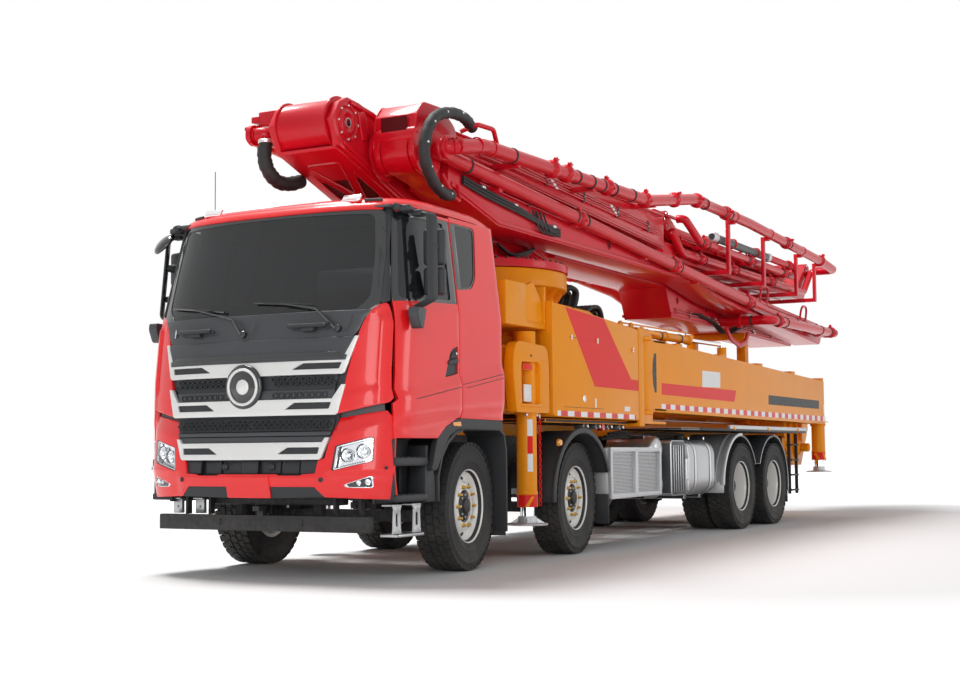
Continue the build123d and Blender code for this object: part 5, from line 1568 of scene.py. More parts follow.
def wheel_nuts(shape, place, radius, height, count=10):
    """Brass sleeved wheel nuts on a bolt circle."""
    shape.use("brass")
    nut = Shape("brass")
    nut.lathe([(0, 0), (0.020, 0), (0.020, 0.005), (0.015, 0.007), (0.015, 0.020), (0.011, 0.023),
               (0.011, 0.034),
               (0.009, 0.036), (0, 0.036)], Matrix.Translation((radius, 0, height)), 12)
    shape.take(repeated("ring", nut, place, "brass", Count=count, Radius=0.0))


def front_rim(shape, place):
    """A white disc wheel that bulges outwards, with hand holes drawn as thin black discs of painted shade, and a
    black hub.
    """
    shape.use("rim_white")
    profile = [(0.30, 0.128), (0.309, 0.132), (0.311, 0.124), (0.300, 0.116), (0.288, 0.10), (0.282, 0.085),
               (0.274, 0.062), (0.262, 0.050), (0.235, 0.058), (0.205, 0.078), (0.196, 0.088), (0.190, 0.092),
               (0.142, 0.092), (0.138, 0.088), (0.138, 0.075), (0.20, 0.06), (0.262, 0.036), (0.272, -0.11),
               (0.300, -0.122), (0.296, -0.10), (0.285, 0.0)]
    shape.lathe(profile[::-1], place, 64, closed=True)
    # hand holes: thin black discs on the rim face, painted shade
    shape.use("trim_black")
    hole = Shape("trim_black")
    hole.lathe([(0, -0.004), (0.021, -0.004), (0.021, 0.004), (0, 0.004)],
               Matrix.Translation((0.238, 0, 0.060)) @ Matrix.Rotation(math.radians(32), 4, "Y"), 16)
    shape.take(repeated("ring", hole, place, "trim_black", Count=8, Radius=0.0))
    shape.use("frame_black")
    shape.lathe([(0, 0.118), (0.052, 0.118), (0.062, 0.112), (0.066, 0.094), (0.108, 0.088), (0.118, 0.080),
                 (0.124, 0.06), (0.137, 0.055), (0.137, 0.02), (0, 0.02)], place, 40)
    bolt = Shape("steel")
    bolt.lathe([(0, 0), (0.009, 0), (0.009, 0.010), (0, 0.012)], Matrix.Translation((0.092, 0, 0.09)), 6)
    shape.use("steel").take(repeated("ring", bolt, place, "steel", Count=8, Radius=0.0))
    wheel_nuts(shape, place, 0.167, 0.090)


def rear_rim(shape, place, inner_place):
    """A deep-dished pair of rims; the disc lies between the tyres."""
    for spot in (place, inner_place):
        shape.use("rim_white")
        profile = [(0.30, 0.128), (0.309, 0.132), (0.311, 0.124), (0.300, 0.116), (0.286, 0.10),
                   (0.278, 0.06),
                   (0.270, -0.10), (0.296, -0.122), (0.302, -0.118), (0.296, -0.09), (0.287, 0.0)]
        shape.lathe(profile[::-1], spot, 56, closed=True)
    disc = [(0.272, -0.085), (0.272, -0.10), (0.24, -0.118), (0.20, -0.135), (0.145, -0.135), (0.145, -0.125),
            (0.195, -0.122), (0.235, -0.104)]
    shape.lathe(disc, place, 56, closed=True)
    # hand holes: thin black discs on the dish, painted shade
    shape.use("trim_black")
    hole = Shape("trim_black")
    hole.lathe([(0, -0.003), (0.024, -0.003), (0.024, 0.004), (0, 0.004)],
               Matrix.Translation((0.232, 0, -0.106)) @ Matrix.Rotation(math.radians(-25), 4, "Y"), 14)
    shape.take(repeated("ring", hole, place, "trim_black", Count=8, Radius=0.0))
    shape.use("frame_black")
    shape.lathe([(0, 0.03), (0.060, 0.03), (0.085, 0.018), (0.098, -0.02), (0.104, -0.10), (0.145, -0.112),
                 (0.145, -0.16), (0, -0.16)], place, 36)
    bolt = Shape("steel")
    bolt.lathe([(0, 0), (0.008, 0), (0.008, 0.010), (0, 0.012)], Matrix.Translation((0.075, 0, 0.022)), 6)
    shape.use("steel").take(repeated("ring", bolt, place, "steel", Count=10, Radius=0.0))
    wheel_nuts(shape, place, 0.167, -0.125)


def make_wheels():
    rest = {1: 6.3, 2: 4.65}
    axle = {1: 5.445, 2: 3.295, 3: -1.495, 4: -2.855}
    for side_name, side in SIDES:
        for number in (1, 2):
            turn = math.radians(rest[number])
            outwards = Vector((-math.sin(turn), math.cos(turn), 0)) * side
            centre = Vector((axle[number], side * 0.90, 0.54)) + outwards * 0.11
            place = facing(centre, outwards)
            shape = Shape("tyre_rubber")
            tyre(shape, place)
            front_rim(shape, place)
            shape.piece(f"road_wheel_{number}_{side_name}", f"wheel_{number}_{side_name}",
                        replaces=(f"wheel_{number}_{side_name}",))
        for number in (3, 4):
            outer = facing((axle[number], side * 1.10, 0.54), (0, side, 0))
            inner = facing((axle[number], side * 0.76, 0.54), (0, side, 0))
            shape = Shape("tyre_rubber")
            tyre(shape, outer)
            tyre(shape, inner)
            rear_rim(shape, outer, inner)
            shape.piece(f"road_wheel_{number}_{side_name}", f"wheel_{number}_{side_name}",
                        replaces=(f"wheel_{number}_{side_name}",))


# ------------------------------------------------------------------ tanks, guards and the pump body
def span(side, near, far):
    """Low and high y between two distances from the middle, on one side."""
    return min(side * near, side * far), max(side * near, side * far)


def side_box(shape, side, x, y, z, bevel=0.0, segments=2):
    """A box given by x, by distances from the middle, and by z."""
    low, high = span(side, *y)
    return shape.box((x[0], low, z[0]), (x[1], high, z[1]), bevel, segments)


def side_prism(shape, side, outline, y, **options):
    """An (x, z) outline between two distances from the middle."""
    low, high = span(side, *y)
    return shape.prism(outline, low, high, **options)


def make_guard_box(side_name, side):
    """The alloy side guard with two perforated panels, their holes painted as black dots of shade on a solid plate.
    """
    shape = Shape("guard_alloy")
    outer = [(1.285, 0.515), (2.66, 0.507), (2.66, 1.028), (1.285, 1.026)]
    windows = [rounded([(1.33, 0.555), (1.945, 0.552), (1.945, 0.985), (1.33, 0.983)], 0.006, 2),
               rounded([(2.015, 0.552), (2.615, 0.550), (2.615, 0.987), (2.015, 0.985)], 0.006, 2)]
    side_prism(shape, side, outer, (1.212, 1.248), holes=windows, bevel=0.004)
    side_prism(shape, side, outer, (1.175, 1.212), holes=windows, bevel=0.003)
    side_box(shape, side, (1.31, 2.64), (1.206, 1.216), (0.53, 1.01))
    side_box(shape, side, (2.64, 2.662), (1.02, 1.20), (0.53, 1.02), 0.004)
    side_box(shape, side, (1.283, 1.305), (1.02, 1.20), (0.53, 1.02), 0.004)
    # perforations: thin black hexagons on the solid plate, painted as the shade seen through holes
    shape.use("frame_black")
    item = Shape("frame_black")
    item.prism([(0.0042 * math.cos(a), 0.0042 * math.sin(a)) for a in (math.pi / 3 * k for k in range(6))],
               0.0, 0.0012, axis="z")
    source = bpy.data.meshes.new("dot")
    item.bm.to_mesh(source)
    for centre, width in ((1.6375, 0.58), (2.315, 0.565)):
        dot = Shape("frame_black")
        dot.bm.from_mesh(source)
        place = facing((centre, side * 1.2163, 0.768), (0, side, 0))
        columns, rows = int(width / 0.0145), 29
        shape.take(repeated("grid", dot, place, "frame_black", Size_X=width, Size_Y=0.405, Vertices_X=columns,
                            Vertices_Y=rows))
    item.bm.free()
    for x in (1.36, 1.98, 2.60):
        for z in (0.535, 1.005):
            shape.use("steel").bolt((x, side * 1.248, z), (0, side, 0), 0.008, 0.006)
    shape.use("frame_black")
    side_box(shape, side, (1.40, 2.50), (0.44, 1.15), (0.56, 0.98), 0.02)
    for x in (1.5, 1.9, 2.3):
        side_box(shape, side, (x, x + 0.06), (0.44, 1.19), (0.93, 0.99), 0.006)
    shape.piece(f"side_guard_{side_name}", "root", smooth=30, replaces=("guard_box",) if side > 0 else ())


def make_tank(side_name, side):
    """The strapped alloy tank, the dark box before it and two air vessels."""
    shape = Shape("tank_alloy")
    low, high = 0.50, 1.235
    section = rounded([(side * low, 0.468), (side * high, 0.468), (side * high, 1.115), (side * low, 1.115)],
                      0.20, 7)
    middle = Vector((side * (low + high) / 2, 0.79))

    def ring_at(scale, x):
        return [(x, *(middle + (Vector(p) - middle) * scale)) for p in section]

    rows = [ring_at(s, x) for s, x in ((0.86, -0.500), (0.95, -0.495), (0.985, -0.482), (1.0, -0.465),
                                       (1.0, 0.375),
                                       (0.985, 0.392), (0.95, 0.405), (0.86, 0.41))]
    size = len(section)
    points = [p for row in rows for p in row]
    faces = [tuple(range(size)), tuple(range(len(points) - size, len(points)))]
    for row in range(len(rows) - 1):
        faces += [(row * size + k, row * size + (k + 1) % size, (row + 1) * size + (k + 1) % size,
                   (row + 1) * size + k) for k in range(size)]
    shape.solid(points, faces)
    for x in (-0.33, 0.18):
        shape.use("steel")
        grown = [tuple(middle + (Vector(p) - middle) * 1.012) for p in section]
        shape.prism(grown, x - 0.032, x + 0.032, axis="x", bevel=0.003)
        shape.use("frame_black")
        grown = [tuple(middle + (Vector(p) - middle) * 1.006) for p in section]
        shape.prism(grown, x - 0.045, x + 0.045, axis="x")
        shape.use("steel")
        shape.bar((x, side * 1.15, 1.118), (x, side * 1.15, 1.145), 0.010, 8)
    shape.use("frame_black").bar((-0.05, side * 0.95, 1.11), (-0.05, side * 0.95, 1.165), 0.055, 24, 0.006)
    for x in (-0.33, 0.18):
        side_box(shape, side, (x - 0.04, x + 0.04), (0.44, 1.10), (0.43, 0.475), 0.008)
        side_box(shape, side, (x - 0.04, x + 0.04), (0.43, 0.50), (0.43, 1.10), 0.008)
    shape.use("panel_grey")
    body = rounded([(0.42, 0.482), (0.865, 0.482), (0.865, 1.108), (0.42, 1.108)], 0.05, 3)
    side_prism(shape, side, body, (0.56, 1.20), bevel=0.012)
    for x in (0.50, 0.57, 0.64, 0.71, 0.78):
        side_box(shape, side, (x, x + 0.03), (1.195, 1.212), (0.53, 1.05), 0.006)
    shape.use("guard_alloy")
    side_box(shape, side, (0.40, 0.43), (0.9, 1.235), (0.53, 0.66), 0.006)
    side_box(shape, side, (0.40, 0.43), (0.9, 1.235), (0.90, 1.05), 0.006)
    shape.use("tank_alloy")
    for z in (1.005, 0.618):
        radius = 0.148
        profile = [(0, 0), (radius, 0), (radius, 0.50), (radius * 0.97, 0.535), (radius * 0.85, 0.565),
                   (radius * 0.6, 0.585), (radius * 0.3, 0.594), (0, 0.597)]
        shape.lathe(profile, facing((1.08, side * 0.56, z), (0, side, 0)), 40)
        shape.bar((1.08, side * 1.15, z), (1.08, side * 1.165, z), 0.018, 12)
    shape.use("frame_black")
    for x in (0.98, 1.14):
        side_box(shape, side, (x, x + 0.03), (0.44, 1.0), (0.46, 1.16), 0.006)
    shape.use("hose_black")
    for k, z in enumerate((1.12, 1.15, 1.18)):
        route = [(1.9 - k * 0.1, side * 0.80, z), (1.4, side * 0.86, z + 0.02), (0.9, side * 0.80, z - 0.01),
                 (0.2, side * 0.86, z + 0.015), (-0.6, side * 0.80, z)]
        shape.tube(flowing(route, 6), 0.014, 8)
    shape.piece(f"tank_and_vessels_{side_name}", "root", smooth=40, replaces=("tanks",) if side > 0 else ())


def make_rear_guards(side_name, side):
    """Alloy mudguard with its rolled lip, black arches, and the edge of the walkway."""
    shape = Shape("guard_alloy")
    turns = [math.radians(a) for a in range(2, 94, 7)]
    wide, tall = 0.70, 0.655

    def arc(grow):
        return [(-1.495 + (wide + grow) * math.cos(a), 0.54 + (tall + grow) * math.sin(a)) for a in turns]

    side_prism(shape, side, arc(0.0) + arc(-0.012)[::-1], (0.62, 1.24))
    side_prism(shape, side, arc(0.010) + arc(-0.028)[::-1], (1.185, 1.245), bevel=0.009, segments=3)
    side_prism(shape, side, arc(0.008) + arc(-0.020)[::-1], (1.10, 1.135), bevel=0.006)
    side_box(shape, side, (-0.805, -0.79), (0.62, 1.235), (0.47, 0.60), 0.004)
    shape.use("trim_black")
    turns = [math.radians(a) for a in range(-10, 94, 7)]
    black = [(-2.855 - 0.66 * math.cos(a), 0.54 + 0.655 * math.sin(a)) for a in turns]
    inner = [(-2.855 - 0.635 * math.cos(a), 0.54 + 0.63 * math.sin(a)) for a in turns]
    side_prism(shape, side, black + inner[::-1], (0.62, 1.24), bevel=0.006)
    turns = [math.radians(a) for a in range(25, 92, 7)]
    for x, sign in ((-1.495, -1), (-2.855, 1)):
        outer = [(x + sign * 0.66 * math.cos(a), 0.54 + 0.64 * math.sin(a)) for a in turns]
        under = [(x + sign * 0.64 * math.cos(a), 0.54 + 0.62 * math.sin(a)) for a in turns]
        side_prism(shape, side, outer + under[::-1], (0.62, 1.235), bevel=0.005)
    side_box(shape, side, (-3.52, -3.505), (0.64, 1.22), (0.27, 0.55), 0.004)
    shape.use("frame_black")
    side_box(shape, side, (-1.06, 0.62), (0.46, 1.245), (1.228, 1.252), 0.004)
    side_box(shape, side, (-4.43, -1.06), (0.46, 1.20), (1.228, 1.250), 0.003)
    shape.use("guard_alloy")
    side_box(shape, side, (-4.434, -1.066), (1.205, 1.248), (1.228, 1.300), 0.006, 3)
    side_box(shape, side, (-4.43, -1.07), (1.10, 1.21), (1.250, 1.258), 0.002)
    shape.use("lamp_amber")
    for x in (-1.20, -2.6, -3.98):
        shape.lathe([(0, 0), (0.024, 0), (0.024, 0.010), (0.016, 0.016), (0, 0.018)],
                    facing((x, side * 1.247, 1.263), (0, side, 0)), 18)
    shape.piece(f"rear_guards_{side_name}", "root", smooth=40,
                replaces=("rear_fenders",) if side > 0 else ())


def strip(shape, side, x0, x1, z0, z1, y, thick=0.0015):
    """A thin applied strip on a side; the heights run straight between the two ends."""
    outline = [(x0, z0[0]), (x1, z1[0]), (x1, z1[1]), (x0, z0[1])]
    side_prism(shape, side, outline, (y, y + thick))


def make_locker(side_name, side):
    """The big orange locker with its red slanted band, door lines, latches and reflective strip."""
    shape = Shape("body_orange")
    face = [(1.897, 1.312), (3.955, 1.318), (3.955, 2.385), (3.70, 2.378), (1.897, 2.275)]
    side_prism(shape, side, face, (1.03, 1.246), bevel=0.010, segments=3)
    plan_low, plan_high = 1.405, 2.27
    points = [(1.90, 0.71), (3.75, 0.71), (3.95, 1.0), (3.95, 1.05), (1.90, 1.05)]
    shape.prism([(x, side * y) for x, y in points], plan_low, plan_high, axis="z", bevel=0.008)
    side_box(shape, side, (3.955, 3.985), (1.10, 1.246), (1.33, 2.40), 0.008)
    shape.use("band_red")
    band = [(3.70, 2.362), (2.79, 2.318), (2.105, 1.737), (1.91, 1.733), (1.91, 1.622), (3.035, 1.628)]
    side_prism(shape, side, band, (1.246, 1.2475))
    shape.use("frame_black")
    for line in (((3.62, 2.083), (2.96, 2.083)), ((3.75, 1.412), (2.83, 1.412))):
        route = [(x, side * 1.2455, z) for x, z in line]
        shape.tube(route, 0.0022, 6)
    shape.use("steel")
    for x, z in ((3.575, 2.085), (2.965, 2.085), (2.05, 2.05)):
        side_box(shape, side, (x - 0.018, x + 0.018), (1.246, 1.256), (z - 0.028, z + 0.028), 0.004)
        shape.bar((x, side * 1.25, z), (x, side * 1.262, z), 0.008, 12)
    shape.lathe([(0, 0), (0.036, 0), (0.036, 0.004), (0.028, 0.008), (0, 0.008)],
                facing((3.29, side * 1.2465, 1.50), (0, side, 0)), 24)
    shape.use("plate_white")
    side_box(shape, side, (3.00, 3.035), (1.246, 1.2475), (1.42, 1.51), 0)
    side_box(shape, side, (2.15, 2.29), (1.246, 1.2475), (1.40, 1.45), 0)
    shape.use("reflector")
    strip(shape, side, 3.90, 1.985, (1.325, 1.375), (1.320, 1.370), 1.2465)
    shape.piece(f"locker_{side_name}", "root", smooth=30, replaces=("lockers",) if side > 0 else ())


def make_pump_body():
    """The fixed frame of the pump body with its top structure and pipework."""
    shape = Shape("body_orange").cad("pump_frame", 0.006)
    for side in (1, -1):
        side_box(shape, side, (3.985, 4.02), (0.95, 1.18), (2.18, 2.53), 0.006)
        side_prism(shape, side, rounded([(4.02, 2.18), (4.42, 2.18), (4.40, 2.50), (4.22, 2.56),
                                         (4.05, 2.40)], 0.03),
                   (1.13, 1.165), bevel=0.006)
        gusset = [(4.40, 2.18), (4.78, 2.18), (4.40, 2.62)]
        side_prism(shape, side, gusset, (0.60, 0.62), bevel=0.004)
        for x in (4.46, 4.74):
            side_box(shape, side, (x - 0.01, x + 0.01), (0.62, 1.15), (2.185, 2.50), 0.004)
        side_prism(shape, side, rounded([(1.885, 2.255), (1.20, 2.255), (1.20, 2.285), (1.885, 2.30)], 0.01),
                   (0.66, 1.235), bevel=0.004)
        hinge = [(1.885, 1.28), (1.885, 1.31), (1.05, 1.31), (1.05, 1.28)]
        side_prism(shape, side, hinge, (0.95, 1.22), bevel=0.004)
        for z in (1.40, 2.20):
            shape.bar((1.60, side * 1.12, z - 0.02), (1.60, side * 1.12, z + 0.02), 0.155, 36, 0.006)
        shape.bar((1.60, side * 1.12, 2.25), (1.60, side * 1.12, 2.32), 0.075, 28, 0.008)
        for k in range(6):
            a = math.pi / 3 * k
            shape.bolt((1.60 + 0.055 * math.cos(a), side * 1.12 + 0.055 * math.sin(a), 2.32), (0, 0, 1),
                       0.010, 0.01)
        for x in (1.36, 1.66):
            side_prism(shape, side, rounded([(x - 0.06, 2.28), (x + 0.06, 2.28), (x + 0.05, 2.38), (x, 2.41),
                                             (x - 0.05, 2.38)], 0.02), (0.93, 0.96), bevel=0.004)
        for x in (2.2, 2.75, 3.3):
            side_box(shape, side, (x, x + 0.16), (0.72, 0.95), (2.27, 2.40), 0.02)
            shape.use("steel")
            shape.bar((x + 0.08, side * 0.95, 2.34), (x + 0.08, side * 1.0, 2.34), 0.022, 14, 0.003)
            shape.use("body_orange")
        shape.tube(bent([(3.6, side * 0.98, 2.42), (2.6, side * 0.98, 2.40), (2.2, side * 0.90, 2.36),
                         (1.9, side * 0.90, 2.34)], 0.08), 0.030, 14)
        shape.use("frame_black")
        for x in (2.4, 3.0, 3.45):
            shape.ring((x, side * 0.965 if x < 2.5 else side * 0.98, 2.405), (1, 0, 0.03), 0.037, 0.029, 0.03)
        shape.use("body_orange")
    for y in (-0.25, 0.0, 0.25):
        shape.box((2.2, y - 0.05, 1.40), (4.0, y + 0.05, 1.48), 0.01)
    shape.use("steel")
    for side in (1, -1):
        for x in (2.05, 2.35, 2.65, 2.95):
            shape.bar((x, side * 0.98, 1.24), (x, side * 1.09, 1.24), 0.026, 16, 0.004)
            shape.bar((x, side * 1.09, 1.24), (x, side * 1.13, 1.24), 0.018, 16, 0.003)
    shape.use("lamp_red")
    for side in (1, -1):
        shape.bar((2.5, side * 1.02, 1.235), (2.5, side * 1.10, 1.235), 0.035, 18, 0.005)
    shape.use("frame_black")
    for side in (1, -1):
        side_box(shape, side, (1.92, 3.9), (0.46, 1.12), (1.265, 1.305), 0.008)
    shape.piece("pump_body", "root", replaces=("pump_frame",), smooth=30)


def make_pedestal():
    """The drum under the slewing ring, its rolled rim, ring bolts and the hose bundle behind."""
    shape = Shape("body_orange")
    shape.box((2.35, -0.63, 2.105), (3.745, 0.63, 2.45), 0.02, 3)
    place = Matrix.Translation((3.045, 0, 0))
    shape.lathe([(0, 2.44), (0.80, 2.44), (0.80, 2.47), (0.74, 2.50), (0.74, 2.56), (0.78, 2.60),
                 (0.855, 2.62),
                 (0.868, 2.635), (0.868, 2.785), (0.858, 2.797), (0, 2.797)], place, 96)
    item = Shape("body_orange")
    item.prism([(0.74, 2.46), (0.84, 2.615), (0.74, 2.615)], -0.008, 0.008, axis="y")
    shape.take(repeated("ring", item, place, "body_orange", Count=20, Radius=0.0))
    shape.piece("pedestal", "root", replaces=("slewing_pedestal",), smooth=40)
    ring = Shape("boom_red")
    ring.lathe([(0.40, 2.807), (0.872, 2.807), (0.880, 2.815), (0.880, 2.845), (0.870, 2.853), (0.80, 2.853),
                (0.80, 2.90), (0.792, 2.908), (0.40, 2.908)], place, 96, closed=True)
    ring.use("frame_black")
    bolt = Shape("frame_black")
    bolt.lathe([(0, 0), (0.020, 0), (0.020, 0.004), (0.0135, 0.005), (0.0135, 0.024), (0.010, 0.028),
                (0, 0.028)],
               Matrix.Translation((0.842, 0, 2.8795)), 6)
    ring.take(repeated("ring", bolt, place, "frame_black", Count=48, Radius=0.0))
    ring.piece("slewing_ring", "turret", smooth=40)
    hoses = Shape("hose_black")
    for k in range(7):
        y = 0.30 + 0.07 * (k % 4)
        z = 2.62 + 0.055 * (k // 4) + 0.03 * (k % 2)
        x = 2.10 - 0.03 * k
        route = [(2.32, y * 0.8, 2.36), (x + 0.05, y, 2.44), (x - 0.10, y + 0.03, z),
                 (x - 0.02, y + 0.02, z + 0.10),
                 (2.24, y * 0.7, 2.70)]
        hoses.tube(flowing(route, 8), 0.028, 12)
    for k in range(5):
        y = 0.55 + 0.05 * k
        route = [(2.20, y, 2.36), (2.10, y + 0.02, 2.50), (1.92, y + 0.05, 2.53), (1.80, y + 0.04, 2.42),
                 (1.78, y, 2.32)]
        hoses.tube(flowing(route, 8), 0.024, 12)
    hoses.piece("ring_hoses", "root", smooth=60)


def make_front_outrigger(side_name, side):
    """The sliding arm, the leg's barrel with its reflective strips, the arched guard, the foot and the chain."""
    arm, leg = f"front_outrigger_{side_name}", f"front_leg_{side_name}"
    x, y = 4.295, side * 1.12
    shape = Shape("body_orange").cad(arm, 0.006)
    outer = rounded([(4.045, 1.345), (4.705, 1.342), (4.775, 1.72), (4.735, 1.985), (4.085, 1.962),
                     (4.045, 1.80)],
                    [0.03, 0.03, 0.10, 0.14, 0.14, 0.10], 6)
    window = rounded([(4.245, 1.425), (4.60, 1.420), (4.615, 1.800), (4.235, 1.805)],
                     [0.01, 0.01, 0.05, 0.05], 4)
    side_prism(shape, side, outer, (1.14, 1.235), holes=[window], bevel=0.016, segments=3)
    rear = rounded([(4.30, 1.36), (4.76, 1.36), (4.80, 1.72), (4.765, 1.95), (4.30, 1.95)],
                   [0.02, 0.03, 0.1, 0.12, 0.02],
                   5)
    side_prism(shape, side, rear, (1.00, 1.10), bevel=0.014, segments=3)
    side_box(shape, side, (4.10, 4.62), (1.03, 1.14), (1.37, 1.40), 0.005)
    side_box(shape, side, (4.215, 4.63), (1.13, 1.245), (1.395, 1.422), 0.006)
    shape.bar((x, y, 0.62), (x, y, 1.42), 0.0925, 40)
    shape.bar((x, y, 0.602), (x, y, 0.632), 0.099, 40, 0.004)
    shape.bar((x, y, 1.325), (x, y, 1.365), 0.108, 40, 0.006)
    shape.use("band_red")
    cuff = Matrix.Translation((x, y, 0))
    shape.lathe([(0.085, 0.492), (0.0965, 0.492), (0.0965, 0.600), (0.085, 0.600)], cuff, 40, closed=True)
    shape.use("body_orange")
    for k in range(3):
        turn = math.radians(90 * side - 75 + k * 75)
        stripe = []
        for t in range(7):
            a = turn + 0.10 * t
            stripe.append((a, 0.493 + t * 0.0155))
        points, faces = [], []
        for a, z in stripe:
            for da in (0.0, 0.34):
                for r in (0.0960, 0.0985):
                    points.append((x + r * math.cos(a + da), y + r * math.sin(a + da), z))
        for i in range(len(stripe) - 1):
            b = i * 4
            faces += [(b, b + 2, b + 6, b + 4), (b + 1, b + 3, b + 7, b + 5), (b, b + 1, b + 5, b + 4),
                      (b + 2, b + 3, b + 7, b + 6)]
        faces += [(0, 1, 3, 2), (len(points) - 4, len(points) - 3, len(points) - 1, len(points) - 2)]
        shape.solid(points, faces)
    for low, high, name in ((1.135, 1.285, "plate_white"), (0.975, 1.131, "band_red"),
                            (0.811, 0.971, "plate_white")):
        shape.use(name)
        patch, faces = [], []
        turns = [side * math.radians(31 + 8 * k) for k in range(5)]
        for a in turns:
            for r in (0.092, 0.0942):
                for z in (low, high):
                    patch.append((x + r * math.cos(a), y + r * math.sin(a), z))
        for i in range(4):
            b = i * 4
            faces += [(b, b + 1, b + 5, b + 4), (b + 2, b + 3, b + 7, b + 6), (b, b + 2, b + 6, b + 4),
                      (b + 1, b + 3, b + 7, b + 5)]
        faces += [(0, 1, 3, 2), (16, 17, 19, 18)]
        shape.solid(patch, faces)
    shape.use("plate_white")
    side_box(shape, side, (4.38, 4.53), (1.205, 1.218), (1.44, 1.60), 0.003)
    shape.use("band_red")
    side_box(shape, side, (4.36, 4.53), (1.205, 1.216), (1.73, 1.785), 0.003)
    shape.use("frame_black")
    shape.lathe([(0, 0), (0.012, 0), (0.012, 0.004), (0, 0.004)],
                facing((4.42, side * 1.2355, 1.86), (0, side, 0)), 14)
    shape.use("steel")
    for dx in (-0.09, 0.12):
        shape.bolt((x + dx, y + side * 0.06, 1.333), (0, 0, -1), 0.016, 0.02)
    shape.use("band_red")
    for k in range(24):
        spot = Matrix.Translation((4.105, side * 1.16,
                                   1.285 - k * 0.0335)) @ Matrix.Rotation(math.pi / 2 * (k % 2), 4,
                                                                                              "Z")
        link = [(0.0, 0.0, 0.021), (0.011, 0, 0.013), (0.011, 0, -0.013), (0.0, 0, -0.021),
                (-0.011, 0, -0.013),
                (-0.011, 0, 0.013), (0.0, 0.0, 0.021)]
        shape.tube([spot @ Vector(p) for p in link], 0.0045, 5, caps=False)
    shape.use("steel").bar((4.105, side * 1.16, 1.30), (4.105, side * 1.16, 1.335), 0.007, 10)
    shape.piece(f"front_arm_{side_name}", arm, replaces=(arm,), smooth=40)

    foot = Shape("rod_chrome")
    foot.bar((x, y, 0.40), (x, y, 1.95), 0.065, 36)
    foot.use("guard_alloy")
    foot.lathe([(0, 0.326), (0.186, 0.326), (0.189, 0.332), (0.189, 0.338), (0.180, 0.344), (0.10, 0.350),
                (0.088, 0.362), (0.084, 0.40), (0.078, 0.408), (0, 0.408)], Matrix.Translation((x, y, 0)), 48)
    for k in range(4):
        rib = Matrix.Translation((x, y, 0)) @ Matrix.Rotation(math.pi / 2 * k + 0.4, 4, "Z")
        foot.prism([(0.07, 0.342), (0.165, 0.342), (0.09, 0.39), (0.07, 0.39)], -0.006, 0.006, axis="y",
                   place=rib)
    foot.piece(f"front_foot_{side_name}", leg, replaces=(leg,), smooth=40)


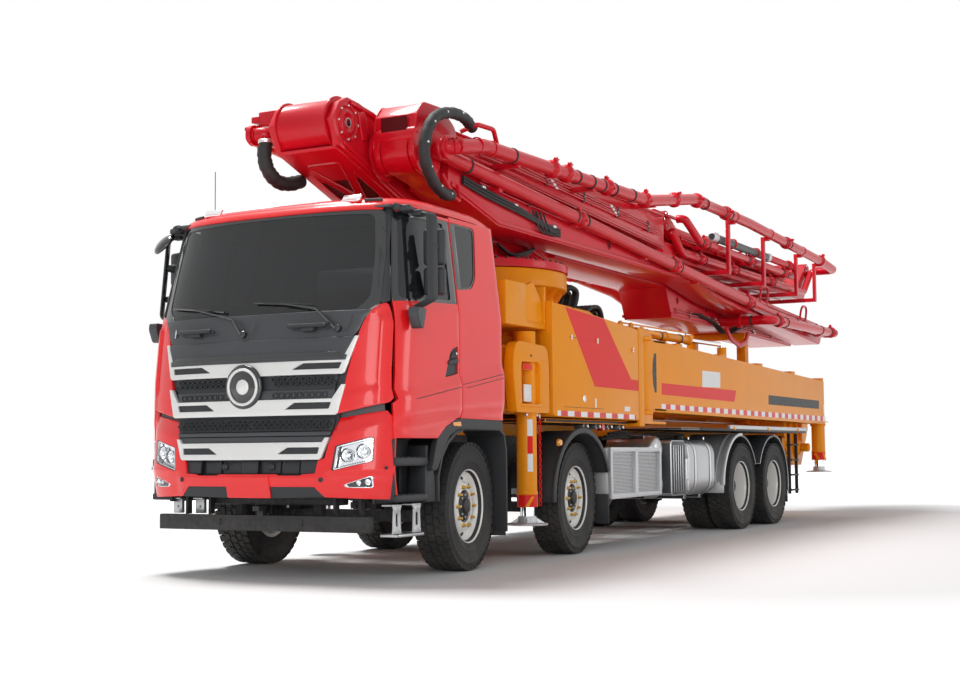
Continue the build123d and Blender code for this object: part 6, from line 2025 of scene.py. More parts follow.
def make_rear_outrigger(side_name, side):
    """The long swinging beam with its stripes and strip, the leg and its foot, and the swing cylinder."""
    arm, leg = f"rear_outrigger_{side_name}", f"rear_leg_{side_name}"
    shape = Shape("body_orange").cad(arm, 0.008)
    side_box(shape, side, (1.10, 1.45), (1.03, 1.245), (2.165, 2.195), 0.006)
    side_box(shape, side, (1.10, 1.45), (1.03, 1.245), (1.42, 1.45), 0.006)
    for x, z in ((0.6, 2.19), (-0.9, 2.155), (-2.4, 2.118), (-3.9, 2.08)):
        side_prism(shape, side, [(x - 0.10, z - 0.03), (x + 0.10, z - 0.03), (x + 0.10, z + 0.012),
                                 (x - 0.10, z + 0.017)],
                   (1.02, 1.22), bevel=0.004)
    side_prism(shape, side, [(-5.60, 1.395), (-5.28, 1.385), (-5.28, 1.40), (-5.60, 1.41)], (1.0, 1.25),
               bevel=0.003)
    shape.use("band_red")
    outline = [(1.235, 1.732), (-1.31, 1.734), (-1.222, 1.591), (1.235, 1.605)]
    side_prism(shape, side, outline, (1.2448, 1.2465))
    shape.use("frame_black")
    side_prism(shape, side, [(-2.655, 1.719), (-5.124, 1.712), (-5.114, 1.589), (-2.643, 1.594)],
               (1.2448, 1.2465))
    side_prism(shape, side, rounded([(1.385, 1.62), (1.44, 1.62), (1.485, 1.72), (1.50, 1.84), (1.485, 1.96),
                                     (1.44, 2.05), (1.385, 2.05)], 0.02), (1.2200, 1.2462))
    shape.use("plate_white")
    side_prism(shape, side, [(-0.079, 1.93), (-0.715, 1.935), (-0.703, 1.75), (-0.067, 1.735)],
               (1.2448, 1.2465))
    side_box(shape, side, (-5.40, -5.36), (1.2448, 1.2465), (1.52, 1.66))
    shape.use("reflector")
    strip(shape, side, 1.25, -5.47, (1.448, 1.503), (1.409, 1.482), 1.2448)
    x, y = -5.455, side * 1.13
    shape.use("body_orange")
    shape.bar((x, y, 0.955), (x, y, 1.40), 0.0975, 40)
    shape.bar((x, y, 0.945), (x, y, 0.975), 0.103, 40, 0.004)
    shape.bar((x, y, 1.34), (x, y, 1.385), 0.115, 40, 0.006)
    shape.use("band_red")
    shape.lathe([(0.09, 0.832), (0.1005, 0.832), (0.1005, 0.945), (0.09, 0.945)],
                Matrix.Translation((x, y, 0)), 40,
                closed=True)
    shape.use("body_orange")
    for k in range(5):
        a = math.radians(72 * k)
        spot = Matrix.Translation((x, y,
                                   0.89)) @ Matrix.Rotation(a, 4, "Z") @ Matrix.Translation((0.1005, 0, 0))
        shape.box((-0.002, -0.02, -0.07), (0.0015, 0.02, 0.05), 0, 1, spot @ Matrix.Rotation(0.5, 4, "X"))
    shape.use("frame_black")
    side_box(shape, side, (x - 0.13, x - 0.105), (1.06, 1.20), (0.86, 1.34), 0.006)
    shape.piece(f"rear_arm_{side_name}", arm, replaces=(arm,), smooth=30)

    foot = Shape("rod_chrome")
    foot.bar((x, y, 0.72), (x, y, 2.0), 0.065, 36)
    foot.use("guard_alloy")
    foot.lathe([(0, 0.651), (0.186, 0.651), (0.189, 0.657), (0.189, 0.663), (0.180, 0.669), (0.10, 0.676),
                (0.088, 0.688), (0.084, 0.725), (0.078, 0.733), (0, 0.733)], Matrix.Translation((x, y, 0)),
               48)
    foot.piece(f"rear_foot_{side_name}", leg, replaces=(leg,), smooth=40)

    barrel = f"swing_barrel_{side_name}"
    tube = Shape("body_orange").cad(barrel, 0.003)
    base, eye = Vector((1.5, side * 0.80, 2.33)), Vector((-1.5, side * 1.0, 2.33))
    along = (eye - base).normalized()
    for t, width in ((0.10, 0.05), (0.55, 0.04), (1.30, 0.04), (1.95, 0.06)):
        tube.ring(base + along * t, along, 0.060, 0.045, width, 32)
    tube.tube(bent([base + along * 0.16 + Vector((0, side * 0.0, 0.055)),
                    base + along * 0.16 + Vector((0, 0, 0.085)),
                    base + along * 1.90 + Vector((0, 0, 0.085)), base + along * 1.90 + Vector((0, 0, 0.05))],
                   0.02),
              0.009, 8)
    tube.use("frame_black")
    for t in (0.30, 0.80, 1.15, 1.70):
        tube.ring(base + along * t, along, 0.056, 0.048, 0.03, 28)
    tube.piece(f"swing_tube_{side_name}", barrel, replaces=(barrel,), smooth=40)


def make_body():
    for side_name, side in SIDES:
        make_guard_box(side_name, side)
        make_tank(side_name, side)
        make_rear_guards(side_name, side)
        make_locker(side_name, side)
        make_front_outrigger(side_name, side)
        make_rear_outrigger(side_name, side)
    make_pump_body()
    make_pedestal()


# ------------------------------------------------------------------ boom, its pipes and hoses
def at_run(points, x):
    """The height at a place along a run of (x, z) points."""
    points = sorted(points)
    for (x0, z0), (x1, z1) in zip(points, points[1:]):
        if x0 <= x <= x1:
            return z0 + (z1 - z0) * (x - x0) / (x1 - x0), (z1 - z0) / (x1 - x0)
    return points[0][1] if x < points[0][0] else points[-1][1], 0.0


PIPE_A = [(5.0, 3.69), (1.15, 3.785), (-0.35, 4.03), (-2.5, 4.03), (-6.15, 3.915)]
PIPE_B = [(5.35, 3.57), (2.6, 3.40), (-0.7, 3.18), (-3.9, 2.96), (-6.6, 2.848)]
PIPE_C = [(-3.4, 2.80), (-6.8, 2.84)]
PIPE_E = [(-1.1, 3.62), (-5.28, 3.60)]


def coupling(shape, run, x, y, radius, eared=True, seals=True, lean=0.0):
    """A clamped pipe coupling with its lever ear on top and a black rubber ring each side."""
    z, slope = at_run(run, x)
    centre, along = Vector((x, y, z)), Vector((1, 0, slope)).normalized()
    up = along.cross(Vector((0, 1, 0)))
    if up.z < 0:
        up.negate()
    up = up * math.cos(lean) + Vector((0, math.sin(lean), 0))
    shape.use("boom_red")
    shape.lathe([(radius - 0.002, -0.062), (radius + 0.008, -0.060), (radius + 0.010, -0.040),
                 (radius + 0.021, -0.030),
                 (radius + 0.0235, -0.022), (radius + 0.0235, 0.022), (radius + 0.021, 0.030),
                 (radius + 0.010, 0.040),
                 (radius + 0.008, 0.060), (radius - 0.002, 0.062)], facing(centre, along), 36)
    if eared:
        base = centre + up * (radius + 0.016)
        place = facing(base, up, along.cross(up))
        shape.box((-0.028, -0.020, -0.01), (0.028, 0.020, 0.030), 0.006, 2, place)
        shape.box((-0.046, -0.012, 0.018), (0.046, 0.012, 0.034), 0.005, 2, place)
        shape.bolt(base + up * 0.032, up, 0.010, 0.012)
        side = Vector((0, 1, 0))
        shape.bar(centre + side * (radius + 0.018) - up * 0.02, centre + side * (radius + 0.034) - up * 0.02,
                  0.016, 14,
                  0.004)
    if seals:
        shape.use("hose_black")
        for offset in (-0.125, 0.125):
            shape.ring(centre + along * offset, along, radius + 0.007, radius - 0.003, 0.022, 32, 0.003)
    shape.use("boom_red")


def rubber_ring(shape, run, x, y, radius):
    z, slope = at_run(run, x)
    shape.use("hose_black").ring((x, y, z), (1, 0, slope), radius + 0.008, radius - 0.003, 0.024, 32, 0.003)


def joint_boss(shape, centre, side, radius, bolts=8, hole=0.03):
    """A ringed boss over a joint pin, with a thin black disc painted as the shade in its hole, and a circle of
    bolts.
    """
    place = facing(centre, (0, side, 0))
    shape.use("boom_red")
    shape.lathe([(0, 0), (radius, 0), (radius, 0.004), (radius - 0.006, 0.010), (radius * 0.80, 0.010),
                 (radius * 0.78, 0.006), (radius * 0.70, 0.006), (radius * 0.68, 0.016),
                 (radius * 0.45, 0.018),
                 (radius * 0.43, 0.012), (0, 0.012)], place, 48)
    # the hole is a thin black disc: painted shade
    shape.use("gloss_black").lathe([(0, 0.011), (hole, 0.011), (hole, 0.014), (0, 0.014)], place, 24)
    shape.use("steel").lathe([(hole, 0.011), (hole + 0.008, 0.011), (hole + 0.008, 0.016), (hole, 0.016)],
                             place, 24,
                             closed=True)
    bolt = Shape("steel")
    bolt.lathe([(0, 0.010), (0.011, 0.010), (0.011, 0.020), (0.009, 0.022), (0, 0.022)],
               Matrix.Translation((radius * 0.88, 0, 0)), 6)
    shape.take(repeated("ring", bolt, place, "steel", Count=bolts, Radius=0.0))
    shape.use("boom_red")


def line_bundle(shape, points, y, side, offsets, clamps, radius=0.0095):
    """Thin hydraulic pipes along a plate with black clamp blocks and silver fittings."""
    for k, drop in enumerate(offsets):
        route = [(x, side * (y + 0.018 + 0.004 * (k % 2)), z + drop) for x, z in points]
        shape.use("boom_red").tube(bent(route, 0.15, 4), radius, 8)
        shape.use("steel")
        for spot in (0.33, 0.68):
            x = points[0][0] + (points[-1][0] - points[0][0]) * (spot + 0.012 * k)
            z, slope = at_run(points, x)
            a = Vector((x, side * (y + 0.018), z + drop))
            run = Vector((1, 0, slope)).normalized() * 0.03
            shape.bar(a - run, a + run, radius * 1.5, 6)
    low, high = min(offsets) - 0.022, max(offsets) + 0.022
    for x in clamps:
        z, slope = at_run(points, x)
        place = Matrix.Translation((x, side * (y + 0.016), z)) @ Matrix.Rotation(-math.atan(slope), 4, "Y")
        shape.use("hose_black").box((-0.022, -0.016, low), (0.022, 0.016, high), 0.004, 2, place)
        shape.use("steel")
        shape.bolt((x, side * (y + 0.030), z + (low + high) / 2), (0, side, 0), 0.008, 0.006)
    shape.use("boom_red")


def sleeved_hose(shape, points, radius, steps=8, studs=0):
    """A bundle of hoses in a black sleeve, a little lumpy, with silver studs."""
    route = flowing(points, steps)
    sizes = [radius * (1 + 0.05 * math.sin(i * 2.1) + 0.03 * math.sin(i * 5.3)) for i in range(len(route))]
    shape.use("hose_black").tube(route, sizes, 22)
    for k in range(studs):
        i = int((k + 0.5) * (len(route) - 1) / studs)
        along = (route[i + 1] - route[i - 1]).normalized()
        out = along.cross(Vector((0, 0, 1))).normalized()
        if out.y < 0:
            out.negate()
        out = (out + Vector((0, 0, 0.2))).normalized()
        shape.use("steel").bolt(route[i] + out * sizes[i] * 0.96, out, 0.009, 0.008, 10)
    return shape


def make_turret():
    """The turret: its two cheeks, front boss plates, belly web with pockets and the riser pipe."""
    shape = Shape("boom_red").cad("turret", 0.008)
    for side in (1, -1):
        y = 0.330
        joint_boss(shape, (6.04, side * y, 3.780), side, 0.165, 8, 0.034)
        place = Matrix.Translation((5.80, side * y, 3.80)) @ Matrix.Rotation(0.28, 4, "Y")
        shape.box((-0.055, -0.012, -0.125), (0.055, 0.016, 0.125), 0.010, 3, place)
        low, high = min(side * y, side * (y + 0.022)), max(side * y, side * (y + 0.022))
        edge = [(6.00, 3.985), (5.66, 3.945), (3.52, 3.31), (2.30, 3.08), (2.30, 3.045), (3.53, 3.270),
                (5.67, 3.905),
                (6.00, 3.945)]
        shape.prism(edge, low, high, bevel=0.006)
        lower = [(2.30, 2.895), (3.88, 2.895), (4.69, 3.105), (6.10, 3.578), (6.12, 3.615), (4.68, 3.145),
                 (3.87, 2.935),
                 (2.30, 2.935)]
        shape.prism(lower, low, high, bevel=0.006)
        for x in (2.6, 3.0, 3.4):
            shape.prism([(x - 0.09, 2.893), (x + 0.09, 2.893), (x, 3.04)], low, high, bevel=0.004)
    slope = Vector((6.160 - 4.700, 0, 3.570 - 3.085)).normalized()
    out = Vector((slope.z, 0, -slope.x))
    across = Vector((0, 1, 0))
    turn = Matrix((slope, across, out)).transposed().to_4x4()
    base = Vector((5.70, 0, 3.085 + (5.70 - 4.70) * 0.485 / 1.46)) + out * 0.012
    for outline in ([(-0.42, -0.21), (-0.42, -0.05), (0.06, -0.21)],
                    [(-0.42, 0.21), (0.06, 0.21), (-0.42, 0.05)],
                    [(-0.30, 0.0), (0.24, -0.17), (0.24, 0.17)]):
        place = Matrix.Translation(base) @ turn
        loop = rounded(outline, 0.06, 5)
        middle = sum((Vector(p) for p in loop), Vector((0, 0))) / len(loop)
        grown = [tuple(middle + (Vector(p) - middle) * 1.10) for p in loop]
        shape.use("boom_red").prism(grown, 0.0, 0.010, axis="z", holes=[loop], bevel=0.003, place=place)
        # a thin dark red sheet at the bottom of each pocket: painted shade
        shape.use("pocket_shade_red").prism(loop, 0.0, 0.0025, axis="z", place=place)
    shape.use("boom_red")
    run = [(3.45, 3.19), (6.04, 3.78)]
    for x in (3.9, 4.7, 5.5):
        coupling(shape, run, x, -0.52, 0.066, eared=x != 4.7)
    hang = [(6.12, -0.46, 3.69), (6.13, -0.47, 3.57), (6.11, -0.45, 3.45), (6.02, -0.42, 3.36),
            (5.89, -0.39, 3.35),
            (5.72, -0.37, 3.40)]
    sleeved_hose(shape, hang, 0.062, 7)
    shape.use("steel").ring((6.12, -0.46, 3.69), (0, 0, 1), 0.069, 0.05, 0.03, 24)
    for side in (1, -1):
        points = [(5.6, 3.62), (4.2, 3.22), (3.0, 3.02)]
        line_bundle(shape, points, 0.330, side, (0.0, -0.028, -0.056), (5.3, 4.7, 4.1, 3.5))
    shape.use("hose_black")
    for k in range(4):
        y = 0.36 + 0.02 * k
        route = [(3.35 + 0.05 * k, y, 3.06), (3.15 + 0.04 * k, y + 0.03, 2.98),
                 (2.85 + 0.06 * k, y + 0.04, 3.02),
                 (2.6 + 0.03 * k, y, 3.10)]
        shape.tube(flowing(route, 6), 0.013, 8)
    shape.piece("turret_frame", "turret", replaces=("turret",), smooth=40)


def make_lift_cylinder():
    """The big cylinder between the turret and the first boom."""
    base, eye = Vector((5.20, 0, 3.36)), Vector((2.845, 0, 3.35))
    along = (eye - base).normalized()
    shape = Shape("boom_red").cad("lift_barrel", 0.004)
    for t, wide in ((0.12, 0.05), (0.9, 0.03), (1.72, 0.06)):
        shape.ring(base + along * t, along, 0.104, 0.088, wide, 40)
    shape.use("steel").ring(base + along * 1.755, along, 0.085, 0.062, 0.02, 36)
    shape.use("boom_red").tube([base + along * 0.2 + Vector((0, 0.0, -0.115)),
                                base + along * 1.6 + Vector((0, 0, -0.115))],
                               0.014, 10)
    shape.piece("lift_tube", "lift_barrel", replaces=("lift_barrel",), smooth=40)
    shape = Shape("rod_chrome").cad("lift_rod", 0.003)
    shape.use("boom_red").ring(eye, (0, 1, 0), 0.064, 0.04, 0.116, 32)
    shape.piece("lift_piston", "lift_rod", replaces=("lift_rod",), smooth=40)


def arched(shape, centre, width, height, radius, y, lean=0.0):
    """A bent guard hoop standing on a plate."""
    x, z = centre
    route = bent([(x - width / 2, y, z), (x - width / 2, y + lean, z + height),
                  (x + width / 2, y + lean, z + height),
                  (x + width / 2, y, z)], width * 0.45, 8)
    shape.tube(route, radius, 10)


def make_boom_1():
    shape = Shape("boom_red").cad("boom_1", 0.008)
    for side in (1, -1):
        shape.use("boom_red")
        y = 0.330
        low, high = min(side * y, side * (y + 0.018)), max(side * y, side * (y + 0.018))
        rim = [(-1.50, 3.225), (-6.75, 2.985), (-6.75, 2.945), (-1.50, 3.180)]
        shape.prism(rim, low, high, bevel=0.005)
        rim = [(-1.45, 2.745), (-4.5, 2.722), (-6.7, 2.690), (-6.7, 2.728), (-4.5, 2.762), (-1.45, 2.785)]
        shape.prism(rim, low, high, bevel=0.005)
        # black discs with red rims stand for lightening holes: their inside is painted shade
        for x, z in ((-0.46, 3.24), (-1.71, 2.955), (-2.82, 2.935), (-3.9, 2.90)):
            place = facing((x, side * y, z), (0, side, 0))
            shape.use("gloss_black").lathe([(0, 0), (0.034, 0), (0.034, 0.0025), (0, 0.0025)], place, 24)
            shape.use("boom_red").lathe([(0.034, 0), (0.048, 0), (0.046, 0.006), (0.036, 0.006)], place, 24,
                                        closed=True)
        points = [(1.8, 3.05 + 0.12), (-1.2, 3.16), (-1.6, 2.86), (-6.3, 2.82)]
        if side > 0:
            line_bundle(shape, [(-1.6, 2.84), (-6.3, 2.80)], y, side, (0.0, -0.03, -0.06),
                        (-2.1, -3.0, -3.9, -4.8, -5.7))
        else:
            line_bundle(shape, points[:1] + [(-1.2, 3.16)], y, side, (0.0, -0.03), (1.2, 0.2, -0.8))
    joint_boss(shape, (-6.80, -0.330, 2.840), -1, 0.140, 6, 0.03)
    for x in (2.35, 0.9, -0.6):
        coupling(shape, [(2.3, 3.45), (-2.0, 3.15)] if x < 2.3 else [(6.04, 3.78), (2.3, 3.45)], x, -0.70,
                 0.066)
    coupling(shape, [(6.04, 3.78), (2.3, 3.45)], 5.2, -0.70, 0.066)
    coupling(shape, [(6.04, 3.78), (2.3, 3.45)], 3.8, -0.70, 0.066)
    coupling(shape, PIPE_C, -3.75, 1.075, 0.066, seals=False)
    shape.ring((-3.40, 0.62, 2.80), (0, 1, 0), 0.094, 0.062, 0.06, 36)
    shape.use("hose_black").ring((-3.40, 0.80, 2.80), (0, 1, 0), 0.074, 0.062, 0.024, 30)
    for x in (-3.62, -4.05, -5.9):
        rubber_ring(shape, PIPE_C, x, 1.075, 0.066)
    coupling(shape, PIPE_C, -6.52, 1.075, 0.066)
    shape.use("boom_red")
    shape.ring((6.04, -0.655, 3.78), (0, 1, 0), 0.092, 0.062, 0.045, 36)
    shape.bar((5.99, -0.62, 3.86), (5.99, -0.78, 3.86), 0.022, 12, 0.004)
    shape.box((5.45, -0.70, 3.90), (6.02, -0.60, 3.955), 0.008)
    shape.box((5.98, -0.62, 3.86), (6.02, -0.255, 3.99), 0.010)
    arch = [(-3.05, 2.70), (-3.30, 2.52), (-3.70, 2.44), (-4.02, 2.52), (-4.15, 2.70), (-4.05, 2.70),
            (-3.95, 2.58),
            (-3.70, 2.52), (-3.36, 2.58), (-3.16, 2.70)]
    for y in (0.50, -0.54):
        shape.prism(rounded(arch, 0.03, 3), y, y + 0.025, bevel=0.004)
    shape.use("hose_black")
    for k in range(5):
        y = 0.345 + 0.014 * k
        route = [(-2.2 - 0.05 * k, y, 2.83), (-2.9, y + 0.02, 2.76), (-3.3 - 0.04 * k, y + 0.03, 2.64),
                 (-3.75 - 0.03 * k, y + 0.02, 2.72), (-4.3, y, 2.80)]
        shape.tube(flowing(route, 6), 0.012, 8)
    shape.piece("first_boom", "boom_1", replaces=("boom_1",), smooth=40)


def make_boom_2():
    shape = Shape("boom_red").cad("boom_2", 0.008)
    y = 0.80
    for side, face in ((1, 0.80), (-1, -0.40)):
        low, high = (face, face + 0.016) if side > 0 else (-face - 0.016, -face)
        if side < 0:
            low, high = 0.384, 0.400
        top = [(5.13, 3.575), (4.165, 3.560), (-0.2, 3.325), (-1.3, 3.222), (-6.7, 2.995), (-6.7, 2.955),
               (-1.3, 3.182), (-0.2, 3.285), (4.17, 3.520), (5.13, 3.535)]
        shape.prism(top, low, high, bevel=0.005)
        bottom = [(5.10, 3.345), (4.2, 3.125), (-1.1, 3.125), (-2.2, 2.975), (-6.7, 2.695), (-6.7, 2.735),
                  (-2.2, 3.015),
                  (-1.1, 3.165), (4.19, 3.165), (5.10, 3.385)]
        shape.prism(bottom, low, high, bevel=0.005)
    points = [(4.6, 3.47), (4.0, 3.43), (-0.2, 3.225), (-1.3, 3.12), (-6.2, 2.89)]
    line_bundle(shape, points, y, 1, (0.045, 0.017, -0.011),
                (3.6, 2.6, 1.6, 0.6, -0.5, -1.6, -2.8, -4.0, -5.2))
    for x in (2.55, -0.19, -2.99):
        coupling(shape, PIPE_B, x, 0.88, 0.066)
    for x in (4.95, -5.2):
        rubber_ring(shape, PIPE_B, x, 0.88, 0.066)
    coupling(shape, PIPE_B, -6.45, 0.88, 0.066, seals=False)
    # dark red discs with red rims stand for holes: their inside is painted shade
    for x in (3.4, 1.6, -2.1, -4.5):
        z = at_run([(4.165, 3.345), (-1.1, 3.14), (-6.7, 2.83)], x)[0]
        place = facing((x, y, z), (0, 1, 0))
        shape.use("pocket_shade_red").lathe([(0, 0), (0.040, 0), (0.040, 0.002), (0, 0.002)], place, 20)
        shape.use("boom_red").lathe([(0.040, 0), (0.055, 0), (0.053, 0.006), (0.042, 0.006)], place, 24,
                                    closed=True)
    shape.use("hose_black")
    for k in range(3):
        route = [(4.92, 0.82, 3.46 - 0.03 * k), (4.5, 0.83, 3.40 - 0.03 * k),
                 (3.9 - 0.1 * k, 0.83, 3.34 - 0.035 * k),
                 (3.3 - 0.1 * k, 0.825, 3.26 - 0.03 * k), (2.9, 0.82, 3.24 - 0.03 * k)]
        shape.tube(flowing(route, 6), 0.014, 8)
    for k in range(4):
        x = 3.42 - 0.08 * k
        route = [(x + 0.1, 0.82, 3.36), (x + 0.04, 0.835, 3.24), (x - 0.04, 0.84, 3.17),
                 (x - 0.16, 0.83, 3.16)]
        shape.tube(flowing(route, 6), 0.010, 8)
    shape.use("steel")
    for x in (4.55, 3.9, 3.05):
        z = at_run([(4.9, 3.46), (2.9, 3.24)], x)[0]
        shape.bar((x - 0.03, 0.825, z), (x + 0.03, 0.825, z), 0.021, 10, 0.004)
    shape.use("boom_red")
    shape.tube(bent([(5.30, 0.83, 3.42), (5.20, 0.87, 3.24), (5.06, 0.87, 3.20), (5.02, 0.81, 3.36)], 0.05),
               0.019, 10)
    arched(shape, (-3.9, 3.03), 0.34, 0.30, 0.017, 0.80, 0.04)
    arched(shape, (-5.9, 2.95), 0.30, 0.26, 0.017, 0.80, 0.04)
    shape.piece("second_boom", "boom_2", replaces=("boom_2",), smooth=40)


def make_boom_3():
    shape = Shape("boom_red").cad("boom_3", 0.008)
    px, pz = 5.545, 3.585
    for low, high in ((0.386, 0.402), (0.798, 0.818)):
        plate = rounded([(5.74, 3.62), (5.70, 3.88), (5.60, 4.000), (5.28, 4.008), (5.02, 3.86), (5.02, 3.69),
                         (5.36, 3.645), (5.42, 3.42), (5.68, 3.44)],
                        [0.05, 0.06, 0.05, 0.05, 0.10, 0.02, 0.03, 0.05, 0.06],
                        4)
        shape.prism(plate, low, high, bevel=0.006)
    crown = [(5.60, 3.985), (5.28, 3.993), (5.28, 3.973), (5.59, 3.965)]
    shape.prism(crown, 0.39, 0.81, bevel=0.005)
    shape.prism([(5.716, 3.62), (5.69, 3.88), (5.60, 3.985), (5.582, 3.96), (5.665, 3.87), (5.694, 3.62)],
                0.39, 0.81,
                bevel=0.004)
    shape.bar((5.655, 0.39, 3.70), (5.655, 0.81, 3.70), 0.082, 30, 0.008)
    # a thin dark red sheet on the head's front: painted shade of an opening
    shape.use("pocket_shade_red").box((5.725, 0.47, 3.74), (5.728, 0.73, 3.86), 0.0)
    shape.use("boom_red")
    for face, along in ((0.818, 1), (0.386, -1)):
        shape.lathe([(0.05, 0), (0.235, 0), (0.232, 0.007), (0.20, 0.010), (0.19, 0.006), (0.05, 0.006)],
                    facing((px, face, pz), (0, along, 0)), 48, closed=True)
    bolt = Shape("steel")
    bolt.lathe([(0, 0.004), (0.012, 0.004), (0.012, 0.016), (0.009, 0.018), (0, 0.018)],
               Matrix.Translation((0.214, 0, 0)), 6)
    shape.take(repeated("ring", bolt, facing((px, 0.820, pz), (0, 1, 0)), "steel", Count=10, Radius=0.0))
    shape.use("boom_red")
    shape.lathe([(0.064, -0.04), (0.100, -0.038), (0.104, -0.02), (0.092, -0.014), (0.092, 0.014),
                 (0.104, 0.02),
                 (0.100, 0.038), (0.064, 0.040)], facing((px, 1.00, pz), (0, 1, 0)), 44)
    for t in (0, 1, 2):
        a = math.radians(18 + 30 * t)
        spot = Vector((px - 0.0 - 0.085 * (1 - math.cos(a)), 1.0 + 0.088 * math.sin(a),
                       pz + 0.02 * math.sin(a)))
        shape.ring(spot, (-math.sin(a), math.cos(a), 0.1), 0.073, 0.062, 0.018, 32)
    for x, ring in ((5.12, 0.018), (4.86, 0.018)):
        z, slope = at_run([(5.545, 3.585), (5.0, 3.70)], x) if x > 5 else at_run(PIPE_A, x)
        shape.ring((x, 1.075, z), (1, 0, slope), 0.075, 0.062, ring, 34)
    rubber_ring(shape, PIPE_A, 4.45, 1.075, 0.066)
    for x in (3.60, 3.28):
        coupling(shape, PIPE_A, x, 1.075, 0.066, seals=False, lean=0.5)
    for x in (3.05, 2.70, 2.42, 2.12, 1.62):
        rubber_ring(shape, PIPE_A, x, 1.075, 0.066)
    coupling(shape, PIPE_A, 2.27, 1.075, 0.066, seals=False)
    for x, lean in ((1.22, 0.2), (0.30, 0.8), (-0.46, 1.45)):
        coupling(shape, PIPE_A, x, 1.075, 0.066, seals=False, lean=lean)
    rubber_ring(shape, PIPE_A, -0.74, 1.075, 0.066)
    for x in (-1.55, -4.20):
        coupling(shape, PIPE_A, x, 1.075, 0.066, lean=1.45 if x > -2 else 1.2)
    coupling(shape, PIPE_A, -6.0, 1.075, 0.066, seals=False, lean=0.6)
    sleeve = [(4.93, 0.93, 3.885), (5.16, 0.97, 3.925), (5.42, 0.98, 3.915), (5.66, 0.97, 3.83),
              (5.79, 0.96, 3.66),
              (5.80, 0.95, 3.46), (5.66, 0.94, 3.29), (5.45, 0.93, 3.21), (5.30, 0.92, 3.22)]
    sleeved_hose(shape, sleeve, 0.050, 7, studs=8)
    shape.use("boom_red")
    shape.tube(bent([(5.03, 0.86, 3.84), (4.98, 1.0, 3.90), (4.72, 1.03, 3.90), (4.58, 1.0, 3.76)], 0.07),
               0.022, 12)
    y = 0.800
    top = [(-0.03, 3.792), (5.05, 3.832), (5.05, 3.848), (-0.03, 3.818)]
    shape.prism(top, 0.80, 0.818, bevel=0.004)
    low_edge = [(5.30, 3.655), (4.165, 3.635), (-0.03, 3.42), (-0.03, 3.455), (4.165, 3.67), (5.30, 3.69)]
    shape.prism(low_edge, 0.80, 0.818, bevel=0.004)
    line_bundle(shape, [(4.6, 3.76), (4.0, 3.755), (0.15, 3.60)], y, 1, (0.03, 0.004, -0.022, -0.048),
                (4.1, 3.2, 2.3, 1.4, 0.5))
    for offset in (0.0, 0.028, 0.056):
        shape.tube(bent([(4.9, 0.52 + offset, 3.875), (0.2, 0.52 + offset, 3.848), (-0.3, 0.22, 3.85),
                         (-6.2, 0.22 - offset, 3.885)], 0.10, 4), 0.0095, 8)
    shape.use("hose_black")
    for x in (4.2, 3.2, 2.2, 1.2):
        shape.box((x - 0.022, 0.49, 3.838), (x + 0.022, 0.61, 3.880), 0.004)
    shape.use("boom_red")
    for x in (-1.1, -2.6, -4.2, -5.6):
        shape.box((x - 0.012, 0.28, 3.45), (x + 0.012, 0.318, 3.78), 0.004)
    line_bundle(shape, [(-0.3, 3.72), (-6.2, 3.70)], 0.300, 1, (0.0, -0.03, -0.06, -0.09),
                (-0.9, -1.9, -2.9, -3.9, -4.9, -5.9))
    for x in (-1.9, -3.4, -5.0, -6.0):
        z, slope = at_run(PIPE_A, x)
        shape.ring((x, 1.075, z), (1, 0, slope), 0.074, 0.060, 0.05, 30)
        shape.use("steel").bolt((x, 0.955, z - 0.16), (0, -1, 0), 0.012, 0.014)
        shape.use("boom_red")
    for x in (-0.62, -1.02):
        shape.box((x - 0.02, 0.28, 3.36), (x + 0.02, 0.32, 3.90), 0.004)
    frame_x = (-0.02, -0.95)
    for z in (3.885, 3.385):
        shape.box((frame_x[1], 0.66, z - 0.016), (frame_x[0], 0.70, z + 0.016), 0.005)
    joint_boss(shape, (-6.80, -0.250, 3.860), -1, 0.110, 6, 0.025)
    arched(shape, (-2.95, 3.80), 0.30, 0.15, 0.015, 0.31, 0.03)
    arched(shape, (-4.5, 3.82), 0.30, 0.14, 0.015, 0.31, 0.03)
    shape.piece("third_boom", "boom_3", replaces=("boom_3",), smooth=40)


def make_boom_4():
    shape = Shape("boom_red").cad("boom_4", 0.006)
    line_bundle(shape, [(-0.8, 3.50), (-6.1, 3.50)], 0.640, 1, (0.02, -0.008, -0.036),
                (-1.2, -2.4, -3.6, -4.8))
    for x in (-1.6, -2.9, -4.6):
        coupling(shape, [(-0.9, 3.46), (-6.35, 3.48)], x, 0.706, 0.05)
    joint_boss(shape, (-6.80, 0.640, 3.860), 1, 0.115, 6, 0.025)
    shape.use("boom_red")
    low, high = 0.640, 0.652
    shape.prism([(-0.46, 3.552), (-6.2, 3.552), (-6.2, 3.535), (-0.46, 3.535)], low, high, bevel=0.003)
    shape.prism([(-0.46, 3.400), (-6.2, 3.400), (-6.2, 3.383), (-0.46, 3.383)], low, high, bevel=0.003)
    shape.piece("fourth_boom", "boom_4", replaces=("boom_4",), smooth=40)


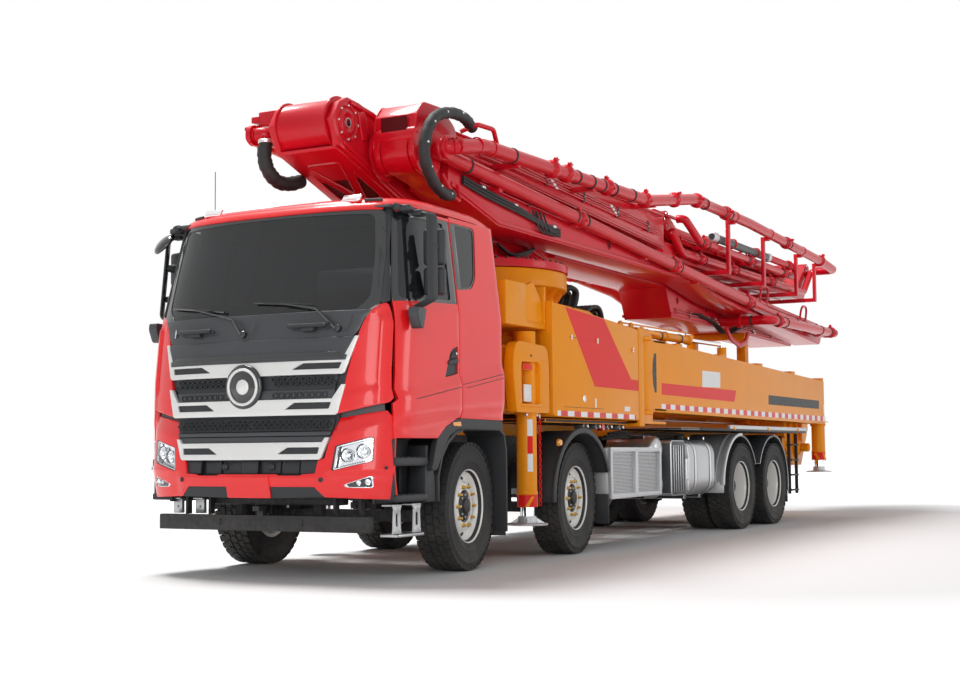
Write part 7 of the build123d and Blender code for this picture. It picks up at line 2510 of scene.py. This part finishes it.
def make_boom_5():
    shape = Shape("boom_red").cad("boom_5", 0.006)
    joint_boss(shape, (-0.56, 0.640, 3.840), 1, 0.100, 6, 0.022)
    for x in (-1.25, -3.1, -4.7):
        coupling(shape, PIPE_E, x, 0.88, 0.05)
    coupling(shape, [(-5.3, 3.745), (-3.9, 3.745)], -4.95, 0.88, 0.05, eared=False)
    line_bundle(shape, [(-1.0, 3.69), (-5.2, 3.67)], 0.640, 1, (0.0, -0.03), (-1.6, -2.7, -3.8, -4.9))
    shape.use("guard_alloy")
    shape.lathe([(0.050, -0.05), (0.064, -0.048), (0.068, -0.02), (0.066, 0.02), (0.060, 0.05),
                 (0.050, 0.052)],
                facing((-3.90, 0.88, 3.745), (1, 0, 0)), 36)
    shape.use("boom_red")
    for x in (-2.35, -3.35):
        loop = bent([(x, 0.66, 3.62), (x, 0.80, 3.67), (x, 0.945, 3.70), (x, 0.945, 3.80), (x, 0.82, 3.81),
                     (x, 0.66, 3.76)], 0.05, 4)
        shape.tube(loop, 0.011, 8)
        shape.box((x - 0.02, 0.63, 3.60), (x + 0.02, 0.68, 3.78), 0.004)
    shape.piece("fifth_boom", "boom_5", replaces=("boom_5",), smooth=40)
    tail = Shape("guard_alloy")
    tail.lathe([(0.040, -0.075), (0.058, -0.072), (0.060, -0.03), (0.068, -0.02), (0.068, 0.055),
                (0.062, 0.062),
                (0.050, 0.066), (0.050, 0.073), (0.044, 0.075), (0.040, 0.04)],
               facing((-1.625, 0.88, 3.745), (1, 0, 0)), 40, closed=True)
    tail.use("steel")
    for k in range(2):
        tail.ring((-1.66 + 0.05 * k, 0.88, 3.745), (1, 0, 0), 0.0695, 0.06, 0.012, 36)
    tail.use("frame_black")
    tail.bar((-1.60, 0.88, 3.745), (-1.555, 0.88, 3.745), 0.040, 30)
    end = tail.piece("hose_end_fitting", "boom_5", smooth=40)
    return end


def make_end_hose():
    """The grey delivery hose laid back along the last boom."""
    curve = bpy.data.curves.new("delivery_hose", "CURVE")
    curve.dimensions = "3D"
    spline = curve.splines.new("NURBS")
    route = [(-3.88, 0.88, 3.745), (-3.6, 0.88, 3.745), (-3.1, 0.882, 3.742), (-2.6, 0.884, 3.740),
             (-2.1, 0.882, 3.742), (-1.8, 0.88, 3.745), (-1.66, 0.88, 3.745)]
    spline.points.add(len(route) - 1)
    for point, place in zip(spline.points, route):
        point.co = (*place, 1)
    spline.order_u = 3
    spline.use_endpoint_u = True
    curve.bevel_depth = 0.054
    curve.bevel_resolution = 7
    curve.resolution_u = 10
    curve.use_fill_caps = True
    curve.materials.append(FINISH["hose_rubber"])
    hose = bpy.data.objects.new("delivery_hose", curve)
    bpy.context.scene.collection.objects.link(hose)
    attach(hose, "boom_5")
    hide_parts("end_hose")
    return hose


def make_boom():
    make_turret()
    make_lift_cylinder()
    make_boom_1()
    make_boom_2()
    make_boom_3()
    make_boom_4()
    end = make_boom_5()


# ------------------------------------------------------------------ hopper, pumping unit, platform and rear
def make_hopper():
    """The hopper with its rolled rim, ribs, mixer drive bosses, apron and a white plate."""
    shape = Shape("body_orange").cad("hopper", 0.008)
    for side in (1, -1):
        rim = bent([(-4.63, side * 0.86, 1.622), (-5.885, side * 0.86, 1.622)], 0.05)
        shape.tube(rim, 0.024, 12)
        for x in (-4.80, -5.10, -5.40):
            low, high = min(side * 0.85, side * 0.90), max(side * 0.85, side * 0.90)
            shape.prism([(x - 0.012, 1.59), (x + 0.012, 1.59), (x + 0.012, 0.95), (x - 0.012, 0.95)], low,
                        high,
                        bevel=0.004)
        place = facing((-5.20, side * 0.85, 1.02), (0, side, 0))
        shape.lathe([(0, 0), (0.15, 0), (0.15, 0.02), (0.12, 0.03), (0.10, 0.075), (0.07, 0.085), (0, 0.085)],
                    place, 36)
        for k in range(8):
            a = math.pi / 4 * k
            shape.use("steel").bolt((-5.20 + 0.132 * math.cos(a), side * 0.87, 1.02 + 0.132 * math.sin(a)),
                                    (0, side, 0), 0.011, 0.012)
        shape.use("body_orange").bar((-5.20, side * 0.935, 1.02), (-5.20, side * 1.06, 1.02), 0.062, 24,
                                     0.008)
        side_box(shape, side, (-5.86, -5.80), (0.40, 0.85), (1.24, 1.30), 0.008)
    shape.tube([(-5.89, -0.86, 1.622), (-5.89, 0.86, 1.622)], 0.024, 12)
    shape.use("hose_black")
    shape.prism([(-5.905, 1.63), (-5.917, 1.63), (-5.945, 1.22), (-5.933, 1.22)], -0.80, 0.80, bevel=0.003)
    shape.use("plate_white").box((-5.922, -0.26, 1.30), (-5.916, 0.26, 1.41), 0.0, 1,
                                 Matrix.Rotation(0, 4, "X"))
    shape.use("body_orange")
    shape.box((-5.45, -0.28, 0.70), (-5.05, 0.28, 0.77), 0.01)
    shape.bar((-5.25, 0, 0.64), (-5.25, 0, 0.72), 0.11, 30, 0.006)
    shape.piece("hopper_shell", "root", replaces=("hopper",), smooth=35)
    grate = Shape("body_orange").cad("hopper_grate", 0.003, 1)
    for row in range(7):
        x = -4.80 - row * 0.155
        grate.bar((x - 0.015, -0.765, 1.653), (x - 0.015, 0.765, 1.653), 0.011, 10)
    for side in (1, -1):
        grate.bar((-4.80, side * 0.60, 1.66), (-4.80, side * 0.70, 1.66), 0.018, 14, 0.004)
    grate.piece("grate", "hopper_grate", replaces=("hopper_grate",), smooth=40)


def make_pumping_unit():
    """Two delivery cylinders with flanges and tie rods, the water box and its lines."""
    shape = Shape("body_orange").cad("pumping_unit", 0.006)
    for y in (-0.16, 0.16):
        for x in (-4.40, -3.0, -1.4, 0.12):
            shape.use("body_orange").ring((x, y, 1.50), (1, 0, 0), 0.142, 0.120, 0.045, 40)
        shape.use("steel").ring((0.52, y, 1.50), (1, 0, 0), 0.092, 0.07, 0.05, 32)
        for x in (0.56, 1.70):
            shape.use("body_orange").ring((x, y, 1.50), (1, 0, 0), 0.090, 0.072, 0.05, 32)
        for dy in (-0.13, 0.13):
            for dz in (-0.13, 0.13):
                if abs(y + dy) > 0.2:
                    shape.use("steel").bar((-4.48, y + dy, 1.50 + dz), (0.20, y + dy, 1.50 + dz), 0.012, 10)
    shape.use("body_orange")
    shape.box((0.22, -0.28, 1.655), (0.46, 0.28, 1.672), 0.005)
    for x in (0.26, 0.42):
        for y in (-0.24, 0, 0.24):
            shape.use("steel").bolt((x, y, 1.672), (0, 0, 1), 0.011, 0.010)
    for k, y in enumerate((-0.36, -0.33, 0.33, 0.36)):
        route = [(1.6, y, 1.62), (0.6, y, 1.66), (-1.5, y, 1.64 + 0.01 * k), (-4.3, y, 1.63)]
        shape.use("body_orange").tube(flowing(route, 5), 0.016, 10)
    for x in (-3.8, -2.4, -1.0, 0.4):
        for side in (1, -1):
            shape.use("hose_black").box((x - 0.02, min(side * 0.31, side * 0.385), 1.60),
                                        (x + 0.02, max(side * 0.31, side * 0.385), 1.69), 0.004)
    shape.piece("pump_cylinders", "root", replaces=("pumping_unit",), smooth=40)


def make_platform():
    """The walkways, the rear bumper with its lamps, the ladder and the pump parts above it."""
    shape = Shape("frame_black").cad("rear_platform", 0.004)
    stud = Shape("frame_black")
    stud.prism([(-0.014, -0.004), (0, -0.007), (0.014, -0.004), (0.014, 0.004), (0, 0.007), (-0.014, 0.004)],
               0.0, 0.003,
               axis="z")
    for side in (1, -1):
        one = Shape("frame_black")
        one.bm.from_mesh(as_mesh(stud))
        shape.take(repeated("grid", one, Matrix.Translation((-2.75, side * 0.86, 1.2555)), "frame_black",
                            Size_X=3.2,
                            Size_Y=0.66, Vertices_X=64, Vertices_Y=14))
    stud.bm.free()
    for side in (1, -1):
        for x in (-4.62, -4.98):
            shape.use("frame_black")
            side_box(shape, side, (x - 0.016, x + 0.016), (0.90, 0.945), (0.345, 1.225), 0.005)
        for z in (0.40, 0.62, 0.84, 1.06):
            side_box(shape, side, (-4.98, -4.62), (0.885, 0.965), (z - 0.012, z + 0.012), 0.005)
        shape.use("body_orange")
        side_box(shape, side, (-4.60, -4.42), (0.60, 0.88), (0.78, 1.18), 0.02)
        shape.bar((-5.05, side * 0.70, 0.66), (-4.46, side * 0.70, 0.66), 0.055, 24, 0.008)
        shape.bar((-5.05, side * 0.78, 0.86), (-4.46, side * 0.78, 0.86), 0.04, 20, 0.006)
        shape.use("hose_black")
        for k in range(3):
            route = [(-4.5, side * (0.72 + 0.05 * k), 1.18), (-4.7, side * (0.76 + 0.04 * k), 0.98),
                     (-5.0, side * (0.74 + 0.04 * k), 0.92 - 0.05 * k), (-5.25, side * 0.70, 1.02)]
            shape.tube(flowing(route, 6), 0.016, 8)
        shape.use("panel_grey")
        side_box(shape, side, (-5.845, -5.80), (0.30, 0.55), (0.49, 0.59), 0.010)
        for low, high, name in ((0.31, 0.37, "lamp_amber"), (0.38, 0.47, "lamp_red"),
                                (0.48, 0.54, "plate_white")):
            shape.use(name)
            side_box(shape, side, (-5.853, -5.844), (low, high), (0.505, 0.575), 0.004)
    shape.use("plate_white").box((-5.812, -0.24, 0.49), (-5.80, 0.24, 0.59), 0.003)
    shape.piece("walkways_and_rear", "root", replaces=("rear_platform",), smooth=35)
    rest = Shape("body_orange").cad("boom_rest", 0.008)
    rest.use("hose_black").box((-4.30, -0.44, 2.688), (-4.12, 0.44, 2.70), 0.004)
    rest.use("body_orange")
    for side in (1, -1):
        rest.prism([(-4.29, 1.42), (-4.13, 1.42), (-3.85, 1.42), (-4.13, 2.0)],
                   min(side * 0.375, side * 0.395),
                   max(side * 0.375, side * 0.395), bevel=0.004)
        rest.box((-4.32, min(side * 0.30, side * 0.47), 1.355), (-4.10, max(side * 0.30, side * 0.47), 1.375),
                 0.004)
    rest.bar((-4.21, -0.33, 2.0), (-4.21, 0.33, 2.0), 0.035, 18)
    rest.piece("boom_cradle", "root", replaces=("boom_rest",), smooth=35)


def as_mesh(shape):
    """A mesh copy of what a shape has so far."""
    mesh = bpy.data.meshes.new("copy")
    shape.bm.to_mesh(mesh)
    return mesh


def make_rear():
    make_hopper()
    make_pumping_unit()
    make_platform()


# ------------------------------------------------------------------ stage
LENS, SENSOR = 53.67, 36.0
CAMERA_AT = (15.996, 7.022, 0.996)
YAW, PITCH, ROLL = math.radians(28.60), math.radians(4.06), math.radians(-0.453)


def make_camera():
    """A camera in front of the left headlamp, looking back along the truck."""
    look = Vector((-math.cos(YAW) * math.cos(PITCH), -math.sin(YAW) * math.cos(PITCH), math.sin(PITCH)))
    right = Vector((-math.sin(YAW), math.cos(YAW), 0))
    up = right.cross(look)
    c, s = math.cos(ROLL), math.sin(ROLL)
    turned_right, turned_up = right * c + up * s, up * c - right * s
    data = bpy.data.cameras.new("camera")
    data.lens, data.sensor_width = LENS, SENSOR
    data.clip_end = 200
    camera = bpy.data.objects.new("camera", data)
    camera.matrix_world = (Matrix.Translation(CAMERA_AT)
                           @ Matrix((turned_right, turned_up, -look)).transposed().to_4x4())
    bpy.context.scene.collection.objects.link(camera)
    bpy.context.scene.camera = camera


def make_light(name, place, target, size, power):
    """A soft square lamp that faces a target."""
    data = bpy.data.lights.new(name, "AREA")
    data.shape = "SQUARE"
    data.size, data.energy = size, power
    lamp = bpy.data.objects.new(name, data)
    lamp.matrix_world = facing(place, Vector(place) - Vector(target))
    bpy.context.scene.collection.objects.link(lamp)


def seen_rays(tree):
    """1 for camera, glossy and transmission rays, 0 for the rays that light the object."""
    path = tree.nodes.new("ShaderNodeLightPath")
    first = tree.nodes.new("ShaderNodeMath")
    first.operation = "MAXIMUM"
    tree.links.new(path.outputs["Is Camera Ray"], first.inputs[0])
    tree.links.new(path.outputs["Is Glossy Ray"], first.inputs[1])
    second = tree.nodes.new("ShaderNodeMath")
    second.operation = "MAXIMUM"
    tree.links.new(first.outputs[0], second.inputs[0])
    tree.links.new(path.outputs["Is Transmission Ray"], second.inputs[1])
    return second.outputs[0]


def make_stage():
    """A white surround and a pale floor that keeps the truck's shadow."""
    world = bpy.data.worlds.new("surround")
    bpy.context.scene.world = world
    world.use_nodes = True
    tree = world.node_tree
    back = tree.nodes["Background"]
    back.inputs["Color"].default_value = (1, 1, 1, 1)
    tree.links.new(mapped(tree, seen_rays(tree), 0, 1, 0.30, 1.0), back.inputs["Strength"])

    bpy.ops.mesh.primitive_circle_add(vertices=96, radius=60, fill_type="NGON", location=(0, 0, -0.001))
    floor = bpy.context.object
    floor.name = "floor"
    material = bpy.data.materials.new("pale_floor")
    material.use_nodes = True
    tree = material.node_tree
    shader = tree.nodes["Principled BSDF"]
    shader.inputs["Base Color"].default_value = (0.88, 0.88, 0.88, 1)
    shader.inputs["Roughness"].default_value = 0.9
    shader.inputs["Specular IOR Level"].default_value = 0.0
    shader.inputs["Emission Color"].default_value = (1, 1, 1, 1)
    place = tree.nodes.new("ShaderNodeTexCoord")
    far = tree.nodes.new("ShaderNodeVectorMath")
    far.operation = "LENGTH"
    tree.links.new(place.outputs["Object"], far.inputs[0])
    glow = tree.nodes.new("ShaderNodeMath")
    glow.operation = "MULTIPLY"
    tree.links.new(mapped(tree, far.outputs["Value"], 7.5, 15.0, 0.0, 1.0), glow.inputs[0])
    tree.links.new(seen_rays(tree), glow.inputs[1])
    tree.links.new(glow.outputs[0], shader.inputs["Emission Strength"])
    floor.data.materials.append(material)
    make_light("key", (4.0, -5.0, 17.0), (0.5, 0.3, 1.5), 5.0, 3000)
    make_light("front", (22.0, 9.0, 4.8), (5.0, 0.0, 1.6), 8.0, 900)
    make_light("side", (-5.0, 22.0, 5.4), (-1.0, 0.0, 1.9), 9.0, 800)
    make_light("back", (-14.0, -14.0, 10.0), (0.0, 0.0, 2.0), 9.0, 600)


def dress_cad_nodes():
    """Gives each CAD node that stays on show the finish of its record slot."""
    slots = {entry["node"]: entry["material_slot"] for entry in frame["record"]["subparts"]}
    for name, node in NODES.items():
        node.data.materials.clear()
        node.data.materials.append(FINISH[slots[name]])


dress_cad_nodes()
make_camera()
HOSE = make_end_hose()
make_stage()
make_cab()
make_front()
make_wheels()
make_body()
make_boom()
make_rear()

bpy.context.scene.view_settings.view_transform = "Standard"
